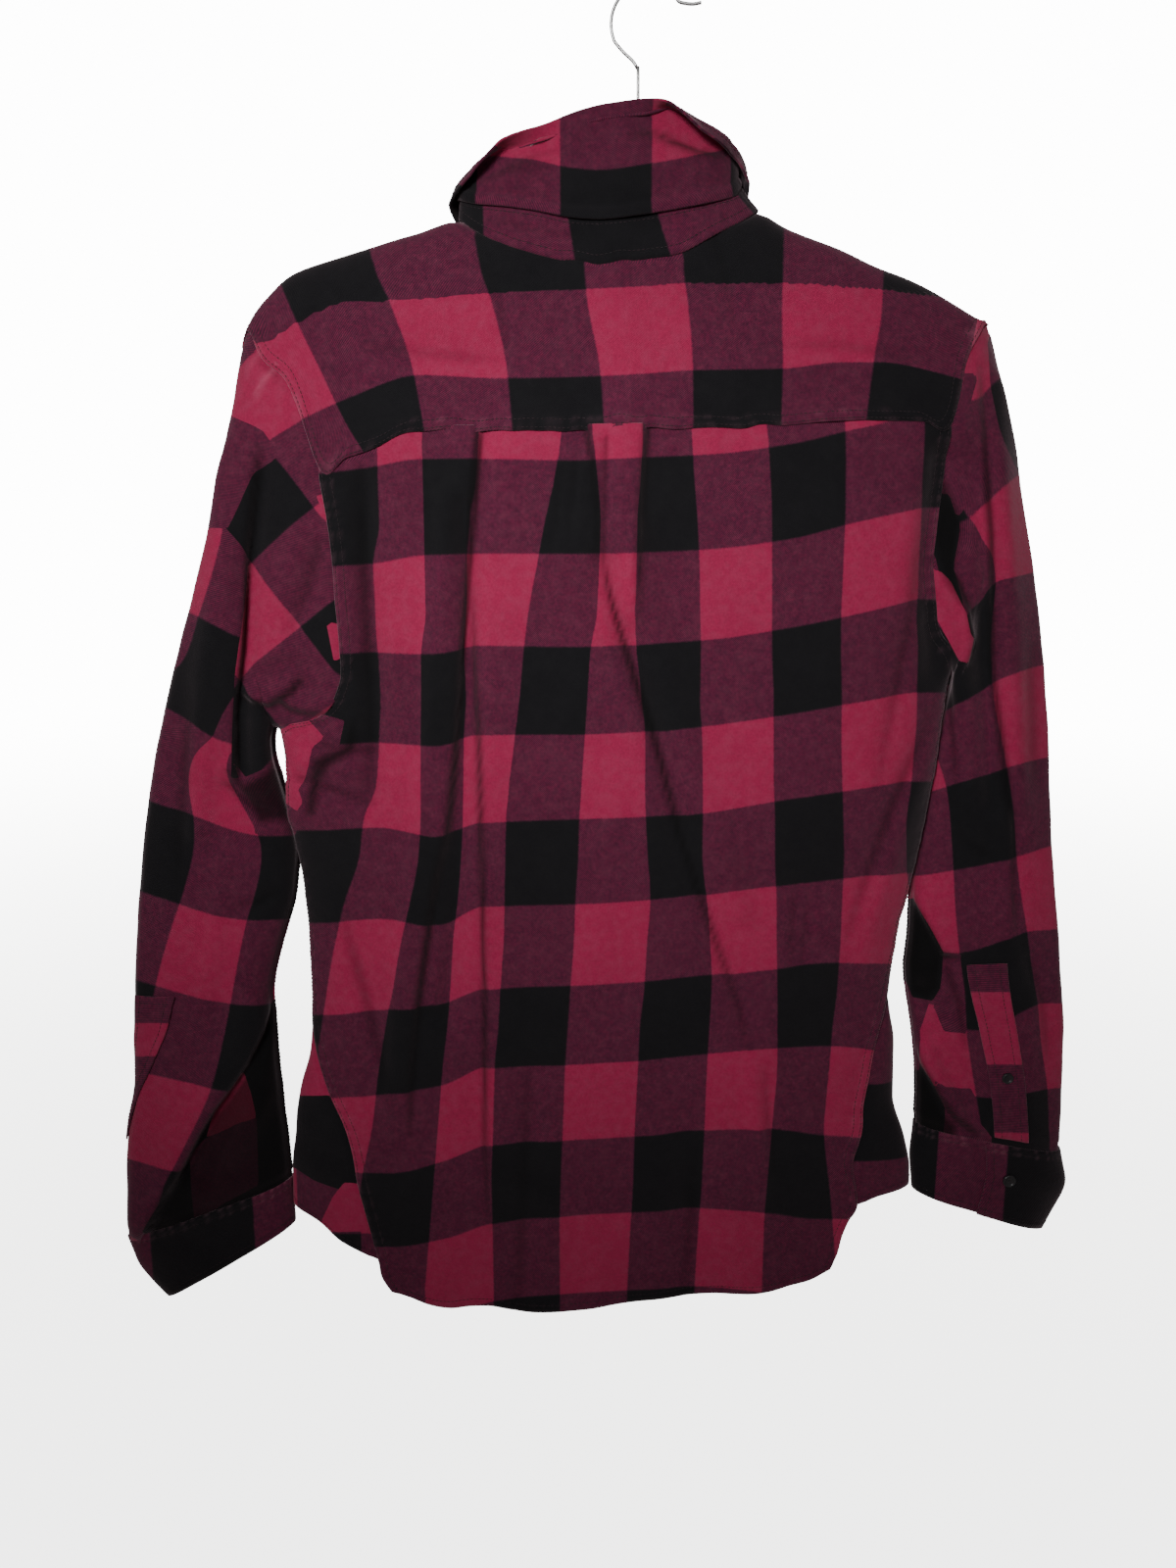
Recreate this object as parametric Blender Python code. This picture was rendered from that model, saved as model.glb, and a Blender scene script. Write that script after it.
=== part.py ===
"""A long-sleeved flannel shirt hanging on a wire hanger, built from the pieces a maker cuts and sews.

Frame: the origin is the inside top of the hanger's hook, +Z is up, the shirt's back faces -Y and its
front +Y, and +X is the wearer's right. Tables and sizes are in millimetres, and MM turns them to metres.

The shirt is described flat. The body is a flattened tube: q runs round it, from -2 at the centre front
through -1 at the left edge, 0 at the centre back and 1 at the right edge to 2 at the centre front again.
Over the shoulders r takes the place of height: 0 is the shoulder line, negative is the back.
Pieces share their seam points and each stops a little short of the seam.
"""

import math

import bpy
import numpy as np

MM = 0.001
SHARP_EDGE = 50.0    # degrees at which shading breaks
SAME_PLACE = 0.02    # points nearer than this are one point of a shared seam

CLOTH = 1.2            # one layer of flannel
DOUBLE_CLOTH = 2.0     # stand and cuffs are two layers with a stiffener
LEAF_CLOTH = 1.6
SEAM_BACK_OFF = 0.5    # how far each piece stops short of its seam
LAYER_GAP = 0.45       # air between a strip and the panel that it lies on

SHOULDER_ROUND = 60.0  # depth below the shoulder line at which the body is 0.7 of its full depth
NECK_CENTRE = -24.5
NECK_HALF_WIDTH = 100.5
NECK_BACK_R = 0.8165
NECK_FRONT_R = 0.866
NECK_CORNER_ANGLE = 131.0   # where the front yoke seams meet the neckline, from the centre back
YOKE_CORNER_ANGLE = 52.0    # where the columns from the yoke's lower corners meet the neckline

COLLAR_CENTRE = -31.0
COLLAR_HALF_WIDTH = 92.2
COLLAR_BACK_DEPTH = 24.0
COLLAR_FRONT_DEPTH = 27.0
COLLAR_END = 191.0       # degrees: each end of the stand runs past the centre front
LEAF_END = 179.0
LAP_FROM = 158.0         # degrees: where the stand's ends begin to part
LAP_FADE = 14.0
LAP_SHARE = 0.7          # of a layer, by which each end leaves their middle surface
FLAT_FROM = 131.0        # degrees beyond which the leaf's points spread apart
STAND_LIFT = 0.6
STAND_SIDE_LIFT = 1.1    # more room over the shoulder line, where the stand rises from a level seam
SIDE_SHARPNESS = 6
LEAF_LIFT = 0.9
ROLL_RADIUS = 2.2
SHORTEST_ROLL = 4.0
LEAF_CLEAR_OF_BODY = 4.6
LEAF_LIES_FROM = 100.0   # degrees beyond which the leaf lies on the fronts
LEAF_LIES_FADE = 15.0

PLACKET_LEFT = -41.0
PLACKET_RIGHT = -13.0
UNDER_EDGE = -38.0       # the right front's own edge, under the placket
FRONT_LAYER = 1.1        # how far the two fronts part from the middle surface at the placket
LAYER_FADE_LEFT = 85.0   # the left front is back in the middle surface this far left of the origin
LAYER_FADE = 35.0

ACROSS_BACK = 22       # steps along the back yoke seam
ACROSS_SHOULDER = 6    # steps along each front yoke seam
FRONT_NECK = 4         # steps along the left front's part of the neckline
PLACKET_STEPS = 3
ARMHOLE_YOKE = 4       # steps down the yoke's part of the back armhole
ARMHOLE_OVER = 2       # steps down the yoke's part of the front armhole
ARMHOLE_DOWN = 7       # steps down the rest of the armhole, back or front
SIDE_STEPS = {"left": 14, "right": 12}   # steps down each side seam
HEM_UP = {"left": 2, "right": 4}         # steps of the back hem that turn up toward each side seam
HEM_STEPS = 30
FACING_RISE = 2.5      # folds fade out toward the edges of the body and the sleeves
FACING_START = 0.3
SLEEVE_STEPS = 2       # rows from one sleeve ring to the next
RISE_STEPS = 3         # rows of the leaf below its roll, over it and past it
ROLL_STEPS = 3
FLAP_STEPS = 4
FRONT_FOLD_SHARE = 0.6
RELAX_ROUNDS = 40
Q_LENGTH = 360.0       # millimetres of cloth to one step of q at the middle of the back

CUFF_LAP = 0.05        # share of a turn that a cuff's outer end laps over its inner one
CUFF_LIFTED = 0.13     # share of a turn by which the lift of each lapping end has faded out
CUFF_LIFT_FADE = 0.08
CUFF_LIFT_SHARE = 0.55   # of a layer, by which each lapping end leaves their middle surface
CUFF_COLUMNS = 24
CUFF_STEPS = 2
LEFT_LAP_AT = 0.93
RIGHT_LAP_AT = 0.215
STRIP_COLUMNS = 4
SHORTEST_STRIP_ROW = 0.1   # rings
LEFT_STRIP_AIR = 1.6   # the left placket bends round the sleeve's edge, and needs more room there

FRONT_BUTTON = (5.6, 2.4)   # radius, thickness
SMALL_BUTTON = (5.2, 2.2)   # on the collar and the cuffs
TINY_BUTTON = (4.4, 1.9)    # on the sleeve plackets
COLLAR_BUTTON_AT = (1, 2)   # row and column of the piece that carries each button
CUFF_BUTTON_AT = (2, 1)
PLACKET_BUTTON_AT = {"left": (3, 1), "right": (5, 2)}   # rows and columns of the strips' points
BUTTON_SIDES = 12
BUTTON_GAP = 0.5
BUTTON_PROFILE = (
    # share of the radius, share of the thickness
    (0.80, 0.0), (1.0, 0.30), (1.0, 0.75), (0.88, 1.0), (0.66, 0.72),
)
BUTTON_TOP_Z = -268.0
BUTTON_PITCH = 89.0
BUTTON_COUNT = 7

WIRE_RADIUS = 1.1
WIRE_SIDES = 8
HOOK_RADIUS = 24.0
HOOK_CENTRE_X = 0.3
HOOK_SWEEP = (33.0, 200.0)   # degrees
HOOK_STEPS = 20
NECK_WIRE_X = -5.8
LEFT_ARM_X = (-134.0, -224.0)   # where each arm lies right under the cloth
RIGHT_ARM_X = (207.0, 84.0)
ARM_STEPS = 9
WIRE_UNDER_CLOTH = 2.2   # air between the hanger's arms and the cloth that hangs on them
WRAP_AIR = 0.5
WRAP_TURNS = 2.2
WRAP_PITCH = 3.4
WRAP_STEPS = 22
WRAP_START_Z = -112.5

# The hanger is one wire. These are its bends, in order along it, as (x, y, z).
HOOK_TIP = ((35.0, 0, -10.3), (30.0, 0, -11.2), (25.0, 0, -10.9))
HANGER_NECK = (
    (-21.2, 0, -33.5), (-15.6, 0, -39.5), (-9.6, 0, -44.6), (-6.6, 0, -49.0), (NECK_WIRE_X, 0, -54.0),
    (NECK_WIRE_X, 0, -115.5), (-7.2, 0, -119.9), (-11.5, 0, -122.4),
)
HANGER_BAR = (
    (-232.0, 0, -179.0), (-235.0, 0, -184.5), (-232.5, 0, -189.5), (-226.0, 0, -191.5),
    (-100.0, 0, -198.5), (20.0, 0, -205.5), (206.0, 0, -213.6),
    (213.0, 0, -213.2), (217.0, 0, -208.9), (215.0, 0, -204.2),
)
WRAP_LEAD = ((30.0, -1.0, -129.0), (6.0, -2.6, -118.2))

# Shoulder line. Between the neck's sides the line is the crown of the form that the neckline lies on.
SHOULDER_LINE = (
    # x, z
    (-276, -224), (-270, -208), (-258, -192), (-237, -176), (-206, -166), (-154, -151), (-128, -144),
    (-118, -143.5), (-110, -141), (-92, -128), (-77, -111), (-60, -88), (-41, -63), (-20, -54), (0, -71),
    (14, -91), (26, -107), (41, -121), (57, -132), (68, -137), (76, -138.5), (95, -148),
    (126, -159), (157, -172), (188, -184), (209, -195), (224, -203), (235, -209),
)

# Flattened tube of the body. Above the underarms its edges lie out in the sleeves.
BODY_TUBE = (
    # z, left edge, right edge, half depth
    (-982, -270, 207, 21), (-889, -274, 214, 22), (-847, -274, 217, 23), (-816, -270, 211, 24),
    (-780, -265, 200, 25), (-733, -253, 198, 26), (-692, -250, 192, 26), (-651, -250, 195, 27),
    (-609, -252, 203, 27), (-568, -258, 210, 28), (-552, -262, 212, 28), (-516, -261, 217, 29),
    (-480, -265, 220, 29), (-443, -272, 224, 30), (-381, -299, 260, 30), (-298, -335, 294, 31),
    (-226, -346, 302, 32), (-50, -346, 302, 32),
)

BACK_YOKE_SEAM = (
    # x, z
    (-223, -303), (-201, -297), (-183, -291), (-169, -283), (-151, -280), (-90, -280), (0, -279),
    (81, -277), (151, -273), (209, -274),
)

BACK_HEM = (
    # x, z
    (-205, -913), (-202, -930), (-195, -941), (-182, -945), (-167, -951), (-150, -955), (-126, -951),
    (-101, -955), (-77, -958), (-40, -955), (-15, -950), (21, -945), (61, -940), (82, -942), (102, -941),
    (124, -934), (143, -928), (155, -920), (160, -904), (163, -889), (169, -875), (173, -866),
)

FRONT_HEM_LEFT = (
    # x, z, side
    (-205, -913, "back"), (-231, -900, "back"), (-257, -880, "back"), (-274, -867, "edge"),
    (-258, -870, "front"), (-227, -887, "front"), (-185, -908, "front"), (-123, -922, "front"),
    (-41, -926, "front"),
)

FRONT_HEM_RIGHT = (
    # x, z, side
    (173, -866, "back"), (188, -861, "back"), (203, -857, "back"), (215, -852, "edge"),
    (203, -858, "front"), (172, -879, "front"), (126, -903, "front"), (64, -920, "front"),
    (-12, -926, "front"), (-38, -926, "front"),
)

SIDE_SEAM_LEFT = (
    # x, z, side
    (-264, -490, "edge"), (-262, -520, "edge"), (-258, -568, "edge"),
    (-250, -651, "edge"), (-250, -702, "edge"), (-245, -749, "back"), (-231, -787, "back"),
    (-221, -827, "back"), (-217, -857, "back"), (-209, -893, "back"), (-205, -913, "back"),
)

SIDE_SEAM_RIGHT = (
    # x, z, side
    (224, -443, "edge"), (217, -506, "edge"), (210, -568, "edge"), (198, -635, "edge"),
    (192, -676, "edge"), (188, -700, "back"), (183, -723, "back"), (178, -756, "back"),
    (174, -793, "back"), (168, -836, "back"), (170, -856, "back"), (173, -866, "back"),
)

# The armholes run from the shoulder point to the underarm, once down the back and once down the front.
ARMHOLE_LEFT_BACK_YOKE = (
    # x, z
    (-276, -224), (-260, -231), (-246, -241), (-237, -261), (-230, -284), (-223, -303),
)
ARMHOLE_LEFT_BACK = (
    # x, z, side
    (-223, -303, "back"), (-219, -335, "back"), (-216, -370, "back"), (-215, -406, "back"),
    (-214, -436, "back"), (-217, -458, "back"), (-228, -472, "back"), (-242, -483, "back"),
    (-264, -490, "edge"),
)
ARMHOLE_LEFT_FRONT_YOKE = (
    # x, z
    (-276, -224), (-264, -228), (-250, -236),
)
ARMHOLE_LEFT_FRONT = (
    # x, z, side
    (-250, -236, "front"), (-236, -262, "front"), (-223, -303, "front"), (-218, -350, "front"),
    (-223, -400, "front"), (-234, -440, "front"), (-247, -470, "front"), (-264, -490, "edge"),
)
ARMHOLE_RIGHT_BACK_YOKE = (
    # x, z
    (235, -209), (226, -217), (217, -234), (212, -254), (209, -274),
)
ARMHOLE_RIGHT_BACK = (
    # x, z, side
    (209, -274, "back"), (207, -310, "back"), (205, -345, "back"), (204, -370, "back"),
    (208, -396, "back"), (215, -421, "back"), (224, -443, "edge"),
)
ARMHOLE_RIGHT_FRONT_YOKE = (
    # x, z
    (235, -209), (226, -212), (215, -222),
)
ARMHOLE_RIGHT_FRONT = (
    # x, z, side
    (215, -222, "front"), (204, -252, "front"), (196, -293, "front"), (192, -340, "front"),
    (192, -381, "front"), (200, -417, "front"), (214, -437, "front"), (224, -443, "edge"),
)

# Each ring of a sleeve is a flattened tube between its outer and its inner edge.
LEFT_SLEEVE = (
    # outer x, outer z, inner x, inner z, half depth, centre y
    (-290, -282, -268, -488, 20, 0), (-306, -344, -270, -496, 20, 0), (-335, -430, -270, -512, 20, 3),
    (-360, -509, -265, -542, 20, 10), (-374, -574, -258, -579, 19, 10), (-381, -631, -263, -623, 18, 5),
    (-387, -693, -281, -688, 17, 1), (-391, -765, -280, -754, 16, 0), (-403, -822, -277, -808, 15, 0),
    (-409, -901, -275, -850, 14, 0),
)
RIGHT_SLEEVE = (
    # outer x, outer z, inner x, inner z, half depth, centre y
    (247, -244, 227, -451, 20, 4), (267, -316, 225, -468, 20, 9), (282, -373, 221, -494, 20, 13),
    (294, -431, 216, -524, 20, 14), (304, -498, 213, -559, 19, 14), (312, -576, 208, -602, 18, 12),
    (318, -627, 207, -640, 17, 6), (323, -672, 205, -677, 16, 3), (328, -714, 211, -715, 15, 0),
    (331, -759, 217, -756, 14, 0), (334, -825, 219, -802, 14, 0),
)
LEFT_CUFF = (
    # outer x, outer z, inner x, inner z, half depth, centre y
    (-409, -901, -275, -850, 14, 0), (-402, -927, -275, -869, 13, 0), (-381, -955, -275, -889, 12, 0),
)
RIGHT_CUFF = (
    # outer x, outer z, inner x, inner z, half depth, centre y
    (334, -825, 219, -802, 14, 0), (341, -854, 218, -830, 14, 0), (326, -893, 221, -859, 13, 0),
)

STAND_TOP = (
    # angle from the centre back, z
    (-189, -208), (-180, -207), (-165, -191), (-150, -165), (-131, -141), (-110, -130), (-90, -127),
    (-60, -132), (-30, -138), (-10, -144), (0, -145), (20, -141), (45, -134), (80, -124), (90, -121),
    (110, -125), (131, -138), (150, -162), (165, -191), (180, -207), (189, -208),
)

# The leaf stands up at the back. Toward the sides it rolls over, and in front it lies down.
LEAF = (
    # angle, height of the crest, turn of the roll in degrees, length past the roll
    (-176, -198, 176, 62), (-165, -183, 176, 60), (-150, -157, 176, 54), (-131, -134, 176, 44),
    (-112, -124, 172, 26), (-90, -122, 165, 12), (-69, -116, 150, 7), (-51, -107, 120, 7),
    (-38, -98, 60, 7), (-22, -90, 15, 6), (-8, -82, 0, 6), (3, -78, 0, 6), (17, -76, 20, 6),
    (31, -80, 110, 6), (43, -87, 150, 8), (58, -94, 165, 8), (75, -102, 168, 9), (90, -110, 168, 11),
    (112, -119, 172, 24), (131, -130, 176, 44), (150, -155, 176, 54), (165, -183, 176, 60),
    (176, -198, 176, 62),
)
POINT_SPREAD = 20.0   # degrees by which the leaf's free edge falls back from the centre front

# Long soft folds of the back: a path down the cloth, its half width and how far it stands out.
BACK_FOLDS = (
    # half width, stands out, path of (x, z)
    (9, -6.0, ((-124, -330), (-122, -400), (-125, -480), (-130, -560), (-138, -640), (-145, -700))),
    (8, 3.0, ((-136, -330), (-146, -430), (-155, -520), (-168, -600), (-180, -690), (-190, -780))),
    (11, -4.0, ((-27, -370), (-8, -430), (10, -490), (30, -560), (52, -620), (80, -700))),
    (12, 3.0, ((-6, -350), (12, -430), (32, -500), (52, -560), (72, -620))),
    (11, -4.5, ((-193, -320), (-192, -400), (-190, -470), (-196, -530))),
    (16, 5.0, ((-18, -276), (-18, -300), (-17, -340), (-12, -400))),
    (12, -9.0, ((206, -300), (202, -350), (203, -385), (213, -440))),
)
FRONT_FOLDS = (
    # half width, stands out, path of (x, z)
    (12, 4.0, ((-150, -300), (-158, -420), (-168, -560), (-180, -700), (-190, -840))),
    (10, -4.0, ((-120, -330), (-124, -480), (-130, -640), (-140, -800))),
    (12, 4.0, ((110, -290), (120, -430), (128, -580), (134, -740), (136, -850))),
    (10, -4.0, ((84, -350), (92, -500), (98, -660), (100, -800))),
)
LEFT_SLEEVE_FOLDS = (
    # half width, stands out, path of (x, z)
    (9, -5.0, ((-258, -290), (-270, -350), (-279, -420), (-288, -480), (-291, -520))),
    (11, 4.0, ((-290, -320), (-304, -400), (-318, -480), (-328, -560))),
    (10, -4.0, ((-275, -700), (-300, -745), (-325, -790), (-352, -835))),
)
RIGHT_SLEEVE_FOLDS = (
    # half width, stands out, path of (x, z)
    (9, -5.0, ((222, -260), (230, -330), (240, -400), (252, -470), (262, -540))),
    (11, 3.5, ((246, -300), (258, -380), (268, -460), (277, -540))),
    (9, -4.0, ((215, -690), (228, -725), (245, -765), (262, -795))),
)

LEFT_SLEEVE_PLACKET = (
    # how far down the sleeve's rings, one side, other side, both as shares of a turn from the outer edge
    (7.0, 0.070, 0.198), (7.35, 0.052, 0.176), (7.6, 0.024, 0.146), (7.85, -0.008, 0.112),
    (8.1, -0.040, 0.080), (8.45, -0.064, 0.056), (8.9, -0.090, 0.030),
)
RIGHT_SLEEVE_PLACKET = (
    # how far down the sleeve's rings, one side, other side, both as shares of a turn from the outer edge
    (7.8, 0.213, 0.295), (8.5, 0.209, 0.286), (9.3, 0.199, 0.275), (10.25, 0.181, 0.256), (10.9, 0.170, 0.245),
)

COLOURS = {
    "red_flannel": (0.33, 0.02, 0.05),
    "dark_flannel": (0.10, 0.015, 0.035),
    "black_button": (0.02, 0.015, 0.02),
    "steel": (0.55, 0.54, 0.52),
}


# ---------------------------------------------------------------- curves through tables

def smooth_through(keys, values):
    """A function of the key that passes through each row with no overshoot, a cubic between rows."""
    x = np.asarray(keys, float)
    y = np.asarray(values, float).reshape(len(x), -1)
    step = np.diff(x)[:, None]
    slope = np.diff(y, axis=0) / step
    tangent = np.zeros_like(y)
    tangent[0] = slope[0]
    tangent[-1] = slope[-1]
    if len(x) > 2:
        before, after = slope[:-1], slope[1:]
        same_way = before * after > 0
        total = np.where(same_way, before + after, 1.0)
        tangent[1:-1] = np.where(same_way, 2 * before * after / total, 0.0)

    def value(at):
        at = np.clip(np.asarray(at, float), x[0], x[-1])
        i = np.clip(np.searchsorted(x, at, side="right") - 1, 0, len(x) - 2)
        width = (x[i + 1] - x[i])[..., None]
        u = ((at - x[i])[..., None]) / width
        found = y[i] * (2 * u**3 - 3 * u**2 + 1) + y[i + 1] * (3 * u**2 - 2 * u**3)
        found = found + tangent[i] * width * (u**3 - 2 * u**2 + u) + tangent[i + 1] * width * (u**3 - u**2)
        return found[..., 0] if found.shape[-1] == 1 else found

    return value


def length_along(points):
    steps = np.linalg.norm(np.diff(points, axis=0), axis=1)
    return np.concatenate([[0.0], np.cumsum(steps)])


def along(points, count):
    """count + 1 points evenly spaced by length on a smooth line through the points."""
    points = np.asarray(points, float)
    length = length_along(points)
    return smooth_through(length, points)(np.linspace(0, length[-1], count + 1))


shoulder_line = smooth_through(*zip(*SHOULDER_LINE))
body_tube = smooth_through([row[0] for row in BODY_TUBE], [row[1:] for row in BODY_TUBE])
back_yoke_seam = smooth_through(*zip(*BACK_YOKE_SEAM))
stand_top = smooth_through(*zip(*STAND_TOP))
leaf_rows = smooth_through([row[0] for row in LEAF], [row[1:] for row in LEAF])


# ---------------------------------------------------------------- the body's form

def tube_at(z):
    """Middle, half width and half depth of the body's tube at a height."""
    found = body_tube(z)
    left, right, depth = found[..., 0], found[..., 1], found[..., 2]
    return (left + right) / 2, (right - left) / 2, depth


def q_of(x, z, side):
    """Where a point lies round the body, given the side of the shirt that it is on."""
    middle, half, _ = tube_at(z)
    share = np.clip((x - middle) / half, -1, 1)
    if side == "edge":
        return math.copysign(1.0, share)
    back = 2 / math.pi * math.asin(share)
    if side == "front":
        return math.copysign(2.0, share) - back
    return back


def front_q(x, z, sign):
    """The same for a point near the centre front, counted from the left (-1) or the right (1)."""
    middle, half, _ = tube_at(z)
    return sign * 2.0 - 2 / math.pi * math.asin((x - middle) / half)


def share_of_depth(below):
    """How much of its full depth the body has at a distance below the shoulder line."""
    return np.sqrt(below / (below + SHOULDER_ROUND))


def fold_relief(x, z, folds):
    """How far the folds stand out at each place, in millimetres."""
    relief = np.zeros_like(x)
    for half_width, out, path in folds:
        path = np.asarray(path, float)
        nearest = np.full(x.shape, 1e9)
        for a, b in zip(path[:-1], path[1:]):
            run = b - a
            t = np.clip(((x - a[0]) * run[0] + (z - a[1]) * run[1]) / (run @ run), 0, 1)
            nearest = np.minimum(nearest, np.hypot(x - a[0] - t * run[0], z - a[1] - t * run[1]))
        relief = relief + out * np.exp(-((nearest / half_width) ** 2))
    return relief


def squarely(facing):
    """1 where the cloth faces the back or the front squarely, and 0 by where it turns its edge."""
    return np.clip(facing * FACING_RISE - FACING_START, 0, 1)


def body_points(q, z, layer=0.0):
    """Points on the body's middle surface below the shoulders. layer moves the front out or in."""
    middle, half, depth = tube_at(z)
    share = np.sin(math.pi * q / 2)
    facing = np.cos(math.pi * q / 2)
    x = middle + half * share
    y = -depth * facing * np.sqrt(1 + share**2) * share_of_depth(np.maximum(shoulder_line(x) - z, 0.0))
    back = fold_relief(x, z, BACK_FOLDS) * squarely(facing)
    front = fold_relief(x, z, FRONT_FOLDS) * squarely(-facing)
    return np.stack([x, y - back + front + layer, z], -1)


def shoulder_points(x, r):
    """Points on the shoulders and yoke: r is negative on the back and 0 on the shoulder line."""
    z = shoulder_line(x) - SHOULDER_ROUND * r**2 / (1 - r**2)
    middle, half, depth = tube_at(z)
    share = np.clip((x - middle) / half, -1, 1)
    facing = np.sqrt(np.clip(1 - share**2, 0, 1))
    back = fold_relief(x, z, BACK_FOLDS) * squarely(facing) * (r < 0)
    return np.stack([x, r * depth * facing * np.sqrt(1 + share**2) - back, z], -1)


def r_of(x, z, side):
    """r of a point of the shoulders, given the side of the shirt that it is on."""
    r = float(share_of_depth(max(float(shoulder_line(x)) - z, 0.0)))
    return r if side == "front" else -r


def neckline(angle):
    """x and r of the neck seam at an angle from the centre back."""
    turn = np.radians(angle)
    size = np.where(np.cos(turn) > 0, NECK_BACK_R, NECK_FRONT_R)
    return NECK_CENTRE + NECK_HALF_WIDTH * np.sin(turn), -size * np.cos(turn)


def neckline_angle(x, sign):
    """The angle at which the front neckline crosses x, counted from the left (-1) or the right (1)."""
    return 180 - math.degrees(math.asin(sign * (x - NECK_CENTRE) / NECK_HALF_WIDTH))


# ---------------------------------------------------------------- patches

def patch(top, bottom, left, right, fade=1.0):
    """Fills four edges that share their corners with a smooth grid of rows from top to bottom.

    Its columns run straight from top to bottom, and bend toward the shapes of the left and right
    edges near them. A greater fade keeps that bend nearer to the edges.
    """
    top, bottom, left, right = (np.asarray(edge, float) for edge in (top, bottom, left, right))
    s = np.linspace(0, 1, len(top))[None, :, None]
    length = length_along((left + right) / 2)
    down = (length / length[-1])[:, None, None]
    straight = (1 - down) * top[None] + down * bottom[None]
    left_bend = left[:, None] - straight[:, :1]
    right_bend = right[:, None] - straight[:, -1:]
    return straight + (1 - s) ** fade * left_bend + s**fade * right_bend


def relaxed(flat):
    """Evens out the inside of a patch of (q, z) so that its cells follow the edges and never cross.

    Each inner point moves to where both families of lines run smoothly through it, which holds
    beside an edge that curves inwards too.
    """
    made = flat * (Q_LENGTH, 1)
    for _ in range(RELAX_ROUNDS):
        left, right = made[1:-1, :-2], made[1:-1, 2:]
        above, below = made[:-2, 1:-1], made[2:, 1:-1]
        corners = made[2:, 2:] - made[2:, :-2] - made[:-2, 2:] + made[:-2, :-2]
        across = (right - left) / 2
        down = (below - above) / 2
        a = np.sum(down**2, axis=-1, keepdims=True)
        b = np.sum(across * down, axis=-1, keepdims=True)
        c = np.sum(across**2, axis=-1, keepdims=True)
        made[1:-1, 1:-1] = (a * (left + right) + c * (above + below) - b * corners / 2) / (2 * (a + c))
    return made / (Q_LENGTH, 1)


def normals_of(grid, ring=False):
    """Unit normals of a grid of points. A ring's last column meets its first."""
    if ring:
        wide = np.concatenate([grid[:, -1:], grid, grid[:, :1]], axis=1)
        across = wide[:, 2:] - wide[:, :-2]
    else:
        across = np.gradient(grid, axis=1)
    normal = np.cross(across, np.gradient(grid, axis=0))
    return normal / np.maximum(np.linalg.norm(normal, axis=-1, keepdims=True), 1e-9)


def back_off(grid, edges, by):
    """Pulls the named edges (t, b, l, r: top, bottom, left, right) of a grid a little inwards."""
    made = grid.copy()
    rows = {"t": (0, 1), "b": (-1, -2)}
    for name in edges:
        a, b = rows.get(name) or {"l": (0, 1), "r": (-1, -2)}[name]
        edge, inner = (made[a], made[b]) if name in rows else (made[:, a], made[:, b])
        line = np.gradient(edge, axis=0)
        line = line / np.linalg.norm(line, axis=-1, keepdims=True)
        run = inner - edge
        run = run - line * np.sum(run * line, axis=-1, keepdims=True)
        edge += run * (by / np.maximum(np.linalg.norm(run, axis=-1, keepdims=True), 1e-9))
    return made


# ---------------------------------------------------------------- solids

def clear_scene():
    for item in list(bpy.data.objects):
        bpy.data.objects.remove(item, do_unlink=True)


def finish_for(name):
    """A Principled material in one of the shirt's colours."""
    made = bpy.data.materials.get(name) or bpy.data.materials.new(name)
    made.use_nodes = True
    shader = made.node_tree.nodes["Principled BSDF"]
    shader.inputs["Base Color"].default_value = (*COLOURS[name], 1)
    shader.inputs["Roughness"].default_value = 0.3 if name in ("steel", "black_button") else 0.95
    shader.inputs["Metallic"].default_value = 1.0 if name == "steel" else 0.0
    return made


def solid(name, points, faces, finish):
    """One named object from points in millimetres, with its faces turned outwards."""
    points = np.asarray(points, float) * MM
    volume = 0.0
    for face in faces:
        a = points[face[0]]
        for i in range(1, len(face) - 1):
            volume += a @ np.cross(points[face[i]], points[face[i + 1]])
    if volume < 0:
        faces = [tuple(reversed(face)) for face in faces]
    mesh = bpy.data.meshes.new(name)
    mesh.from_pydata([tuple(p) for p in points], [], faces)
    mesh.materials.append(finish_for(finish))
    mesh.shade_smooth()
    mesh.set_sharp_from_angle(angle=math.radians(SHARP_EDGE))
    made = bpy.data.objects.new(name, mesh)
    bpy.context.scene.collection.objects.link(made)
    return made


def wall(name, grid, normals, finish, thick=CLOTH, ring=False):
    """A cloth wall: the grid of points moved out and in by half its thickness, and closed at its rims.

    Each cell is split along its shorter diagonal, the same on both faces, so the wall keeps its thickness.
    """
    rows, columns = grid.shape[:2]
    lift = normals * (thick / 2)
    points = np.concatenate([(grid + lift).reshape(-1, 3), (grid - lift).reshape(-1, 3)])
    flat = grid.reshape(-1, 3)
    inner = rows * columns
    spans = columns if ring else columns - 1
    faces = []
    for j in range(rows - 1):
        for i in range(spans):
            a, b = j * columns + i, j * columns + (i + 1) % columns
            c, d = b + columns, a + columns
            if np.linalg.norm(flat[a] - flat[c]) < np.linalg.norm(flat[b] - flat[d]):
                halves = ((a, d, c), (a, c, b))
            else:
                halves = ((a, d, b), (d, c, b))
            for half in halves:
                faces.append(half)
                faces.append(tuple(inner + k for k in half[::-1]))
    for j in (0, rows - 1):
        for i in range(spans):
            a, b = j * columns + i, j * columns + (i + 1) % columns
            rim = (a, b, inner + b, inner + a)
            faces.append(rim if j == 0 else rim[::-1])
    for i in () if ring else (0, columns - 1):
        for j in range(rows - 1):
            a, b = j * columns + i, (j + 1) * columns + i
            rim = (a, b, inner + b, inner + a)
            faces.append(rim[::-1] if i == 0 else rim)
    return solid(name, points, faces, finish)


# ---------------------------------------------------------------- seams shared by the pieces

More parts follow.
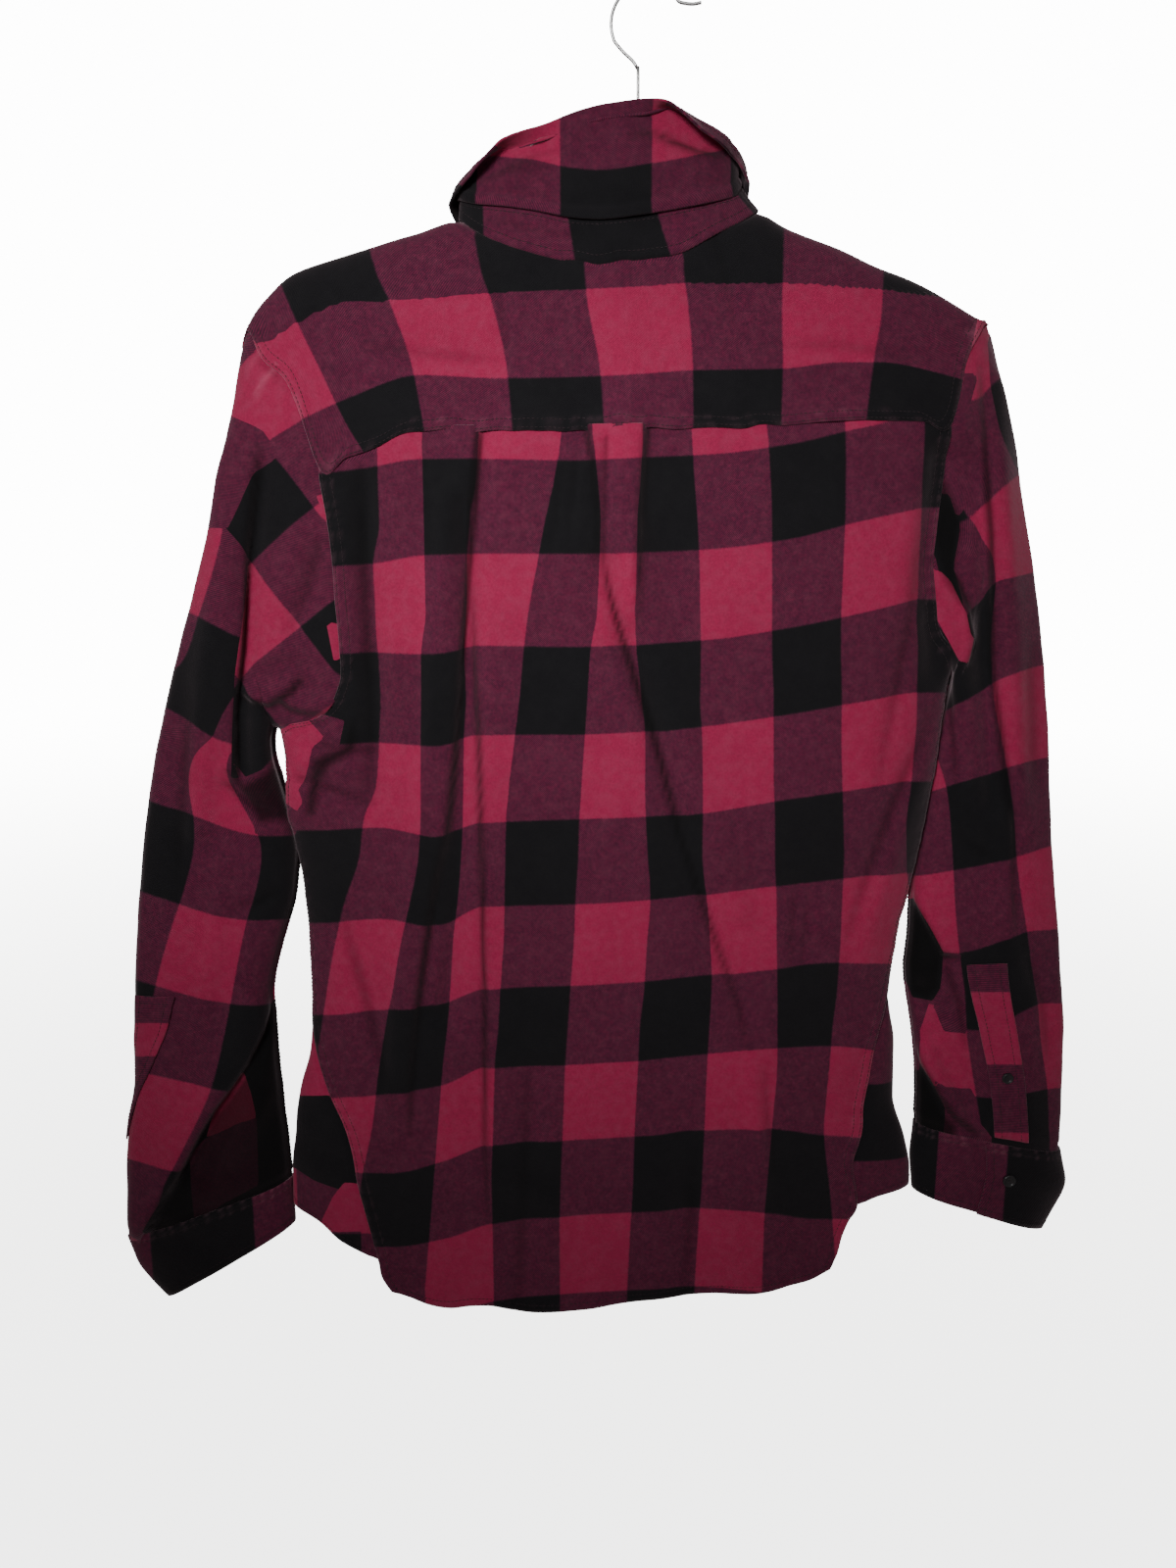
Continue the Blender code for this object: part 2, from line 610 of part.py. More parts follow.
def seam(rows, count):
    """(q, z) points along a seam given as (x, z, side) rows."""
    found = [(q_of(x, z, side), z) for x, z, side in rows]
    length = length_along(np.array([(x, z) for x, z, _ in rows], float))
    return smooth_through(length, found)(np.linspace(0, length[-1], count + 1))


def on_shoulder(rows, count):
    """Evenly spaced points on a line of (x, r), with r weighed as the shoulder's depth."""
    return along(np.asarray(rows, float) * (1, SHOULDER_ROUND), count) / (1, SHOULDER_ROUND)


def yoke_armhole(rows, side, count):
    """(x, r) points along an armhole's edge on the yoke, from the shoulder point."""
    found = [(x, r_of(x, z, side)) for x, z in rows]
    found[0] = (rows[0][0], 0.0)
    return on_shoulder(found, count)


def yoke_neck_angles():
    """Angles of the yoke's columns: the shoulder seams' lines lie at 90 degrees to each side."""
    front = np.linspace(NECK_CORNER_ANGLE, 90, ARMHOLE_OVER + 1)
    shoulder = np.linspace(90, YOKE_CORNER_ANGLE, ARMHOLE_YOKE + 1)
    back = np.linspace(-YOKE_CORNER_ANGLE, YOKE_CORNER_ANGLE, ACROSS_BACK + 1)
    side = np.concatenate([front[:-1], shoulder[:-1]])
    return np.concatenate([-side, back, side[::-1]])


def yoke_seam_points():
    x = np.linspace(BACK_YOKE_SEAM[0][0], BACK_YOKE_SEAM[-1][0], ACROSS_BACK + 1)
    return x, back_yoke_seam(x)


def front_seam(side):
    """(x, r) points of a front yoke seam, from the armhole to the neck corner."""
    sign = -1 if side == "left" else 1
    rows = ARMHOLE_LEFT_FRONT_YOKE if side == "left" else ARMHOLE_RIGHT_FRONT_YOKE
    start = (rows[-1][0], r_of(*rows[-1], "front"))
    x, r = neckline(sign * NECK_CORNER_ANGLE)
    return on_shoulder([start, (float(x), float(r))], ACROSS_SHOULDER)


def front_neck_angles(side):
    """Angles of a front's part of the neckline, and for the left also those of the placket."""
    if side == "right":
        return np.linspace(NECK_CORNER_ANGLE, neckline_angle(UNDER_EDGE, 1), FRONT_NECK + 3)
    return -np.linspace(NECK_CORNER_ANGLE, neckline_angle(PLACKET_LEFT, -1), FRONT_NECK + 1)


def placket_neck_angles():
    x = np.linspace(PLACKET_LEFT, PLACKET_RIGHT, PLACKET_STEPS + 1)
    return np.array([-neckline_angle(a, -1) for a in x])


def in_body_terms(x, r):
    """(q, z) of points given as (x, r) on the front."""
    z = shoulder_line(x) - SHOULDER_ROUND * r**2 / (1 - r**2)
    return np.array([(q_of(a, c, "front"), c) for a, c in zip(x, z)])


# ---------------------------------------------------------------- yoke, back and fronts

def yoke_grid():
    """The yoke is a horseshoe round the neck: its rows run from the neckline to its outer edge."""
    x, z = yoke_seam_points()
    back_seam = np.array([(a, r_of(a, c, "back")) for a, c in zip(x, z)])
    left = np.concatenate([
        yoke_armhole(ARMHOLE_LEFT_FRONT_YOKE, "front", ARMHOLE_OVER)[::-1],
        yoke_armhole(ARMHOLE_LEFT_BACK_YOKE, "back", ARMHOLE_YOKE)[1:],
    ])
    right = np.concatenate([
        yoke_armhole(ARMHOLE_RIGHT_FRONT_YOKE, "front", ARMHOLE_OVER)[::-1],
        yoke_armhole(ARMHOLE_RIGHT_BACK_YOKE, "back", ARMHOLE_YOKE)[1:],
    ])
    outer = np.concatenate([left[:-1], back_seam, right[:-1][::-1]])
    neck = np.stack(neckline(yoke_neck_angles()), -1)
    flat = patch(neck, outer, front_seam("left")[::-1], front_seam("right")[::-1], 3.0)
    return shoulder_points(flat[..., 0], flat[..., 1])


def side_edge(side, armhole):
    """(q, z) points of a panel's outer edge: down the armhole, then down the side seam."""
    side_seam = SIDE_SEAM_LEFT if side == "left" else SIDE_SEAM_RIGHT
    return np.concatenate([seam(armhole, ARMHOLE_DOWN), seam(side_seam, SIDE_STEPS[side])[1:]])


def back_grid():
    """The back. Its hem turns up at both ends, so the last rows of its sides belong to the hem."""
    x, z = yoke_seam_points()
    top = np.array([(q_of(a, c, "back"), c) for a, c in zip(x, z)])
    hem = along(BACK_HEM, HEM_STEPS)
    hem = np.array([(q_of(a, c, "back"), c) for a, c in hem])
    left = np.concatenate([side_edge("left", ARMHOLE_LEFT_BACK), hem[1:HEM_UP["left"] + 1]])
    right = np.concatenate([side_edge("right", ARMHOLE_RIGHT_BACK), hem[::-1][1:HEM_UP["right"] + 1]])
    middle = hem[HEM_UP["left"]:HEM_STEPS + 1 - HEM_UP["right"]]
    at = np.linspace(0, 1, ACROSS_BACK + 1)
    bottom = smooth_through(np.linspace(0, 1, len(middle)), middle)(at)
    flat = relaxed(patch(top, bottom, left, right, 1.5))
    return body_points(flat[..., 0], flat[..., 1])


def front_grid(side, end_x):
    """One front: from its side seam round the edge of the body to the centre front."""
    sign = -1 if side == "left" else 1
    neck = np.stack(neckline(front_neck_angles(side)), -1)
    line = np.concatenate([front_seam(side), neck[1:]])
    top = in_body_terms(line[:, 0], line[:, 1])
    for k in range(len(neck) - 1):
        j = len(top) - 1 - k
        top[j, 0] = front_q(line[j, 0], top[j, 1], sign)
    armhole = ARMHOLE_LEFT_FRONT if side == "left" else ARMHOLE_RIGHT_FRONT
    hem = FRONT_HEM_LEFT if side == "left" else FRONT_HEM_RIGHT
    outer = side_edge(side, armhole)
    outer[0] = top[0]
    heights = np.linspace(top[-1, 1], hem[-1][1], len(outer))
    edge = np.array([(front_q(end_x, z, sign), z) for z in heights])
    bottom = seam(hem, len(top) - 1)
    bottom[0] = outer[-1]
    bottom[-1] = edge[-1]
    flat = relaxed(patch(top, bottom, outer, edge))
    q, z = flat[..., 0], flat[..., 1]
    middle, half, _ = tube_at(z)
    x = middle + half * np.sin(math.pi * q / 2)
    if side == "left":
        layer = FRONT_LAYER * np.clip((x + LAYER_FADE_LEFT) / LAYER_FADE, 0, 1)
    else:
        layer = -FRONT_LAYER * np.clip((LAYER_FADE - x) / LAYER_FADE, 0, 1)
    return body_points(q, z, layer * (np.cos(math.pi * q / 2) < 0))


def placket_grid():
    """The buttonhole band, from the left front's edge to its own, a strip of even width."""
    x, r = neckline(placket_neck_angles())
    top_z = shoulder_line(x) - SHOULDER_ROUND * r**2 / (1 - r**2)
    bottom_z = FRONT_HEM_LEFT[-1][1]
    rows = ARMHOLE_DOWN + SIDE_STEPS["left"] + 1
    flat = np.array([
        [(front_q(a, z, -1), z) for z in np.linspace(top, bottom_z, rows)] for a, top in zip(x, top_z)
    ]).transpose(1, 0, 2)
    return body_points(flat[..., 0], flat[..., 1], FRONT_LAYER)


# ---------------------------------------------------------------- sleeves and cuffs

def armhole_loop(side):
    """The armhole's points in space, from the shoulder point down the back and up the front."""
    if side == "left":
        yoke_back, yoke_front = ARMHOLE_LEFT_BACK_YOKE, ARMHOLE_LEFT_FRONT_YOKE
        down_back, down_front = ARMHOLE_LEFT_BACK, ARMHOLE_LEFT_FRONT
    else:
        yoke_back, yoke_front = ARMHOLE_RIGHT_BACK_YOKE, ARMHOLE_RIGHT_FRONT_YOKE
        down_back, down_front = ARMHOLE_RIGHT_BACK, ARMHOLE_RIGHT_FRONT
    on_yoke_back = yoke_armhole(yoke_back, "back", ARMHOLE_YOKE)
    on_yoke_front = yoke_armhole(yoke_front, "front", ARMHOLE_OVER)
    back = seam(down_back, ARMHOLE_DOWN)
    front = seam(down_front, ARMHOLE_DOWN)
    return np.concatenate([
        shoulder_points(on_yoke_back[:, 0], on_yoke_back[:, 1]),
        body_points(back[1:, 0], back[1:, 1]),
        body_points(front[1:-1, 0], front[1:-1, 1])[::-1],
        shoulder_points(on_yoke_front[1:, 0], on_yoke_front[1:, 1])[::-1],
    ])


def turns_of(loop):
    """Each armhole point's share of a turn: 0 at the shoulder point, a half at the underarm."""
    length = length_along(np.concatenate([loop, loop[:1]]))
    half, total = length[ARMHOLE_YOKE + ARMHOLE_DOWN], length[-1]
    length = length[:-1]
    return np.where(length <= half, length / half / 2, 0.5 + (length - half) / (total - half) / 2)


def tube_ring(row, turns):
    """One flattened ring of a sleeve or cuff."""
    outer = np.array([row[0], row[1]], float)
    inner = np.array([row[2], row[3]], float)
    share = -np.cos(2 * math.pi * turns)
    place = (outer + inner) / 2 + (inner - outer) / 2 * share[:, None]
    y = row[5] - row[4] * np.sin(2 * math.pi * turns) * np.sqrt(1 + share**2)
    return np.stack([place[:, 0], y, place[:, 1]], -1)


def lofted(rings, steps):
    """Rings filled in between with smooth curves, with the same number of steps in each span."""
    rings = np.asarray(rings, float)
    count = len(rings)
    at = np.linspace(0, count - 1, (count - 1) * steps + 1)
    line = smooth_through(np.arange(count), rings.reshape(count, -1))
    return at, line(at).reshape(len(at), rings.shape[1], 3)


def with_sleeve_folds(grid, side, turns):
    """Adds the sleeve's long folds to its back, and softer ones like them to its front."""
    folds = LEFT_SLEEVE_FOLDS if side == "left" else RIGHT_SLEEVE_FOLDS
    relief = fold_relief(grid[..., 0], grid[..., 2], folds)
    facing = np.sin(2 * math.pi * turns)[None, :]
    relief = relief * np.clip(np.arange(len(grid)) / SLEEVE_STEPS, 0, 1)[:, None]
    made = grid.copy()
    made[..., 1] -= relief * squarely(facing)
    made[..., 1] += FRONT_FOLD_SHARE * relief * squarely(-facing)
    return made


def sleeve_grid(side):
    loop = armhole_loop(side)
    turns = turns_of(loop)
    rows = LEFT_SLEEVE if side == "left" else RIGHT_SLEEVE
    at, grid = lofted([loop] + [tube_ring(row, turns) for row in rows], SLEEVE_STEPS)
    return at, turns, with_sleeve_folds(grid, side, turns)


def cuff_grid(side):
    """A cuff: a band round the wrist whose ends lap over each other."""
    rows = LEFT_CUFF if side == "left" else RIGHT_CUFF
    lap_at = LEFT_LAP_AT if side == "left" else RIGHT_LAP_AT
    run = np.linspace(-CUFF_LAP, 1 + CUFF_LAP / 2, CUFF_COLUMNS + 1)
    _, grid = lofted([tube_ring(row, lap_at - run) for row in rows], CUFF_STEPS)
    outer_end = np.clip((CUFF_LIFTED - run) / CUFF_LIFT_FADE, 0, 1)
    inner_end = np.clip((run - 1 + CUFF_LIFTED) / CUFF_LIFT_FADE, 0, 1)
    normal = outward(grid, normals_of(grid))
    lift = (DOUBLE_CLOTH + LAYER_GAP) * CUFF_LIFT_SHARE * (outer_end - inner_end)
    return grid + normal * lift[None, :, None]


def surface_at(grid, normals, at, wrapped, level, turn):
    """Point and outward normal on a sleeve's grid at a level and a share of a turn."""
    j = int(np.clip(np.searchsorted(at, level, side="right") - 1, 0, len(at) - 2))
    v = (level - at[j]) / (at[j + 1] - at[j])
    i = int(np.searchsorted(wrapped, turn, side="right") - 1)
    u = (turn - wrapped[i]) / (wrapped[i + 1] - wrapped[i])
    a, b = i % grid.shape[1], (i + 1) % grid.shape[1]

    def mix(field):
        upper = field[j, a] * (1 - u) + field[j, b] * u
        lower = field[j + 1, a] * (1 - u) + field[j + 1, b] * u
        return upper * (1 - v) + lower * v

    normal = mix(normals)
    return mix(grid), normal / np.linalg.norm(normal)


def strip_on_sleeve(side, at, turns, grid):
    """The placket strip on a sleeve: the sleeve's own points between its sides, moved out."""
    rows = LEFT_SLEEVE_PLACKET if side == "left" else RIGHT_SLEEVE_PLACKET
    edges = smooth_through([row[0] for row in rows], [row[1:] for row in rows])
    first, last = rows[0][0], rows[-1][0]
    inside = (at > first + SHORTEST_STRIP_ROW) & (at < last - SHORTEST_STRIP_ROW)
    levels = np.concatenate([[first], at[inside], [last]])
    wrapped = np.concatenate([turns - 1, turns, turns + 1])
    normals = outward(grid, normals_of(grid, ring=True))
    out = CLOTH + (LEFT_STRIP_AIR if side == "left" else LAYER_GAP)
    made = []
    for level in levels:
        low, high = edges(level)
        row = []
        for turn in np.linspace(low, high, STRIP_COLUMNS + 1):
            point, normal = surface_at(grid, normals, at, wrapped, level, turn)
            row.append(point + normal * out)
        made.append(row)
    return np.array(made)


def outward(grid, normals):
    """The normals, turned as one so that they face away from the middle of each row."""
    away = grid - grid.mean(axis=1, keepdims=True)
    return normals if np.sum(normals * away) > 0 else -normals


# ---------------------------------------------------------------- collar

def collar_ring(angle, z, out=0.0):
    """Points of the upper ring of the collar at a height, moved out level by a distance."""
    turn = np.radians(angle)
    x = COLLAR_CENTRE + COLLAR_HALF_WIDTH * np.sin(turn)
    depth = np.where(np.cos(turn) > 0, COLLAR_BACK_DEPTH, COLLAR_FRONT_DEPTH)
    y = -depth * np.cos(turn)
    across = np.sin(turn) / COLLAR_HALF_WIDTH
    forward = -np.cos(turn) / depth
    size = np.hypot(across, forward)
    return np.stack([x + out * across / size, y + out * forward / size, z], -1)


def stand_angles():
    """Angles of the stand's columns: those of the pieces below it, and the laps at its ends."""
    left = np.concatenate([front_neck_angles("left")[1:], placket_neck_angles()[1:], [-COLLAR_END]])
    right = np.concatenate([front_neck_angles("right")[1:], [COLLAR_END]])
    return np.concatenate([left[::-1], yoke_neck_angles(), right])


def lap_shift(angle):
    """How far the stand's ends part: its left end lies outside and its right end inside."""
    near_end = np.clip((np.abs(angle) - LAP_FROM) / LAP_FADE, 0, 1)
    return -np.sign(angle) * near_end * (DOUBLE_CLOTH + LAYER_GAP) * LAP_SHARE


def stand_grid():
    angle = stand_angles()
    foot = shoulder_points(*neckline(angle))
    head = collar_ring(angle, stand_top(angle))
    run = np.gradient(foot, axis=0)
    run = run / np.linalg.norm(run, axis=-1, keepdims=True)
    rise = head - foot
    rise = rise - run * np.sum(rise * run, axis=-1, keepdims=True)
    rise = rise / np.linalg.norm(rise, axis=-1, keepdims=True)
    level = np.abs(np.sin(np.radians(angle)))[:, None] ** SIDE_SHARPNESS
    foot = foot + rise * (STAND_LIFT + STAND_SIDE_LIFT * level)
    foot[:, 1] += lap_shift(angle)
    head[:, 1] += lap_shift(angle)
    return np.array([head, (head + foot) / 2, foot])


def front_depth(x, z):
    """How far forward the fronts lie at a place, in millimetres."""
    middle, half, depth = tube_at(z)
    share = np.clip((x - middle) / half, -1, 1)
    full = depth * np.sqrt(1 - share**2) * np.sqrt(1 + share**2)
    return full * share_of_depth(np.maximum(shoulder_line(x) - z, 0))


def leaf_angles():
    """Angles of the leaf's columns: those of the stand, up to the leaf's ends near the centre front."""
    stand = stand_angles()
    return stand[(stand > -LEAF_END) & (stand < LEAF_END)]


def stand_lean(angle):
    """How far the stand's foot lies outside its head, and the heights of both."""
    foot = shoulder_points(*neckline(angle))
    head = collar_ring(angle, stand_top(angle))
    way_out = collar_ring(angle, stand_top(angle), 1.0) - head
    return np.sum((foot - head) * way_out, axis=-1), head[:, 2], foot[:, 2]


def leaf_profile(crest, turn, length, foot):
    """(height, distance out) down one section of the leaf, from the stand over the roll to its edge."""
    roll = max(ROLL_RADIUS * turn, SHORTEST_ROLL)
    bend = turn * np.linspace(0, 1, ROLL_STEPS + 1)
    sharpness = turn / roll
    up = np.sin(bend) / sharpness if turn > 1e-6 else roll * np.linspace(0, 1, ROLL_STEPS + 1)
    out = (1 - np.cos(bend)) / sharpness if turn > 1e-6 else np.zeros(ROLL_STEPS + 1)
    past = length * np.linspace(0, 1, FLAP_STEPS + 1)[1:]
    up = np.concatenate([up, up[-1] + past * math.cos(turn)])
    out = np.concatenate([out, out[-1] + past * math.sin(turn)])
    start = crest - up.max()
    rise = np.linspace(foot, start, RISE_STEPS + 1)
    return np.concatenate([rise[:-1], start + up]), np.concatenate([np.zeros(RISE_STEPS), out])


def leaf_grid():
    """The collar leaf, row by row from the stand to its free edge."""
    angle = leaf_angles()
    foot = stand_top(angle) + LEAF_LIFT
    found = leaf_rows(angle)
    sections = [
        leaf_profile(row[0], math.radians(row[1]), row[2], base) for row, base in zip(found, foot)
    ]
    z = np.array([section[0] for section in sections]).T
    out = np.array([section[1] for section in sections]).T
    past_roll = np.clip((np.arange(len(z)) - RISE_STEPS - ROLL_STEPS) / FLAP_STEPS, 0, 1)[:, None]
    front = np.clip((np.abs(angle) - FLAT_FROM) / (LEAF_END - FLAT_FROM), 0, 1)
    slid = angle[None, :] - np.sign(angle) * POINT_SPREAD * front**2 * past_roll
    lean, head_z, foot_z = stand_lean(angle)
    below_head = np.clip((head_z - z) / (head_z - foot_z), 0, 1)
    made = collar_ring(slid, z, out + lean * below_head * (np.abs(angle) < FLAT_FROM))
    made[..., 1] += lap_shift(angle) * (1 - past_roll)
    clear = front_depth(made[..., 0], made[..., 2]) + LEAF_CLEAR_OF_BODY
    over_front = np.clip((np.abs(angle) - LEAF_LIES_FROM) / LEAF_LIES_FADE, 0, 1)
    rolled = np.clip((np.arange(len(z)) - RISE_STEPS - 1) / (ROLL_STEPS - 1), 0, 1)[:, None]
    share = over_front * rolled
    made[..., 1] += share * np.maximum(clear - made[..., 1], 0)
    return made


# ---------------------------------------------------------------- buttons

def button(name, centre, normal, radius, thick):
    """A round button with a raised rim, its underside at centre and its face along normal."""
    normal = np.asarray(normal, float) / np.linalg.norm(normal)
    side = np.cross(normal, (0, 0, 1.0))
    side = side / np.linalg.norm(side)
    other = np.cross(normal, side)
    points = []
    for share, height in BUTTON_PROFILE:
        for k in range(BUTTON_SIDES):
            turn = 2 * math.pi * k / BUTTON_SIDES
            rim = side * math.cos(turn) + other * math.sin(turn)
            points.append(centre + normal * thick * height + rim * radius * share)
    faces = []
    for level in range(len(BUTTON_PROFILE) - 1):
        for k in range(BUTTON_SIDES):
            a, b = level * BUTTON_SIDES + k, level * BUTTON_SIDES + (k + 1) % BUTTON_SIDES
            faces.append((a, b, b + BUTTON_SIDES, a + BUTTON_SIDES))
    last = (len(BUTTON_PROFILE) - 1) * BUTTON_SIDES
    faces.append(tuple(range(BUTTON_SIDES))[::-1])
    faces.append(tuple(last + k for k in range(BUTTON_SIDES)))
    return solid(name, points, faces, "black_button")


def button_on(name, grid, normals, place, size, wall_thick):
    """A button standing on a piece at one of its grid's points (row, column)."""
    out = normals[place]
    button(name, grid[place] + out * (wall_thick / 2 + BUTTON_GAP), out, *size)


def front_buttons(placket):
    """Seven buttons down the placket, each clear of the faceted band behind it."""
    heights = placket[:, 0, 2]
    for k in range(BUTTON_COUNT):
        z = BUTTON_TOP_Z - k * BUTTON_PITCH
        near = placket[np.abs(heights - z) < abs(heights[1] - heights[0])]
        forward = near[..., 1].max() + CLOTH / 2 + BUTTON_GAP
        centre = np.array([(PLACKET_LEFT + PLACKET_RIGHT) / 2, forward, z])
        button(f"front_button_{k + 1}", centre, (0, 1, 0), *FRONT_BUTTON)


# ---------------------------------------------------------------- hanger

def arc(centre, radius, start, end, count):
    """Points on an arc in the hanger's plane, angles in degrees from +X."""
    turns = np.radians(np.linspace(start, end, count + 1))
    return [(centre[0] + radius * math.cos(a), 0.0, centre[1] + radius * math.sin(a)) for a in turns]


def under_shoulder(x):
    return float(shoulder_line(x)) - CLOTH / 2 - WIRE_UNDER_CLOTH - WIRE_RADIUS


def hanger_route():
    """One wire: the hook, its neck, the left arm, the bar, the right arm and its wrap round the neck."""
    route = list(HOOK_TIP)
    route += arc((HOOK_CENTRE_X, WIRE_RADIUS - HOOK_RADIUS), HOOK_RADIUS, *HOOK_SWEEP, HOOK_STEPS)
    route += list(HANGER_NECK)
    route += [(x, 0, under_shoulder(x)) for x in np.linspace(*LEFT_ARM_X, ARM_STEPS)]
    route += list(HANGER_BAR)
    route += [(x, 0, under_shoulder(x)) for x in np.linspace(*RIGHT_ARM_X, ARM_STEPS)]
    route += list(WRAP_LEAD)
    wrap_radius = 2 * WIRE_RADIUS + WRAP_AIR
    for k in range(WRAP_STEPS + 1):
        turn = -math.pi / 2 - 2 * math.pi * WRAP_TURNS * k / WRAP_STEPS
        z = WRAP_START_Z + WRAP_PITCH * WRAP_TURNS * k / WRAP_STEPS
        route.append((NECK_WIRE_X + wrap_radius * math.cos(turn), wrap_radius * math.sin(turn), z))
    return np.array(route)


def hanger():
    """The wire, a round tube swept along its route without twist."""
    route = hanger_route()
    tangents = np.gradient(route, axis=0)
    tangents /= np.linalg.norm(tangents, axis=1, keepdims=True)
    side = np.array([0.0, 1.0, 0.0])
    points = []
    for place, tangent in zip(route, tangents):
        side = side - tangent * (side @ tangent)
        side = side / np.linalg.norm(side)
        other = np.cross(tangent, side)
        for k in range(WIRE_SIDES):
            turn = 2 * math.pi * k / WIRE_SIDES
            points.append(place + WIRE_RADIUS * (side * math.cos(turn) + other * math.sin(turn)))
    faces = []
    for j in range(len(route) - 1):
        for k in range(WIRE_SIDES):
            a, b = j * WIRE_SIDES + k, j * WIRE_SIDES + (k + 1) % WIRE_SIDES
            faces.append((a, b, b + WIRE_SIDES, a + WIRE_SIDES))
    last = (len(route) - 1) * WIRE_SIDES
    faces.append(tuple(range(WIRE_SIDES))[::-1])
    faces.append(tuple(last + k for k in range(WIRE_SIDES)))
    return solid("hanger_wire", points, faces, "steel")


# ---------------------------------------------------------------- the shirt

def shirt_pieces():
    """Every cloth piece: name, points, backed-off edges, how far, finish, thickness and ring or not."""
    pieces = [
        ["back_yoke", yoke_grid(), "tblr", SEAM_BACK_OFF, "red_flannel", CLOTH, False],
        ["back", back_grid(), "tlr", SEAM_BACK_OFF, "red_flannel", CLOTH, False],
        ["left_front", front_grid("left", PLACKET_LEFT), "tlr", SEAM_BACK_OFF, "red_flannel", CLOTH, False],
        ["right_front", front_grid("right", UNDER_EDGE), "tl", SEAM_BACK_OFF, "red_flannel", CLOTH, False],
        ["front_placket", placket_grid(), "tl", SEAM_BACK_OFF, "dark_flannel", CLOTH, False],
        ["collar_stand", stand_grid(), "", 0.0, "dark_flannel", DOUBLE_CLOTH, False],
        ["collar_leaf", leaf_grid(), "", 0.0, "red_flannel", LEAF_CLOTH, False],
    ]
    for side in ("left", "right"):
        at, turns, grid = sleeve_grid(side)
        strip = strip_on_sleeve(side, at, turns, grid)
        cuff = cuff_grid(side)
        pieces.append([f"{side}_sleeve", grid, "tb", SEAM_BACK_OFF, "red_flannel", CLOTH, True])
        pieces.append([f"{side}_cuff", cuff, "t", SEAM_BACK_OFF, "dark_flannel", DOUBLE_CLOTH, False])
        pieces.append([f"{side}_sleeve_placket", strip, "", 0.0, "dark_flannel", CLOTH, False])
    return pieces


def border_points(grid, ring):
    """Row and column numbers of a grid's border points."""
    rows, columns = grid.shape[:2]
    found = [(j, i) for j in (0, rows - 1) for i in range(columns)]
    if not ring:
        found += [(j, i) for j in range(1, rows - 1) for i in (0, columns - 1)]
    return found


def shared_normals(pieces):
    """Normals of every piece, made equal where pieces meet, so that their rims face each other."""
    normals = []
    places = []
    for _, grid, _, _, _, _, ring in pieces:
        found = normals_of(grid, ring)
        facing_out = np.sum(found[..., 1] * (grid[..., 1] - grid[..., 1].mean())) >= 0
        normals.append(found if facing_out or not ring and np.ptp(grid[..., 1]) < 1 else -found)
    for number, (_, grid, _, _, _, _, ring) in enumerate(pieces):
        places += [(number, j, i) for j, i in border_points(grid, ring)]
    at = np.array([pieces[n][1][j, i] for n, j, i in places])
    own = np.array([normals[n][j, i] for n, j, i in places])
    for k, (n, j, i) in enumerate(places):
        met = np.linalg.norm(at - at[k], axis=1) < SAME_PLACE
        total = own[met].sum(axis=0)
        normals[n][j, i] = total / np.linalg.norm(total)
    return normals


def build_shirt():
    pieces = shirt_pieces()
    all_normals = shared_normals(pieces)
    for (name, grid, edges, by, finish, thick, ring), normals in zip(pieces, all_normals):
        wall(name, back_off(grid, edges, by), normals, finish, thick, ring)
    found = {piece[0]: (piece[1], normals) for piece, normals in zip(pieces, all_normals)}
    front_buttons(found["front_placket"][0])
    button_on("collar_button", *found["collar_stand"], COLLAR_BUTTON_AT, SMALL_BUTTON, DOUBLE_CLOTH)
    for side in ("left", "right"):
        cuff, normals = found[f"{side}_cuff"]
        normals = outward(cuff, normals)
        button_on(f"{side}_cuff_button", cuff, normals, CUFF_BUTTON_AT, SMALL_BUTTON, DOUBLE_CLOTH)
        strip, normals = found[f"{side}_sleeve_placket"]
        place = PLACKET_BUTTON_AT[side]
        normals = normals if np.sum(normals * (strip - cuff.mean(axis=(0, 1)))) > 0 else -normals
        button_on(f"{side}_placket_button", strip, normals, place, TINY_BUTTON, CLOTH)


def main():
    clear_scene()
    build_shirt()
    hanger()


main()
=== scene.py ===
"""Looks of a long-sleeved flannel shirt on a wire hanger, in a red and black buffalo check.

Every panel is the cloth's own form, laid out again from the same sizes on a finer grid, with its
creases, puckered seams, stitches and buttons. Sizes are in millimetres and MM turns them to metres.
The origin is the inside top of the hook, +Z is up, the back faces -Y and +X is the wearer's right.
q runs round the body from -2 at the centre front through 0 at the centre back to 2 again, and r
runs over the shoulders, with 0 on the shoulder line and the back negative.
"""

import math

import bpy
import numpy as np
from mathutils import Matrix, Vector


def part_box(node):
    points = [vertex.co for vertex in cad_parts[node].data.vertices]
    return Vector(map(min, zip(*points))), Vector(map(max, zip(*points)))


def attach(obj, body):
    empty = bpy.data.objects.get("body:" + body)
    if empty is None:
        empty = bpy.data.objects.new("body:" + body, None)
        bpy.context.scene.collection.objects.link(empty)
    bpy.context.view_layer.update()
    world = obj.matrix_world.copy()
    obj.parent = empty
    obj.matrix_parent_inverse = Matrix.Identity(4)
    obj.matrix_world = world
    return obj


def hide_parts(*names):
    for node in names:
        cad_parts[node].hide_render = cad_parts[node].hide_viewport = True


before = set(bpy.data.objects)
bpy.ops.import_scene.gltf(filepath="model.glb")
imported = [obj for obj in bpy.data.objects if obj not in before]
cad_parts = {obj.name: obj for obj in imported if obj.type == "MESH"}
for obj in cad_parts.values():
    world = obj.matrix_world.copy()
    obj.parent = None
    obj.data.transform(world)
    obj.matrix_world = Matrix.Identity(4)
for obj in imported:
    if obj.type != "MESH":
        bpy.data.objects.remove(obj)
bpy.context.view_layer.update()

MM = 0.001

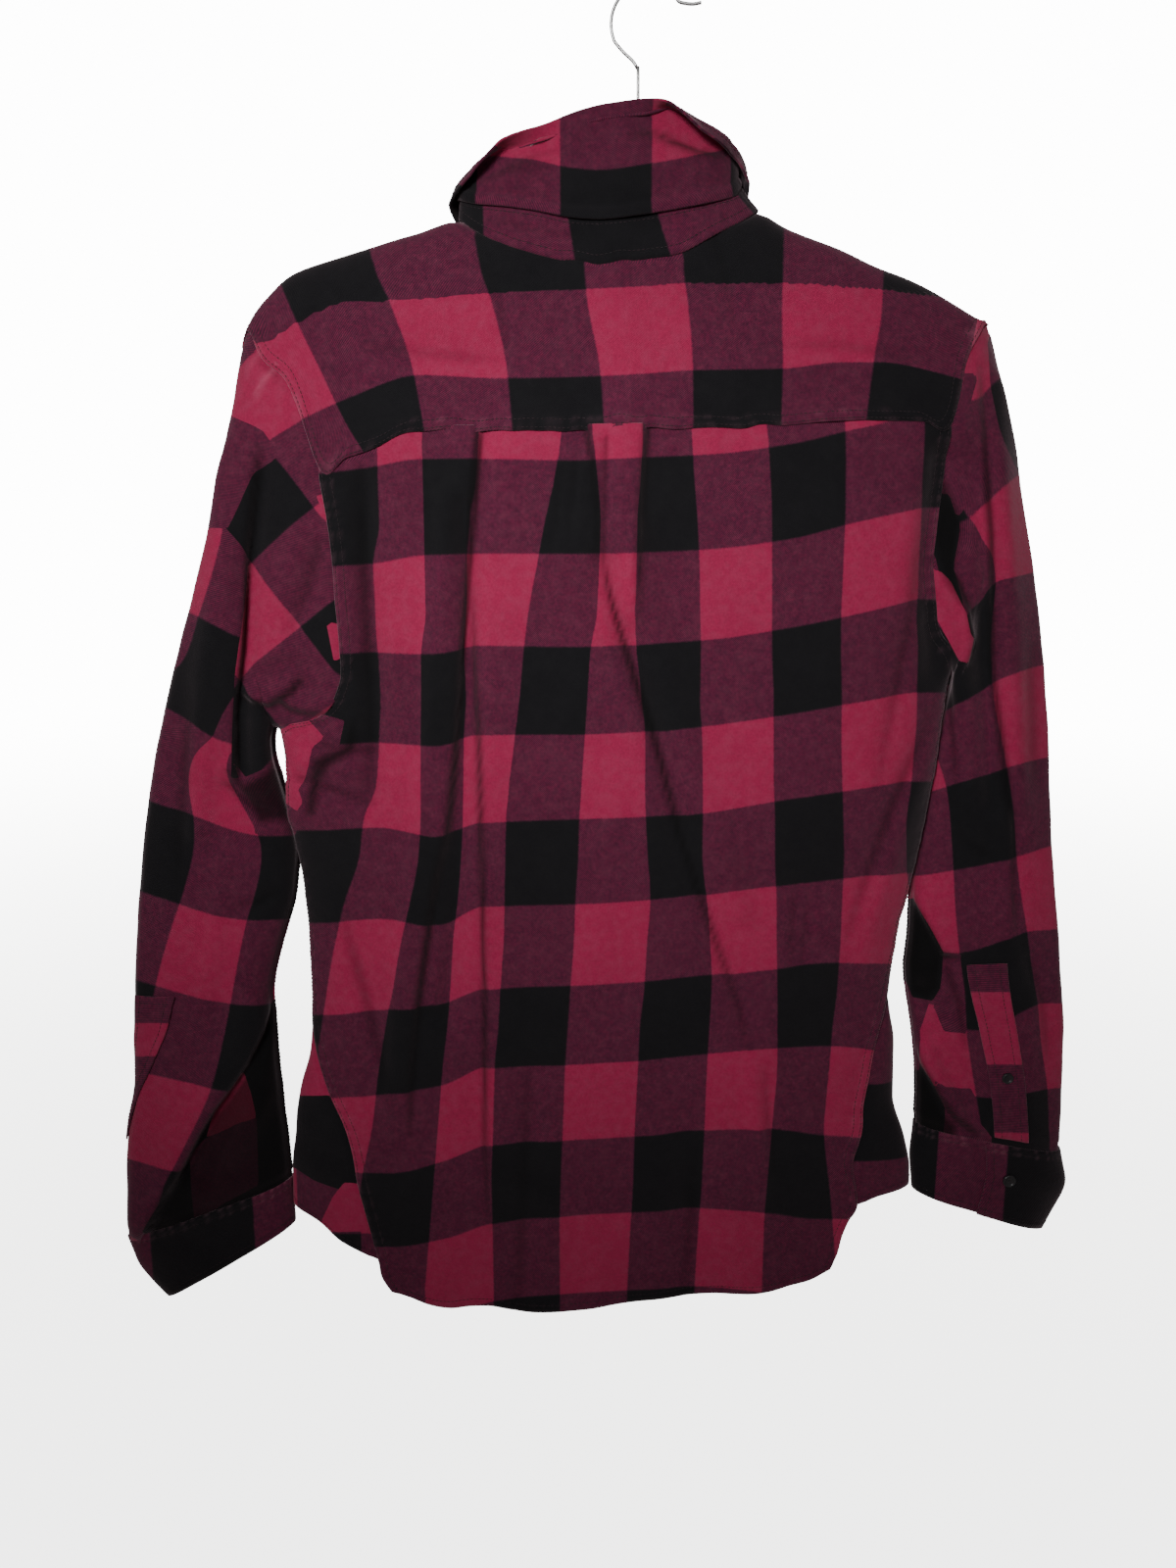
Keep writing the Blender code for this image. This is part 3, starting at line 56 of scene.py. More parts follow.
CLOTH = 1.2            # one layer of flannel
DOUBLE_CLOTH = 2.0     # stand and cuffs are two layers with a stiffener
LEAF_CLOTH = 1.6
LAYER_GAP = 0.45       # air between a strip and the panel that it lies on

SHOULDER_ROUND = 60.0  # depth below the shoulder line at which the body is 0.7 of its full depth
NECK_CENTRE = -24.5
NECK_HALF_WIDTH = 100.5
NECK_BACK_R = 0.8165
NECK_FRONT_R = 0.866
NECK_CORNER_ANGLE = 131.0   # where the front yoke seams meet the neckline, from the centre back
YOKE_CORNER_ANGLE = 52.0    # where the columns from the yoke's lower corners meet the neckline

COLLAR_CENTRE = -31.0
COLLAR_HALF_WIDTH = 92.2
COLLAR_BACK_DEPTH = 24.0
COLLAR_FRONT_DEPTH = 27.0
COLLAR_END = 191.0       # degrees: each end of the stand runs past the centre front
LEAF_END = 179.0
LAP_FROM = 158.0         # degrees: where the stand's ends begin to part
LAP_FADE = 14.0
LAP_SHARE = 0.7          # of a layer, by which each end leaves their middle surface
FLAT_FROM = 131.0        # degrees beyond which the leaf's points spread apart
STAND_LIFT = 0.6
STAND_SIDE_LIFT = 1.1    # more room over the shoulder line, where the stand rises from a level seam
SIDE_SHARPNESS = 6
LEAF_LIFT = 0.9
ROLL_RADIUS = 2.2
SHORTEST_ROLL = 4.0
LEAF_CLEAR_OF_BODY = 4.6
LEAF_LIES_FROM = 100.0   # degrees beyond which the leaf lies on the fronts
LEAF_LIES_FADE = 15.0

PLACKET_LEFT = -41.0
PLACKET_RIGHT = -13.0
UNDER_EDGE = -38.0       # the right front's own edge, under the placket
FRONT_LAYER = 1.1        # how far the two fronts part from the middle surface at the placket
LAYER_FADE_LEFT = 85.0   # the left front is back in the middle surface this far left of the origin
LAYER_FADE = 35.0

ACROSS_BACK = 22       # steps along the back yoke seam
ACROSS_SHOULDER = 6    # steps along each front yoke seam
FRONT_NECK = 4         # steps along the left front's part of the neckline
PLACKET_STEPS = 3
ARMHOLE_YOKE = 4       # steps down the yoke's part of the back armhole
ARMHOLE_OVER = 2       # steps down the yoke's part of the front armhole
ARMHOLE_DOWN = 7       # steps down the rest of the armhole, back or front
SIDE_STEPS = {"left": 14, "right": 12}   # steps down each side seam
HEM_UP = {"left": 2, "right": 4}         # steps of the back hem that turn up toward each side seam
HEM_STEPS = 30
FACING_RISE = 2.5      # folds fade out toward the edges of the body and the sleeves
FACING_START = 0.3
SLEEVE_STEPS = 2       # rows from one sleeve ring to the next
RISE_STEPS = 3         # rows of the leaf below its roll, over it and past it
ROLL_STEPS = 3
FLAP_STEPS = 4
FRONT_FOLD_SHARE = 0.6
RELAX_ROUNDS = 40
Q_LENGTH = 360.0       # millimetres of cloth to one step of q at the middle of the back

CUFF_LAP = 0.05        # share of a turn that a cuff's outer end laps over its inner one
CUFF_LIFTED = 0.13     # share of a turn by which the lift of each lapping end has faded out
CUFF_LIFT_FADE = 0.08
CUFF_LIFT_SHARE = 0.55   # of a layer, by which each lapping end leaves their middle surface
CUFF_COLUMNS = 24
CUFF_STEPS = 2
SIDES = ("left", "right")
LAP_AT = {"left": 0.93, "right": 0.215}

BUTTON_TOP_Z = -268.0
BUTTON_PITCH = 89.0
BUTTON_COUNT = 7

WIRE_RADIUS = 1.1
HOOK_RADIUS = 24.0
HOOK_CENTRE_X = 0.3
HOOK_SWEEP = (33.0, 200.0)   # degrees
HOOK_STEPS = 20
NECK_WIRE_X = -5.8
LEFT_ARM_X = (-134.0, -224.0)   # where each arm lies right under the cloth
RIGHT_ARM_X = (207.0, 84.0)
ARM_STEPS = 9
WIRE_UNDER_CLOTH = 2.2   # air between the hanger's arms and the cloth that hangs on them
WRAP_AIR = 0.5
WRAP_TURNS = 2.2
WRAP_PITCH = 3.4
WRAP_STEPS = 22
WRAP_START_Z = -112.5

# The hanger is one wire. These are its bends, in order along it, as (x, y, z).
HOOK_TIP = ((35.0, 0, -10.3), (30.0, 0, -11.2), (25.0, 0, -10.9))
HANGER_NECK = (
    (-21.2, 0, -33.5), (-15.6, 0, -39.5), (-9.6, 0, -44.6), (-6.6, 0, -49.0), (NECK_WIRE_X, 0, -54.0),
    (NECK_WIRE_X, 0, -115.5), (-7.2, 0, -119.9), (-11.5, 0, -122.4),
)
HANGER_BAR = (
    (-232.0, 0, -179.0), (-235.0, 0, -184.5), (-232.5, 0, -189.5), (-226.0, 0, -191.5),
    (-100.0, 0, -198.5), (20.0, 0, -205.5), (206.0, 0, -213.6),
    (213.0, 0, -213.2), (217.0, 0, -208.9), (215.0, 0, -204.2),
)
WRAP_LEAD = ((30.0, -1.0, -129.0), (6.0, -2.6, -118.2))

# Shoulder line. Between the neck's sides the line is the crown of the form that the neckline lies on.
SHOULDER_LINE = (
    # x, z
    (-276, -224), (-270, -208), (-258, -192), (-237, -176), (-206, -166), (-154, -151), (-128, -144),
    (-118, -143.5), (-110, -141), (-92, -128), (-77, -111), (-60, -88), (-41, -63), (-20, -54), (0, -71),
    (14, -91), (26, -107), (41, -121), (57, -132), (68, -137), (76, -138.5), (95, -148), (126, -159),
    (157, -172), (188, -184), (209, -195), (224, -203), (235, -209),
)

# Flattened tube of the body. Above the underarms its edges lie out in the sleeves.
BODY_TUBE = (
    # z, left edge, right edge, half depth
    (-982, -270, 207, 21), (-889, -274, 214, 22), (-847, -274, 217, 23), (-816, -270, 211, 24),
    (-780, -265, 200, 25), (-733, -253, 198, 26), (-692, -250, 192, 26), (-651, -250, 195, 27),
    (-609, -252, 203, 27), (-568, -258, 210, 28), (-552, -262, 212, 28), (-516, -261, 217, 29),
    (-480, -265, 220, 29), (-443, -272, 224, 30), (-381, -299, 260, 30), (-298, -335, 294, 31),
    (-226, -346, 302, 32), (-50, -346, 302, 32),
)

BACK_YOKE_SEAM = (
    # x, z
    (-223, -303), (-201, -297), (-183, -291), (-169, -283), (-151, -280), (-90, -280), (0, -279),
    (81, -277), (151, -273), (209, -274),
)

BACK_HEM = (
    # x, z
    (-205, -913), (-202, -930), (-195, -941), (-182, -945), (-167, -951), (-150, -955), (-126, -951),
    (-101, -955), (-77, -958), (-40, -955), (-15, -950), (21, -945), (61, -940), (82, -942), (102, -941),
    (124, -934), (143, -928), (155, -920), (160, -904), (163, -889), (169, -875), (173, -866),
)

# Seams below the yoke: the part of the body that they lie on, then points (x, z).
FRONT_HEM = {
    "left": (
        ("back", (-205, -913), (-231, -900), (-257, -880)),
        ("edge", (-274, -867)),
        ("front", (-258, -870), (-227, -887), (-185, -908), (-123, -922), (-41, -926)),
    ),
    "right": (
        ("back", (173, -866), (188, -861), (203, -857)),
        ("edge", (215, -852)),
        ("front", (203, -858), (172, -879), (126, -903), (64, -920), (-12, -926), (-38, -926)),
    ),
}

SIDE_SEAM = {
    "left": (
        ("edge", (-264, -490), (-262, -520), (-258, -568), (-250, -651), (-250, -702)),
        ("back", (-245, -749), (-231, -787), (-221, -827), (-217, -857), (-209, -893), (-205, -913)),
    ),
    "right": (
        ("edge", (224, -443), (217, -506), (210, -568), (198, -635), (192, -676)),
        ("back", (188, -700), (183, -723), (178, -756), (174, -793), (168, -836), (170, -856),
            (173, -866)),
    ),
}

# The armholes run from the shoulder point to the underarm, once down the back and once down the front.
YOKE_ARMHOLE = {
    # points (x, z)
    ("left", "back"): (
        (-276, -224), (-260, -231), (-246, -241), (-237, -261), (-230, -284), (-223, -303),
    ),
    ("left", "front"): ((-276, -224), (-264, -228), (-250, -236)),
    ("right", "back"): ((235, -209), (226, -217), (217, -234), (212, -254), (209, -274)),
    ("right", "front"): ((235, -209), (226, -212), (215, -222)),
}

PANEL_ARMHOLE = {
    ("left", "back"): (
        ("back", (-223, -303), (-219, -335), (-216, -370), (-215, -406), (-214, -436), (-217, -458),
            (-228, -472), (-242, -483)),
        ("edge", (-264, -490)),
    ),
    ("left", "front"): (
        ("front", (-250, -236), (-236, -262), (-223, -303), (-218, -350), (-223, -400), (-234, -440),
            (-247, -470)),
        ("edge", (-264, -490)),
    ),
    ("right", "back"): (
        ("back", (209, -274), (207, -310), (205, -345), (204, -370), (208, -396), (215, -421)),
        ("edge", (224, -443)),
    ),
    ("right", "front"): (
        ("front", (215, -222), (204, -252), (196, -293), (192, -340), (192, -381), (200, -417),
            (214, -437)),
        ("edge", (224, -443)),
    ),
}

# Each ring of a sleeve or cuff is a flattened tube between its outer and its inner edge.
SLEEVE = {
    # outer x, outer z, inner x, inner z, half depth, centre y
    "left": (
        (-290, -282, -268, -488, 20, 0), (-306, -344, -270, -496, 20, 0), (-335, -430, -270, -512, 20, 3),
        (-360, -509, -265, -542, 20, 10), (-374, -574, -258, -579, 19, 10),
        (-381, -631, -263, -623, 18, 5), (-387, -693, -281, -688, 17, 1), (-391, -765, -280, -754, 16, 0),
        (-403, -822, -277, -808, 15, 0), (-409, -901, -275, -850, 14, 0),
    ),
    "right": (
        (247, -244, 227, -451, 20, 4), (267, -316, 225, -468, 20, 9), (282, -373, 221, -494, 20, 13),
        (294, -431, 216, -524, 20, 14), (304, -498, 213, -559, 19, 14), (312, -576, 208, -602, 18, 12),
        (318, -627, 207, -640, 17, 6), (323, -672, 205, -677, 16, 3), (328, -714, 211, -715, 15, 0),
        (331, -759, 217, -756, 14, 0), (334, -825, 219, -802, 14, 0),
    ),
}

CUFF = {
    "left": (
        (-409, -901, -275, -850, 14, 0), (-402, -927, -275, -869, 13, 0), (-381, -955, -275, -889, 12, 0),
    ),
    "right": (
        (334, -825, 219, -802, 14, 0), (341, -854, 218, -830, 14, 0), (326, -893, 221, -859, 13, 0),
    ),
}

STAND_TOP = (
    # angle from the centre back, z
    (-189, -208), (-180, -207), (-165, -191), (-150, -165), (-131, -141), (-110, -130), (-90, -127),
    (-60, -132), (-30, -138), (-10, -144), (0, -145), (20, -141), (45, -134), (80, -124), (90, -121),
    (110, -125), (131, -138), (150, -162), (165, -191), (180, -207), (189, -208),
)

# The leaf stands up at the back. Toward the sides it rolls over, and in front it lies down.
LEAF = (
    # angle, height of the crest, turn of the roll in degrees, length past the roll
    (-176, -198, 176, 62), (-165, -183, 176, 60), (-150, -157, 176, 54), (-131, -134, 176, 44),
    (-112, -124, 172, 26), (-90, -122, 165, 12), (-69, -116, 150, 7), (-51, -107, 120, 7),
    (-38, -98, 60, 7), (-22, -90, 15, 6), (-8, -82, 0, 6), (3, -78, 0, 6), (17, -76, 20, 6),
    (31, -80, 110, 6), (43, -87, 150, 8), (58, -94, 165, 8), (75, -102, 168, 9), (90, -110, 168, 11),
    (112, -119, 172, 24), (131, -130, 176, 44), (150, -155, 176, 54), (165, -183, 176, 60),
    (176, -198, 176, 62),
)
POINT_SPREAD = 20.0   # degrees by which the leaf's free edge falls back from the centre front

# Long soft folds: half width, how far each stands out, and its path (x, z) down the cloth.
BACK_FOLDS = (
    (9, -6.0, ((-124, -330), (-122, -400), (-125, -480), (-130, -560), (-138, -640), (-145, -700))),
    (8, 3.0, ((-136, -330), (-146, -430), (-155, -520), (-168, -600), (-180, -690), (-190, -780))),
    (11, -4.0, ((-27, -370), (-8, -430), (10, -490), (30, -560), (52, -620), (80, -700))),
    (12, 3.0, ((-6, -350), (12, -430), (32, -500), (52, -560), (72, -620))),
    (11, -4.5, ((-193, -320), (-192, -400), (-190, -470), (-196, -530))),
    (16, 5.0, ((-18, -276), (-18, -300), (-17, -340), (-12, -400))),
    (12, -9.0, ((206, -300), (202, -350), (203, -385), (213, -440))),
)

FRONT_FOLDS = (
    (12, 4.0, ((-150, -300), (-158, -420), (-168, -560), (-180, -700), (-190, -840))),
    (10, -4.0, ((-120, -330), (-124, -480), (-130, -640), (-140, -800))),
    (12, 4.0, ((110, -290), (120, -430), (128, -580), (134, -740), (136, -850))),
    (10, -4.0, ((84, -350), (92, -500), (98, -660), (100, -800))),
)

SLEEVE_FOLDS = {
    "left": (
        (9, -5.0, ((-258, -290), (-270, -350), (-279, -420), (-288, -480), (-291, -520))),
        (11, 4.0, ((-290, -320), (-304, -400), (-318, -480), (-328, -560))),
        (10, -4.0, ((-275, -700), (-300, -745), (-325, -790), (-352, -835))),
    ),
    "right": (
        (9, -5.0, ((222, -260), (230, -330), (240, -400), (252, -470), (262, -540))),
        (11, 3.5, ((246, -300), (258, -380), (268, -460), (277, -540))),
        (9, -4.0, ((215, -690), (228, -725), (245, -765), (262, -795))),
    ),
}

SLEEVE_PLACKET = {
    # how far down the sleeve's rings, then both sides as shares of a turn from its outer edge
    "left": (
        (7.0, 0.07, 0.198), (7.35, 0.052, 0.176), (7.6, 0.024, 0.146), (7.85, -0.008, 0.112),
        (8.1, -0.04, 0.08), (8.45, -0.064, 0.056), (8.9, -0.09, 0.03),
    ),
    "right": (
        (7.8, 0.213, 0.295), (8.5, 0.209, 0.286), (9.3, 0.199, 0.275), (10.25, 0.181, 0.256),
        (10.9, 0.17, 0.245),
    ),
}


# ---- finer grids and seams

YOKE_DOWN = 8          # finer steps in place of each step of the plain grids
YOKE_ACROSS = 7
PANEL_DOWN = 9
BACK_ACROSS = 7
FRONT_ACROSS = 8
PLACKET_ACROSS = 4
SLEEVE_DOWN = 8
SLEEVE_ACROSS = 7
CUFF_DOWN = 5
CUFF_ACROSS = 5
STRIP_ROWS = 60
STRIP_ACROSS = 14
STAND_DOWN = 6
STAND_ACROSS = 5
LEAF_DOWN = 5
LEAF_ACROSS = 5

EYE = (-38.8, -860.0, -347.5)   # where one stands to see the back
LAYOUT_Y = -30.0
CHECK_UP = 51.5        # width of a check across the cloth, and its height along the cloth
CHECK_ACROSS = 63.3
YOKE_DEPTH = 32.0
STEP_EDGE = 2.2        # how sharply the cloth falls off the edge of a pressed fold
WARP_EASE = 0.002
RIM_ROUND = 0.35
UNEVEN = 1.1           # gentle unevenness of every hanging panel
EDGE_SLOPE = 3.5
PUCKER_SPREAD = 0.7
FRONT_SLEEVE_SHARE = 0.6
THREAD_RADIUS = 0.24
STITCH_PITCH = 3.1
STITCH_LENGTH = 2.3
STITCH_SHAPE = ((0.0, 0.35), (0.25, 1.0), (0.75, 1.0), (1.0, 0.35))   # shares of length and radius
STITCH_SIDE = (0.13, 0.97, 0.21)   # directions that no stitch and no wire runs in
WIRE_SIDE = (0.31, 0.88, 0.12)
SWELL_ACROSS = (97, 61, 43)        # periods of the gentle unevenness
SWELL_DOWN = (83, 57, 149)
RING_PITCH = 61.0      # width of a check round the collar

KINDS = {
    # raised, width of the band, reach past the seam, rows of stitches, pucker, lightening by wear and painted
    # highlight
    "over": (0.5, 8.5, 0.0, (1.8, 7.4), 0.42, 0.5),
    "under": (-0.9, 8.0, 3.0, (), 0.0, 0.0),
    "flat": (-0.5, 6.0, 2.0, (), 0.0, 0.0),
    "hem": (0.3, 7.5, 0.0, (6.2,), 0.30, 0.25),
    "edge": (0.12, 6.5, 0.0, (5.6,), 0.14, 0.06),
    "piping": (0.35, 5.0, 0.0, (5.6,), 0.30, 1.0),
    "tuck": (-2.1, 4.5, 4.0, (), 0.0, 0.0),
}

# Where the check's columns change on the back, from left to right, at growing depth.
BACK_STRIPES = (
    # z, then x of each change
    (-270, -245, -181, -151, -112, -54, -37, -2, 30, 81, 134, 188),
    (-310, -245, -181, -151, -115, -61, -32, -4, 33, 85, 136, 188),
    (-340, -245, -181, -151, -119, -68, -30, -6, 36, 87, 137, 189),
    (-370, -251, -187, -151, -123, -74, -31, -6, 38, 88, 137, 190),
    (-400, -251, -187, -151, -124, -80, -32, -6, 39, 89, 137, 190),
    (-430, -250, -186, -155, -126, -84, -37, -4, 40, 90, 138, 192),
    (-460, -249, -185, -156, -125, -87, -39, -1, 40, 92, 140, 193),
    (-490, -251, -187, -157, -127, -91, -41, 2, 42, 93, 141, 194),
    (-520, -253, -189, -158, -128, -95, -43, 2, 43, 94, 143, 193),
    (-550, -264, -200, -159, -129, -98, -45, 3, 44, 96, 145, 190),
    (-580, -269, -205, -162, -131, -99, -46, 5, 45, 97, 147, 192),
    (-610, -280, -216, -168, -134, -100, -48, 7, 48, 99, 147, 196),
    (-640, -288, -224, -175, -138, -101, -49, 5, 51, 100, 147, 200),
    (-680, -296, -232, -183, -141, -104, -52, 3, 53, 102, 146, 203),
    (-710, -302, -238, -190, -144, -106, -54, 0, 52, 103, 144, 205),
    (-740, -307, -243, -196, -148, -109, -56, -1, 51, 104, 143, 206),
    (-790, -314, -250, -203, -153, -111, -58, -3, 50, 102, 141, 206),
    (-840, -322, -258, -214, -158, -113, -60, -4, 49, 99, 147, 206),
    (-880, -326, -262, -219, -162, -113, -61, -6, 47, 98, 152, 207),
    (-930, -330, -266, -224, -167, -113, -61, -8, 45, 98, 157, 208),
)

# Heights at which the check's rows change on the back, at a few places across it.
BACK_ROWS = (
    # x, then z of each change
    (-230, -250, -310, -371, -432, -496, -558, -628, -700, -767, -829, -892, -958),
    (-190, -245, -305, -369, -430, -494, -556, -625, -696, -764, -830, -893, -958),
    (-150, -240, -299, -363, -431, -496, -562, -630, -692, -757, -820, -886, -953),
    (-113, -239, -299, -362, -425, -488, -552, -615, -679, -742, -806, -873, -941),
    (-50, -240, -300, -362, -426, -488, -550, -614, -677, -740, -802, -866, -934),
    (0, -238, -298, -361, -424, -486, -548, -611, -674, -737, -799, -863, -931),
    (45, -236, -296, -359, -421, -482, -545, -606, -669, -732, -794, -860, -928),
    (100, -230, -289, -352, -413, -474, -536, -600, -664, -727, -793, -864, -933),
    (140, -221, -280, -342, -405, -467, -530, -595, -659, -725, -798, -869, -938),
    (190, -211, -270, -331, -393, -458, -522, -590, -660, -730, -801, -869, -938),
)

# The yoke is cut the other way round, with the cloth's length across the shoulders.
YOKE_STRIPES = (
    # z, then x of each change
    (-100, -262, -196, -121, -46, 22, 86, 160, 225),
    (-180, -243, -178, -109, -41, 24, 89, 155, 221),
    (-200, -236, -169, -102, -39, 27, 89, 155, 220),
    (-240, -218, -156, -93, -31, 31, 91, 151, 216),
    (-275, -202, -150, -90, -28, 32, 91, 148, 212),
    (-305, -184, -146, -88, -26, 33, 91, 146, 210),
)

YOKE_ROWS = (
    # x, then z of the red row's upper and lower edges
    (-250, -222, -281), (-233, -212, -274), (-200, -199, -260), (-150, -197, -245), (-100, -193, -247),
    (-40, -191, -246), (0, -189, -244), (30, -187, -242), (90, -187, -241), (130, -189, -237),
    (155, -191, -237), (200, -197, -245), (220, -203, -251),
)

# The left one has a second set, for its turned upper arm.
SLEEVE_CELLS = {
    # x, z, column, row
    "left": (
        (
            (-287, -342, 0, 1), (-297, -336, -0.2, 1), (-274, -350, 0.28, 1), (-309, -405, 0, 2),
            (-284, -418, 0.5, 2), (-326, -440, 0, 2.5), (-305, -489, 1, 3), (-334, -470, 0.42, 3),
            (-290, -461, 1, 2.62), (-323, -547, 1, 4), (-277, -562, 2, 4), (-294, -500, 2, 3.1),
            (-352, -537, 0.45, 4), (-338, -614, 1, 5), (-289, -626, 2, 5), (-362, -605, 0.55, 5),
            (-258, -625, 2.6, 5), (-360, -677, 1, 6), (-305, -691, 2, 6), (-270, -691, 2.65, 6),
            (-376, -746, 1.05, 7), (-323, -757, 2, 7), (-283, -760, 2.75, 7), (-358, -825, 2, 8),
            (-383, -820, 1.5, 8), (-380, -885, 2, 9), (-280, -281, 0, 0), (-250, -562, 2.55, 4),
        ),
        (
            (-213, -262, 0, -1), (-300, -268, -1, 0), (-258, -290, 0, 0), (-226, -331, 1, 0),
            (-305, -326, 0, 1), (-271, -368, 1, 1), (-194, -377, 2, 0), (-239, -412, 2, 1),
            (-316, -404, 1, 2), (-284, -449, 2, 2), (-207, -456, 3, 1), (-250, -490, 3, 2),
            (-318, -488, 2, 3), (-285, -528, 3, 3), (-236, -204, -1, -1),
        ),
    ),
    "right": (
        (
            (220, -338, 1, 1), (207, -300, 1, 0.5), (212, -262, 1, 0), (239, -363, 1, 1.45),
            (243, -381, 1, 2), (230, -252, 2, 0), (237, -276, 2, 0.35), (253, -309, 2, 1),
            (267, -375, 1.93, 2), (246, -451, 1, 3), (282, -438, 1.85, 3), (260, -512, 1, 4),
            (287, -505, 1.55, 4), (272, -578, 1, 5), (295, -570, 1.5, 5), (284, -635, 1, 6),
            (305, -633, 1.45, 6), (297, -692, 1, 7), (312, -691, 1.35, 7), (309, -760, 1, 8),
            (319, -759, 1.25, 8), (211, -472, 0.25, 3), (218, -526, 0, 4), (227, -588, 0, 5),
            (235, -651, 0, 6), (245, -712, 0, 7), (219, -692, -0.5, 7), (203, -592, -0.5, 5),
            (262, -767, 0.1, 8), (231, -758, -0.4, 8), (224, -260, 1.6, 0), (237, -247, 2.3, 0),
            (225, -402, 0.62, 2),
        ),
    ),
}

ARM_CREASE = (
    # x, z
    (-310, -240), (-304, -290), (-290, -338), (-274, -366), (-281, -410), (-288, -450), (-295, -524),
)
ELBOW_Z = -519.0
CUFF_EDGES = {
    # x of each change of column on the back of the cuff, and the first column
    "left": ((-420, -380, -298, -262), 1), "right": ((190, 229, 283, 340), 0),
}
FRONT_STRIPE_X = {"left": 193.5, "right": 219.0}
FRONT_ROW_Z = -252.0
FRONT_SAG = 6.0

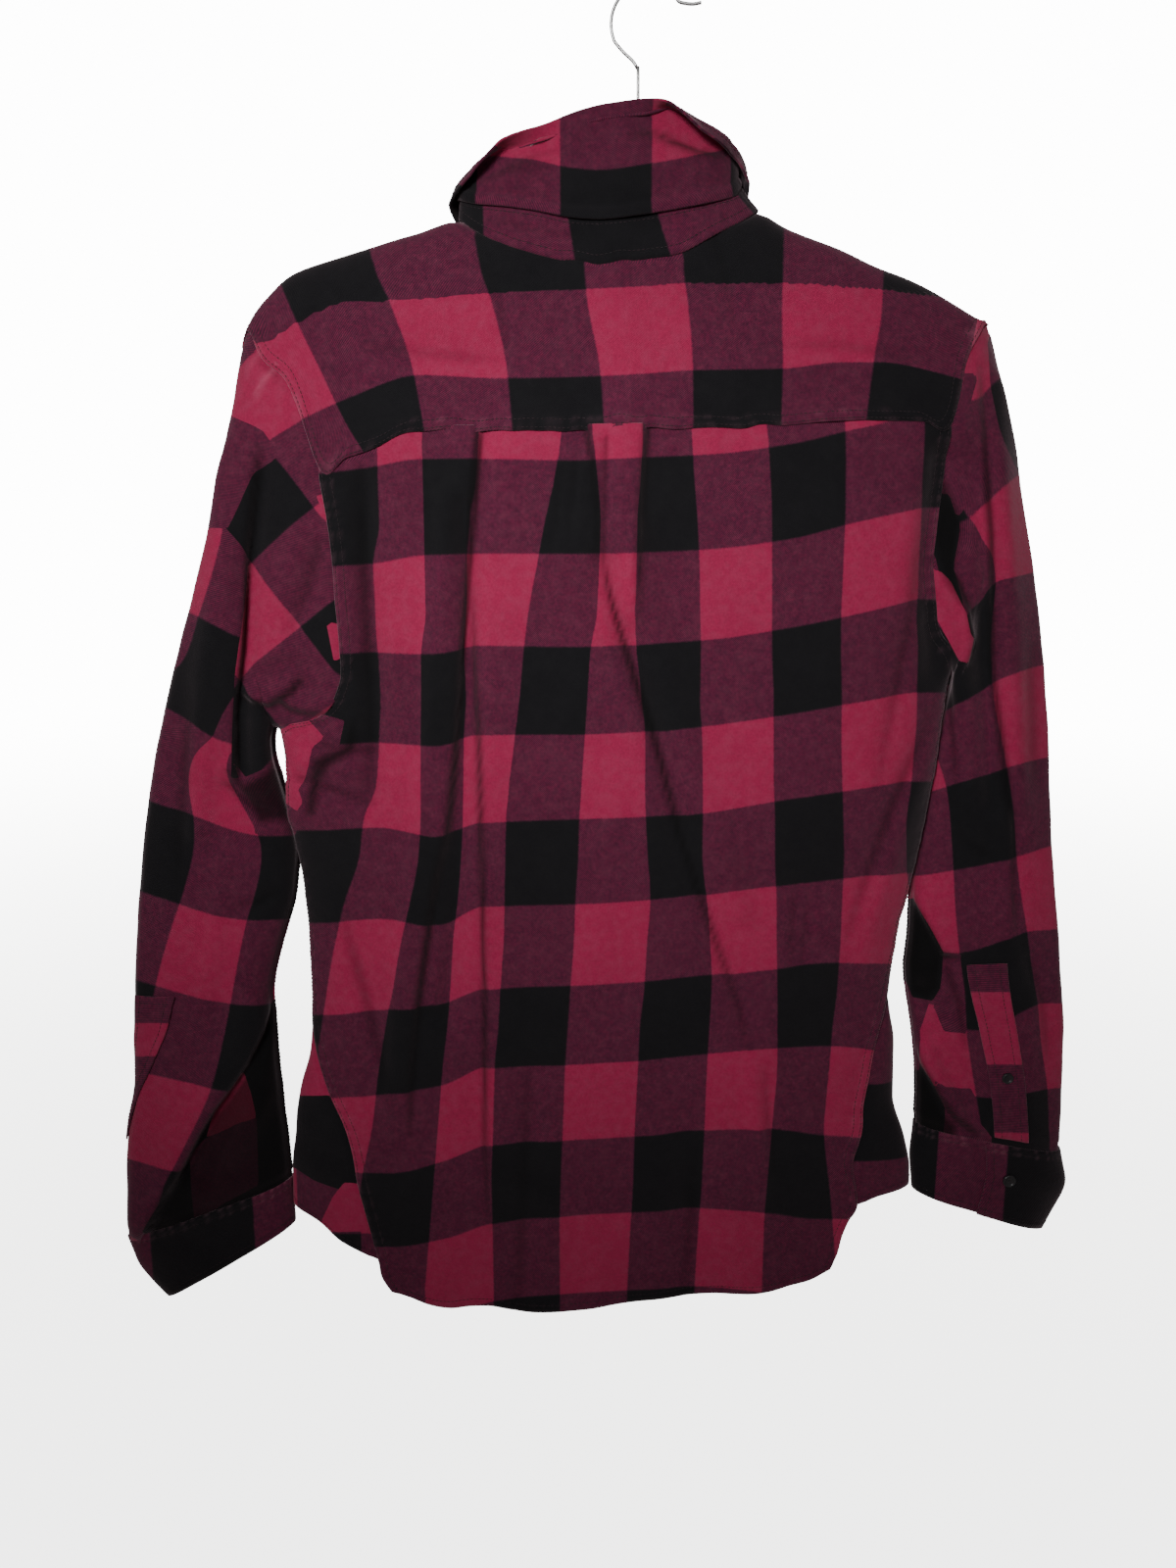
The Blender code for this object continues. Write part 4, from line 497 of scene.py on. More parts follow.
# Places where a fold brings another part of the check out, places darkened as painted shade under folds and
# in gaps, and a lighter band that is wear and painted highlight.
PATCHES = {
    # piece: colour or state, corners (x, z) of the place
    "left_sleeve_cloth": (
        ("mixed", ((-304, -268), (-279, -271), (-258, -280), (-246, -297), (-265, -308), (-285, -345),
            (-310, -345))),
        ("red", ((-224, -322), (-216, -322), (-214, -342), (-219, -344))),
        ("red", ((-221, -409), (-213, -409), (-212, -436), (-217, -436))),
        ("mixed", ((-293, -506), (-283, -519), (-262, -508), (-238, -516), (-238, -559), (-279, -561),
            (-282, -541))),
        ("black", ((-273, -688), (-284, -713), (-297, -740), (-312, -761), (-323, -775), (-336, -796),
            (-352, -826), (-367, -850), (-384, -878), (-384, -910), (-240, -890), (-240, -690))),
        ("red", ((-300, -744), (-294, -763), (-291, -782), (-331, -801), (-323, -775), (-312, -761))),
        ("mixed", ((-291, -782), (-331, -801), (-345, -814), (-345, -870), (-293, -840))),
        # Painted shade under the big fold near the cuff and under the elbow fold.
        ("painted_shade", ((-276, -706), (-297, -748), (-323, -782), (-336, -804), (-352, -834), (-384, -890),
            (-384, -910), (-240, -890), (-240, -706))),
        ("painted_shade", ((-296, -512), (-284, -524), (-264, -512), (-244, -520), (-244, -548), (-276, -552))),
    ),
    "back_cloth": (
        ("mixed", ((-262, -440), (-236, -470), (-211, -478), (-216, -497), (-235, -503), (-240, -516),
            (-243, -540), (-250, -562), (-270, -566), (-270, -440))),
        ("red", ((-262, -462), (-243, -469), (-226, -490), (-235, -497), (-237, -510), (-246, -528),
            (-243, -537), (-248, -544), (-256, -536), (-256, -500))),
        # Painted shade in the fold under the left arm.
        ("painted_shade", ((-205, -478), (-213, -497), (-233, -505), (-238, -520), (-241, -546), (-236, -546),
            (-230, -520), (-222, -510), (-204, -500))),
    ),
    "left_front_cloth": (
        ("red", ((-275, -700), (-222, -700), (-222, -765), (-275, -766))),
        ("black", ((-275, -766), (-222, -765), (-200, -800), (-200, -838), (-230, -844), (-250, -836),
            (-275, -818))),
        ("red", ((-227, -838), (-200, -840), (-200, -880), (-250, -880), (-236, -850))),
    ),
    "yoke_cloth": (
        ("red", ((219, -206), (230, -210), (222, -244), (213, -244))),
        ("mixed", ((213, -244), (222, -244), (216, -274), (207, -274))),
        # A lighter band along the right armhole seam: wear and painted highlight.
        ("worn", ((218, -212), (222, -220), (218, -240), (212, -270), (208, -270), (213, -240),
            (215, -220))),
    ),
    "right_sleeve_cloth": (
        # Black standing in for the shadow in the gap between the back and the sleeve: painted shade.
        ("black", ((198, -322), (208, -324), (216, -344), (213, -371), (222, -400), (204, -376),
            (196, -350))),
        ("red", ((213, -200), (230, -206), (222, -244), (204, -244))),
        ("mixed", ((206, -244), (221, -244), (214, -274), (212, -300), (218, -332), (213, -338),
            (207, -322), (196, -322), (200, -274))),
        ("red", ((196, -372), (205, -374), (212, -381), (223, -402), (227, -421), (225, -437),
            (215, -425), (200, -400))),
        ("black", ((190, -611), (200, -609), (212, -629), (224, -651), (223, -679), (218, -689),
            (203, -686), (190, -660))),
        ("mixed", ((203, -686), (216, -689), (210, -712), (212, -731), (211, -745), (190, -745),
            (190, -684))),
        ("mixed", ((224, -651), (236, -652), (246, -716), (228, -713), (219, -694), (223, -679))),
        ("red", ((219, -693), (228, -713), (244, -718), (248, -759), (230, -757), (212, -731),
            (210, -712))),
        ("black", ((190, -738), (211, -738), (220, -750), (233, -776), (233, -830), (190, -830))),
        ("mixed", ((230, -757), (251, -759), (255, -766), (259, -786), (270, -800), (270, -830),
            (233, -830), (233, -776), (222, -750))),
        # Painted shade in the gap at the armhole and under the two lower folds.
        ("painted_shade", ((202, -310), (216, -340), (213, -371), (220, -396), (206, -376), (198, -350))),
        ("painted_shade", ((199, -616), (212, -634), (222, -655), (221, -679), (214, -687), (202, -683),
            (194, -640))),
        ("painted_shade", ((205, -742), (218, -752), (231, -780), (242, -790), (242, -830), (205, -830))),
    ),
    "collar_leaf_cloth": (
        ("mixed", ((-140, -128), (-108, -128), (-88, -122), (-47, -122), (-47, -90), (-52, -74),
            (-100, -84), (-140, -100))),
        ("red", ((-90, -107), (-80, -102), (-60, -96), (-51, -97), (-48, -108), (-49, -118), (-56, -125),
            (-70, -126), (-80, -123), (-85, -118), (-80, -112))),
        ("mixed", ((-4, -60), (80, -80), (70, -130), (6, -130), (4, -115), (17, -110.5), (31, -106),
            (26, -102), (12, -97.5), (3, -96), (-4, -98))),
        # Painted shade under the collar leaf's rolled edge, on the right and on the left.
        ("painted_shade", ((-8, -93), (6, -93), (19, -98), (31, -103), (50, -105), (58, -112), (50, -113),
            (31, -111.5), (19, -107.5), (6, -101), (-4, -99))),
        ("painted_shade", ((-106, -124), (-92, -119), (-84, -111), (-74, -106), (-62, -105), (-74, -110),
            (-84, -117), (-98, -122))),
    ),
}

# Creases: ridge or trough ("ridge"), a ridge whose crest is lightened by rubbing and painted highlight, or a
# pressed fold whose left or right side stands higher. Troughs and the low side of each fold are darkened with
# painted shade.
CREASES = {
    "back_yoke": (
        ("ridge", 9, 1.2, 0.3, 0.3, ((-180, -200), (-140, -210), (-100, -214))),
        ("ridge", 8, -1.0, 0.3, 0.3, ((-190, -225), (-140, -232), (-90, -236))),
        ("ridge", 9, 1.1, 0.3, 0.3, ((60, -204), (110, -206), (160, -214))),
        ("ridge", 7, -1.0, 0.3, 0.3, ((84, -226), (130, -226), (186, -236))),
        ("ridge", 6, -1.0, 0, 0.5, ((-104, -178), (-96, -205), (-92, -236))),
        ("ridge", 6, -0.9, 0, 0.5, ((44, -160), (52, -186), (58, -216))),
    ),
    "back": (
        ("step", 16, 3.6, 0, 0.25, ((-115, -284), (-120, -340), (-125, -380), (-130, -430), (-136, -500),
            (-143, -560), (-153, -600), (-160, -640), (-168, -690), (-174, -740), (-178, -800))),
        ("step_right", 22, 2.6, 0.2, 0.3, ((-117, -380), (-113, -500), (-113, -600), (-113, -700),
            (-115, -800), (-113, -880))),
        ("step_right", 12, 2.4, 0, 0.6, ((-37, -280), (-33, -300), (-30, -340), (-31, -372))),
        ("step", 12, 2.8, 0, 0.6, ((-2, -280), (-5, -320), (-6, -360), (-6, -410))),
        ("ridge", 4.5, -2.2, 0, 0.3, ((-27, -286), (-29, -360), (-24, -390), (-18, -410), (-10, -430),
            (10, -490), (30, -560))),
        ("step_right", 20, 2.6, 0.2, 0.3, ((-26, -370), (-10, -430), (10, -490), (30, -560), (50, -620),
            (75, -690), (85, -730))),
        ("ridge", 3.5, -1.2, 0.3, 0.5, ((-45, -292), (-49, -320), (-52, -352))),
        ("ridge", 3.5, -1.0, 0.3, 0.5, ((-56, -300), (-60, -335), (-66, -372))),
        ("ridge", 4, 1.2, 0.3, 0.5, ((-41, -300), (-43, -340), (-44, -380))),
        ("ridge", 7, 2.0, 0.4, 0.4, ((84, -730), (88, -770), (95, -830), (99, -870))),
        ("ridge", 5, -1.3, 0.4, 0.4, ((94, -740), (98, -780), (104, -830))),
        ("ridge", 8, -2.0, 0.3, 0.5, ((205, -468), (180, -540), (165, -590), (150, -645))),
        ("ridge", 8, 1.6, 0.3, 0.5, ((200, -500), (186, -560), (172, -620), (160, -680))),
        ("ridge", 5, -1.2, 0.4, 0.5, ((113, -590), (111, -630), (110, -668))),
        ("ridge", 5, -1.0, 0.4, 0.5, ((122, -600), (121, -640), (119, -672))),
        ("ridge", 9, -2.5, 0.2, 0.4, ((-193, -300), (-193, -400), (-192, -470), (-195, -540))),
        ("ridge", 5, -2.2, 0, 0.5, ((-246, -520), (-222, -528), (-190, -540))),
        ("ridge", 5, -2.0, 0, 0.6, ((-228, -496), (-208, -500), (-186, -500))),
        ("ridge", 6, 1.8, 0, 0.6, ((-240, -508), (-214, -513), (-180, -522))),
        ("ridge", 9, -1.6, 0.3, 0.4, ((-220, -620), (-206, -680), (-194, -740), (-186, -780))),
        ("ridge", 10, 1.6, 0.3, 0.4, ((-232, -640), (-221, -700), (-212, -760), (-205, -820))),
        ("ridge", 9, 1.4, 0.3, 0.4, ((-60, -700), (-64, -780), (-66, -860), (-70, -930))),
        ("ridge", 9, -1.4, 0.3, 0.3, ((-84, -740), (-88, -820), (-92, -900), (-95, -955))),
        ("ridge", 10, 1.4, 0.3, 0.3, ((20, -760), (18, -840), (16, -945))),
        ("ridge", 9, -1.5, 0.3, 0.3, ((42, -800), (40, -870), (38, -940))),
        ("ridge", 8, -1.6, 0.2, 0.5, ((192, -330), (186, -400), (176, -470), (166, -540))),
    ),
    "front": (
        ("step", 18, 2.6, 0, 0.4, ((-178, -262), (-180, -360), (-188, -480), (-198, -600))),
        ("ridge", 10, -2.4, 0.2, 0.4, ((-96, -300), (-104, -420), (-110, -560), (-118, -700))),
        ("ridge", 8, 2.0, 0.3, 0.4, ((-84, -420), (-88, -540), (-92, -660), (-98, -800))),
        ("ridge", 8, -2.0, 0, 0.5, ((-248, -500), (-216, -540), (-178, -590))),
        ("ridge", 8, 1.8, 0, 0.5, ((-244, -520), (-206, -572), (-170, -640))),
        ("ridge", 9, -2.0, 0.3, 0.4, ((-222, -640), (-212, -720), (-206, -800))),
        ("step_right", 18, 2.6, 0, 0.4, ((152, -262), (150, -360), (158, -480), (166, -600))),
        ("ridge", 10, -2.4, 0.2, 0.4, ((58, -320), (64, -440), (70, -580), (78, -720))),
        ("ridge", 8, 2.0, 0.3, 0.4, ((30, -460), (36, -580), (40, -700), (44, -840))),
        ("ridge", 8, -2.0, 0, 0.5, ((206, -470), (180, -520), (146, -580))),
        ("ridge", 8, 1.8, 0, 0.5, ((202, -500), (170, -560), (136, -640))),
        ("ridge", 9, -2.0, 0.3, 0.4, ((160, -660), (158, -760), (156, -850))),
    ),
    "left_sleeve": (
        ("step", 20, 4.5, 0.1, 0.1, ((-262, -290), (-275, -360), (-283, -430), (-290, -470),
            (-293, -524))),
        ("ridge", 5, -3.0, 0.2, 0.1, ((-298, -522), (-290, -532), (-279, -543), (-262, -546))),
        ("ridge", 6, 2.6, 0.2, 0.2, ((-300, -506), (-286, -520), (-268, -530))),
        ("step_right", 10, 3.2, 0.1, 0.2, ((-284, -456), (-274, -462), (-264, -464), (-250, -455),
            (-240, -444))),
        ("step_right", 9, 3.0, 0.1, 0.1, ((-256, -461), (-248, -467), (-238, -470), (-226, -471),
            (-218, -464))),
        ("ridge", 5, 2.0, 0.2, 0.2, ((-278, -444), (-266, -432), (-250, -428), (-238, -434))),
        ("ridge", 7, 2.0, 0.2, 0.2, ((-268, -482), (-250, -486), (-232, -486))),
        ("ridge", 9, 2.2, 0.3, 0.3, ((-232, -340), (-244, -372), (-256, -400))),
        ("ridge", 7, -1.8, 0.2, 0.4, ((-222, -350), (-234, -388), (-250, -420))),
        ("ridge", 8, -1.8, 0.3, 0.3, ((-316, -450), (-326, -500), (-334, -560), (-342, -620))),
        ("ridge", 8, 1.8, 0.3, 0.3, ((-300, -560), (-310, -620), (-322, -680), (-336, -730))),
        ("step", 20, 6.0, 0.1, 0, ((-276, -688), (-284, -711), (-297, -738), (-312, -759), (-323, -773),
            (-336, -794), (-352, -824), (-367, -848), (-380, -872))),
        ("ridge", 8, 2.4, 0.3, 0.3, ((-282, -760), (-296, -790), (-316, -824))),
        ("ridge", 6, -2.4, 0.3, 0.2, ((-300, -776), (-318, -806), (-336, -842))),
        ("ridge", 6, -1.8, 0.3, 0.4, ((-262, -600), (-280, -612), (-300, -616))),
        # Lightened crests of small wrinkles at the sleeve head: painted highlight and rubbing.
        ("rub_and_highlight", 2.4, 1.4, 0.1, 0.3, ((-252, -226), (-262, -236), (-266, -246))),
        ("rub_and_highlight", 2.4, 1.3, 0.1, 0.3, ((-246, -238), (-256, -250), (-262, -262))),
        ("ridge", 3, -1.6, 0, 0.4, ((-262, -232), (-250, -243), (-242, -256))),
    ),
    "right_sleeve": (
        ("step", 14, 2.6, 0.2, 0.3, ((218, -235), (235, -350), (242, -440), (258, -520), (265, -560),
            (272, -640))),
        ("step_right", 12, 3.6, 0.1, 0.2, ((199, -604), (212, -628), (224, -650), (238, -653))),
        ("step_right", 14, 4.2, 0.1, 0.1, ((208, -722), (214, -736), (230, -765), (242, -781),
            (262, -797))),
        ("step", 9, 3.4, 0.1, 0.1, ((206, -374), (214, -382), (223, -402), (227, -421), (224, -440))),
        ("ridge", 6, -2.0, 0.2, 0.4, ((207, -440), (216, -470), (222, -500), (226, -530))),
        ("ridge", 7, 2.2, 0.2, 0.4, ((214, -430), (226, -460), (236, -500))),
        ("ridge", 6, -1.6, 0.3, 0.4, ((228, -560), (246, -574), (262, -580))),
        ("ridge", 7, 1.8, 0.3, 0.3, ((262, -600), (272, -640), (282, -680))),
        ("ridge", 6, -2.0, 0.3, 0.3, ((222, -650), (238, -690), (246, -730))),
        ("ridge", 8, -1.6, 0.3, 0.3, ((270, -420), (276, -470), (282, -530))),
        ("ridge", 6, -1.6, 0.3, 0.3, ((286, -650), (300, -690), (308, -740))),
        ("ridge", 6, 2.0, 0, 0.4, ((222, -340), (226, -370), (234, -400))),
    ),
    "collar_stand": (
        ("ridge", 5, -0.8, 0.2, 0.2, ((-104, -148), (-70, -156), (-30, -160))),
        ("ridge", 5, 0.8, 0.2, 0.2, ((10, -160), (34, -152), (56, -142))),
    ),
    "collar_leaf": (
        ("step_right", 12, 2.6, 0.45, 0.15, ((-14, -95), (6, -96), (19, -101), (32, -106), (52, -109))),
        ("step", 14, 1.2, 0.6, 0.2, ((-50, -104), (-72, -108), (-85, -113), (-97, -119), (-112, -125))),
        ("ridge", 5, -1.2, 0.3, 0.3, ((-92, -121), (-76, -117), (-60, -117))),
        ("ridge", 9, 1.2, 0.3, 0.3, ((-46, -104), (-32, -101), (-20, -105))),
        ("ridge", 4, 1.5, 0.1, 0.2, ((-106, -133), (-80, -136), (-50, -140), (0, -139), (30, -134))),
        # A lightened ridge near the leaf's right end: painted highlight and rubbing.
        ("rub_and_highlight", 2.5, 0.3, 0.3, 0.2, ((54, -110), (59, -120), (60, -130))),
    ),
}

BUTTON_SIDES = 40
BUTTON_PROFILE = (
    # share of the radius, share of the thickness
    (0.0, 0.0), (0.80, 0.0), (0.97, 0.22), (1.0, 0.50), (0.96, 0.82), (0.86, 1.0), (0.72, 0.90), (0.60, 0.64),
    (0.40, 0.58), (0.0, 0.58),
)
BUTTON_RINGS = 41
THREAD_CROSS = 0.25    # share of the radius at which the crossed thread goes through
FRONT_BUTTON = (5.6, 2.4)   # radius, thickness
SMALL_BUTTON = (5.2, 2.2)
TINY_BUTTON = (4.4, 1.9)
BUTTON_THREAD_RADIUS = 0.32
BUTTON_AIR = 0.25
SEWN_BUTTONS = (
    # button, the piece that carries it, radius and thickness, thickness of the piece
    ("collar_button", "collar_stand", SMALL_BUTTON, DOUBLE_CLOTH),
    ("left_cuff_button", "left_cuff", SMALL_BUTTON, DOUBLE_CLOTH),
    ("right_cuff_button", "right_cuff", SMALL_BUTTON, DOUBLE_CLOTH),
    ("left_placket_button", "left_sleeve_placket", TINY_BUTTON, CLOTH),
    ("right_placket_button", "right_sleeve_placket", TINY_BUTTON, CLOTH),
)
WIRE_SIDES = 14
WIRE_FINER = 3


# ---- curves through tables

def smooth_through(keys, values):
    """A function of the key that passes through each row with no overshoot, a cubic between rows."""
    x = np.asarray(keys, float)
    y = np.asarray(values, float).reshape(len(x), -1)
    step = np.diff(x)[:, None]
    slope = np.diff(y, axis=0) / step
    tangent = np.zeros_like(y)
    tangent[0] = slope[0]
    tangent[-1] = slope[-1]
    if len(x) > 2:
        before, after = slope[:-1], slope[1:]
        same_way = before * after > 0
        total = np.where(same_way, before + after, 1.0)
        tangent[1:-1] = np.where(same_way, 2 * before * after / total, 0.0)

    def value(at):
        at = np.clip(np.asarray(at, float), x[0], x[-1])
        i = np.clip(np.searchsorted(x, at, side="right") - 1, 0, len(x) - 2)
        width = (x[i + 1] - x[i])[..., None]
        u = ((at - x[i])[..., None]) / width
        found = y[i] * (2 * u**3 - 3 * u**2 + 1) + y[i + 1] * (3 * u**2 - 2 * u**3)
        found = found + tangent[i] * width * (u**3 - 2 * u**2 + u) + tangent[i + 1] * width * (u**3 - u**2)
        return found[..., 0] if found.shape[-1] == 1 else found

    return value


def length_along(points):
    steps = np.linalg.norm(np.diff(points, axis=0), axis=1)
    return np.concatenate([[0.0], np.cumsum(steps)])


def along(points, count):
    """count + 1 points evenly spaced by length on a smooth line through the points."""
    points = np.asarray(points, float)
    length = length_along(points)
    return smooth_through(length, points)(np.linspace(0, length[-1], count + 1))


def through_rows(table):
    """A smooth function of the first value of a table's rows, which gives the rest of the row."""
    return smooth_through([row[0] for row in table], [row[1:] for row in table])


shoulder_line = through_rows(SHOULDER_LINE)
body_tube = through_rows(BODY_TUBE)
back_yoke_seam = through_rows(BACK_YOKE_SEAM)
stand_top = through_rows(STAND_TOP)
leaf_rows = through_rows(LEAF)


# ---- the body's form

def tube_at(z):
    """Middle, half width and half depth of the body's tube at a height."""
    found = body_tube(z)
    left, right, depth = found[..., 0], found[..., 1], found[..., 2]
    return (left + right) / 2, (right - left) / 2, depth


def q_of(x, z, side):
    """Where a point lies round the body, given the side of the shirt that it is on."""
    middle, half, _ = tube_at(z)
    share = np.clip((x - middle) / half, -1, 1)
    if side == "edge":
        return math.copysign(1.0, share)
    back = 2 / math.pi * math.asin(share)
    if side == "front":
        return math.copysign(2.0, share) - back
    return back


def front_q(x, z, sign):
    """The same for a point near the centre front, counted from the left (-1) or the right (1)."""
    middle, half, _ = tube_at(z)
    return sign * 2.0 - 2 / math.pi * math.asin((x - middle) / half)


def share_of_depth(below):
    """How much of its full depth the body has at a distance below the shoulder line."""
    return np.sqrt(below / (below + SHOULDER_ROUND))


def to_segment(x, z, a, b):
    """How far along a segment its nearest point lies, as a share of it, and how far away that is."""
    run = b - a
    t = np.clip(((x - a[0]) * run[0] + (z - a[1]) * run[1]) / (run @ run), 0, 1)
    return t, np.hypot(x - a[0] - t * run[0], z - a[1] - t * run[1])


def fold_relief(x, z, folds):
    """How far the folds stand out at each place, in millimetres."""
    relief = np.zeros_like(x)
    for half_width, out, path in folds:
        path = np.asarray(path, float)
        nearest = np.min([to_segment(x, z, a, b)[1] for a, b in zip(path[:-1], path[1:])], axis=0)
        relief = relief + out * np.exp(-((nearest / half_width) ** 2))
    return relief


def squarely(facing):
    """1 where the cloth faces the back or the front squarely, and 0 by where it turns its edge."""
    return np.clip(facing * FACING_RISE - FACING_START, 0, 1)


def body_points(q, z, layer=0.0):
    """Points on the body's middle surface below the shoulders. layer moves the front out or in."""
    middle, half, depth = tube_at(z)
    share = np.sin(math.pi * q / 2)
    facing = np.cos(math.pi * q / 2)
    x = middle + half * share
    y = -depth * facing * np.sqrt(1 + share**2) * share_of_depth(np.maximum(shoulder_line(x) - z, 0.0))
    back = fold_relief(x, z, BACK_FOLDS) * squarely(facing)
    front = fold_relief(x, z, FRONT_FOLDS) * squarely(-facing)
    return np.stack([x, y - back + front + layer, z], -1)


def fall(r):
    """How far below the shoulder line a point of the shoulders lies."""
    return SHOULDER_ROUND * r**2 / (1 - r**2)


def shoulder_points(x, r):
    """Points on the shoulders and yoke: r is negative on the back and 0 on the shoulder line."""
    z = shoulder_line(x) - fall(r)
    middle, half, depth = tube_at(z)
    share = np.clip((x - middle) / half, -1, 1)
    facing = np.sqrt(np.clip(1 - share**2, 0, 1))
    back = fold_relief(x, z, BACK_FOLDS) * squarely(facing) * (r < 0)
    return np.stack([x, r * depth * facing * np.sqrt(1 + share**2) - back, z], -1)


def r_of(x, z, side):
    """r of a point of the shoulders, given the side of the shirt that it is on."""
    r = float(share_of_depth(max(float(shoulder_line(x)) - z, 0.0)))
    return r if side == "front" else -r


def neckline(angle):
    """x and r of the neck seam at an angle from the centre back."""
    turn = np.radians(angle)
    size = np.where(np.cos(turn) > 0, NECK_BACK_R, NECK_FRONT_R)
    return NECK_CENTRE + NECK_HALF_WIDTH * np.sin(turn), -size * np.cos(turn)


def neckline_angle(x, sign):
    """The angle at which the front neckline crosses x, counted from the left (-1) or the right (1)."""
    return 180 - math.degrees(math.asin(sign * (x - NECK_CENTRE) / NECK_HALF_WIDTH))


# ---- grids

def patch(top, bottom, left, right, fade=1.0):
    """Fills four edges that share their corners with a smooth grid of rows from top to bottom.

    Its columns run straight from top to bottom, and bend toward the shapes of the left and right
    edges near them. A greater fade keeps that bend nearer to the edges.
    """
    top, bottom, left, right = (np.asarray(edge, float) for edge in (top, bottom, left, right))
    s = np.linspace(0, 1, len(top))[None, :, None]
    length = length_along((left + right) / 2)
    down = (length / length[-1])[:, None, None]
    straight = (1 - down) * top[None] + down * bottom[None]
    left_bend = left[:, None] - straight[:, :1]
    right_bend = right[:, None] - straight[:, -1:]
    return straight + (1 - s) ** fade * left_bend + s**fade * right_bend


def relaxed(flat):
    """Evens out the inside of a patch of (q, z) so that its cells follow the edges and never cross.

    Each inner point moves to where both families of lines run smoothly through it, which holds
    beside an edge that curves inwards too.
    """
    made = flat * (Q_LENGTH, 1)
    for _ in range(RELAX_ROUNDS):
        left, right = made[1:-1, :-2], made[1:-1, 2:]
        above, below = made[:-2, 1:-1], made[2:, 1:-1]
        corners = made[2:, 2:] - made[2:, :-2] - made[:-2, 2:] + made[:-2, :-2]
        across = (right - left) / 2
        down = (below - above) / 2
        a = np.sum(down**2, axis=-1, keepdims=True)
        b = np.sum(across * down, axis=-1, keepdims=True)
        c = np.sum(across**2, axis=-1, keepdims=True)
        made[1:-1, 1:-1] = (a * (left + right) + c * (above + below) - b * corners / 2) / (2 * (a + c))
    return made / (Q_LENGTH, 1)


def unit(vectors):
    return vectors / np.maximum(np.linalg.norm(vectors, axis=-1, keepdims=True), 1e-9)


def facing(grid, toward):
    """Unit normals, turned as one toward a direction or away from the middle of each row."""
    normals = unit(np.cross(np.gradient(grid, axis=1), np.gradient(grid, axis=0)))
    reference = grid - grid.mean(axis=1, keepdims=True) if toward is None else np.asarray(toward, float)
    return normals if np.sum(normals * reference) > 0 else -normals


def finer_rows(grid, times):
    """The grid with that many rows in place of each step, on smooth curves through its points."""
    grid = np.asarray(grid, float)
    wide = np.concatenate([2 * grid[:1] - grid[1:2], grid, 2 * grid[-1:] - grid[-2:-1]])
    at = np.linspace(0, len(grid) - 1, (len(grid) - 1) * times + 1)
    i = np.minimum(at.astype(int), len(grid) - 2)
    t = (at - i).reshape((-1,) + (1,) * (grid.ndim - 1))
    a, b, c, d = wide[i], wide[i + 1], wide[i + 2], wide[i + 3]
    return b + t / 2 * (c - a + t * (2 * a - 5 * b + 4 * c - d + t * (3 * (b - c) + d - a)))


def finer_columns(grid, times):
    return np.swapaxes(finer_rows(np.swapaxes(grid, 0, 1), times), 0, 1)


def finer(grid, down, across):
    return finer_columns(finer_rows(grid, down), across)


def finer_ring(grid, down, across):
    """The same for rows that close on themselves. The first column comes again at the end."""
    columns = grid.shape[1]
    wide = np.concatenate([grid[:, -2:], grid, grid[:, :3]], axis=1)
    made = finer(wide, down, across)
    return made[:, 2 * across:(2 + columns) * across + 1]


# ---- seams shared by the pieces

def seam(parts, count):
    """(q, z) points along a seam given as points (x, z) on each part of the body."""
    rows = [(x, z, part) for part, *points in parts for x, z in points]
    found = [(q_of(x, z, part), z) for x, z, part in rows]
    length = length_along(np.array([(x, z) for x, z, _ in rows], float))
    return smooth_through(length, found)(np.linspace(0, length[-1], count + 1))


def on_shoulder(rows, count):
    """Evenly spaced points on a line of (x, r), with r weighed as the shoulder's depth."""
    return along(np.asarray(rows, float) * (1, SHOULDER_ROUND), count) / (1, SHOULDER_ROUND)


def yoke_armhole(side, part):
    """(x, r) points along an armhole's edge on the yoke, from the shoulder point."""
    rows = YOKE_ARMHOLE[side, part]
    found = [(x, r_of(x, z, part)) for x, z in rows]
    found[0] = (rows[0][0], 0.0)
    return on_shoulder(found, ARMHOLE_YOKE if part == "back" else ARMHOLE_OVER)


def yoke_neck_angles():
    """Angles of the yoke's columns: the shoulder seams' lines lie at 90 degrees to each side."""
    front = np.linspace(NECK_CORNER_ANGLE, 90, ARMHOLE_OVER + 1)
    shoulder = np.linspace(90, YOKE_CORNER_ANGLE, ARMHOLE_YOKE + 1)
    back = np.linspace(-YOKE_CORNER_ANGLE, YOKE_CORNER_ANGLE, ACROSS_BACK + 1)
    side = np.concatenate([front[:-1], shoulder[:-1]])
    return np.concatenate([-side, back, side[::-1]])


def yoke_seam_points():
    x = np.linspace(BACK_YOKE_SEAM[0][0], BACK_YOKE_SEAM[-1][0], ACROSS_BACK + 1)
    return x, back_yoke_seam(x)


def front_seam(side):
    """(x, r) points of a front yoke seam, from the armhole to the neck corner."""
    sign = -1 if side == "left" else 1
    corner = YOKE_ARMHOLE[side, "front"][-1]
    start = (corner[0], r_of(*corner, "front"))
    x, r = neckline(sign * NECK_CORNER_ANGLE)
    return on_shoulder([start, (float(x), float(r))], ACROSS_SHOULDER)


def front_neck_angles(side):
    """Angles of a front's part of the neckline, and for the left also those of the placket."""
    if side == "right":
        return np.linspace(NECK_CORNER_ANGLE, neckline_angle(UNDER_EDGE, 1), FRONT_NECK + 3)
    return -np.linspace(NECK_CORNER_ANGLE, neckline_angle(PLACKET_LEFT, -1), FRONT_NECK + 1)


def placket_neck_angles():
    x = np.linspace(PLACKET_LEFT, PLACKET_RIGHT, PLACKET_STEPS + 1)
    return np.array([-neckline_angle(a, -1) for a in x])


def in_body_terms(x, r):
    """(q, z) of points given as (x, r) on the front."""
    z = shoulder_line(x) - fall(r)
    return np.array([(q_of(a, c, "front"), c) for a, c in zip(x, z)])


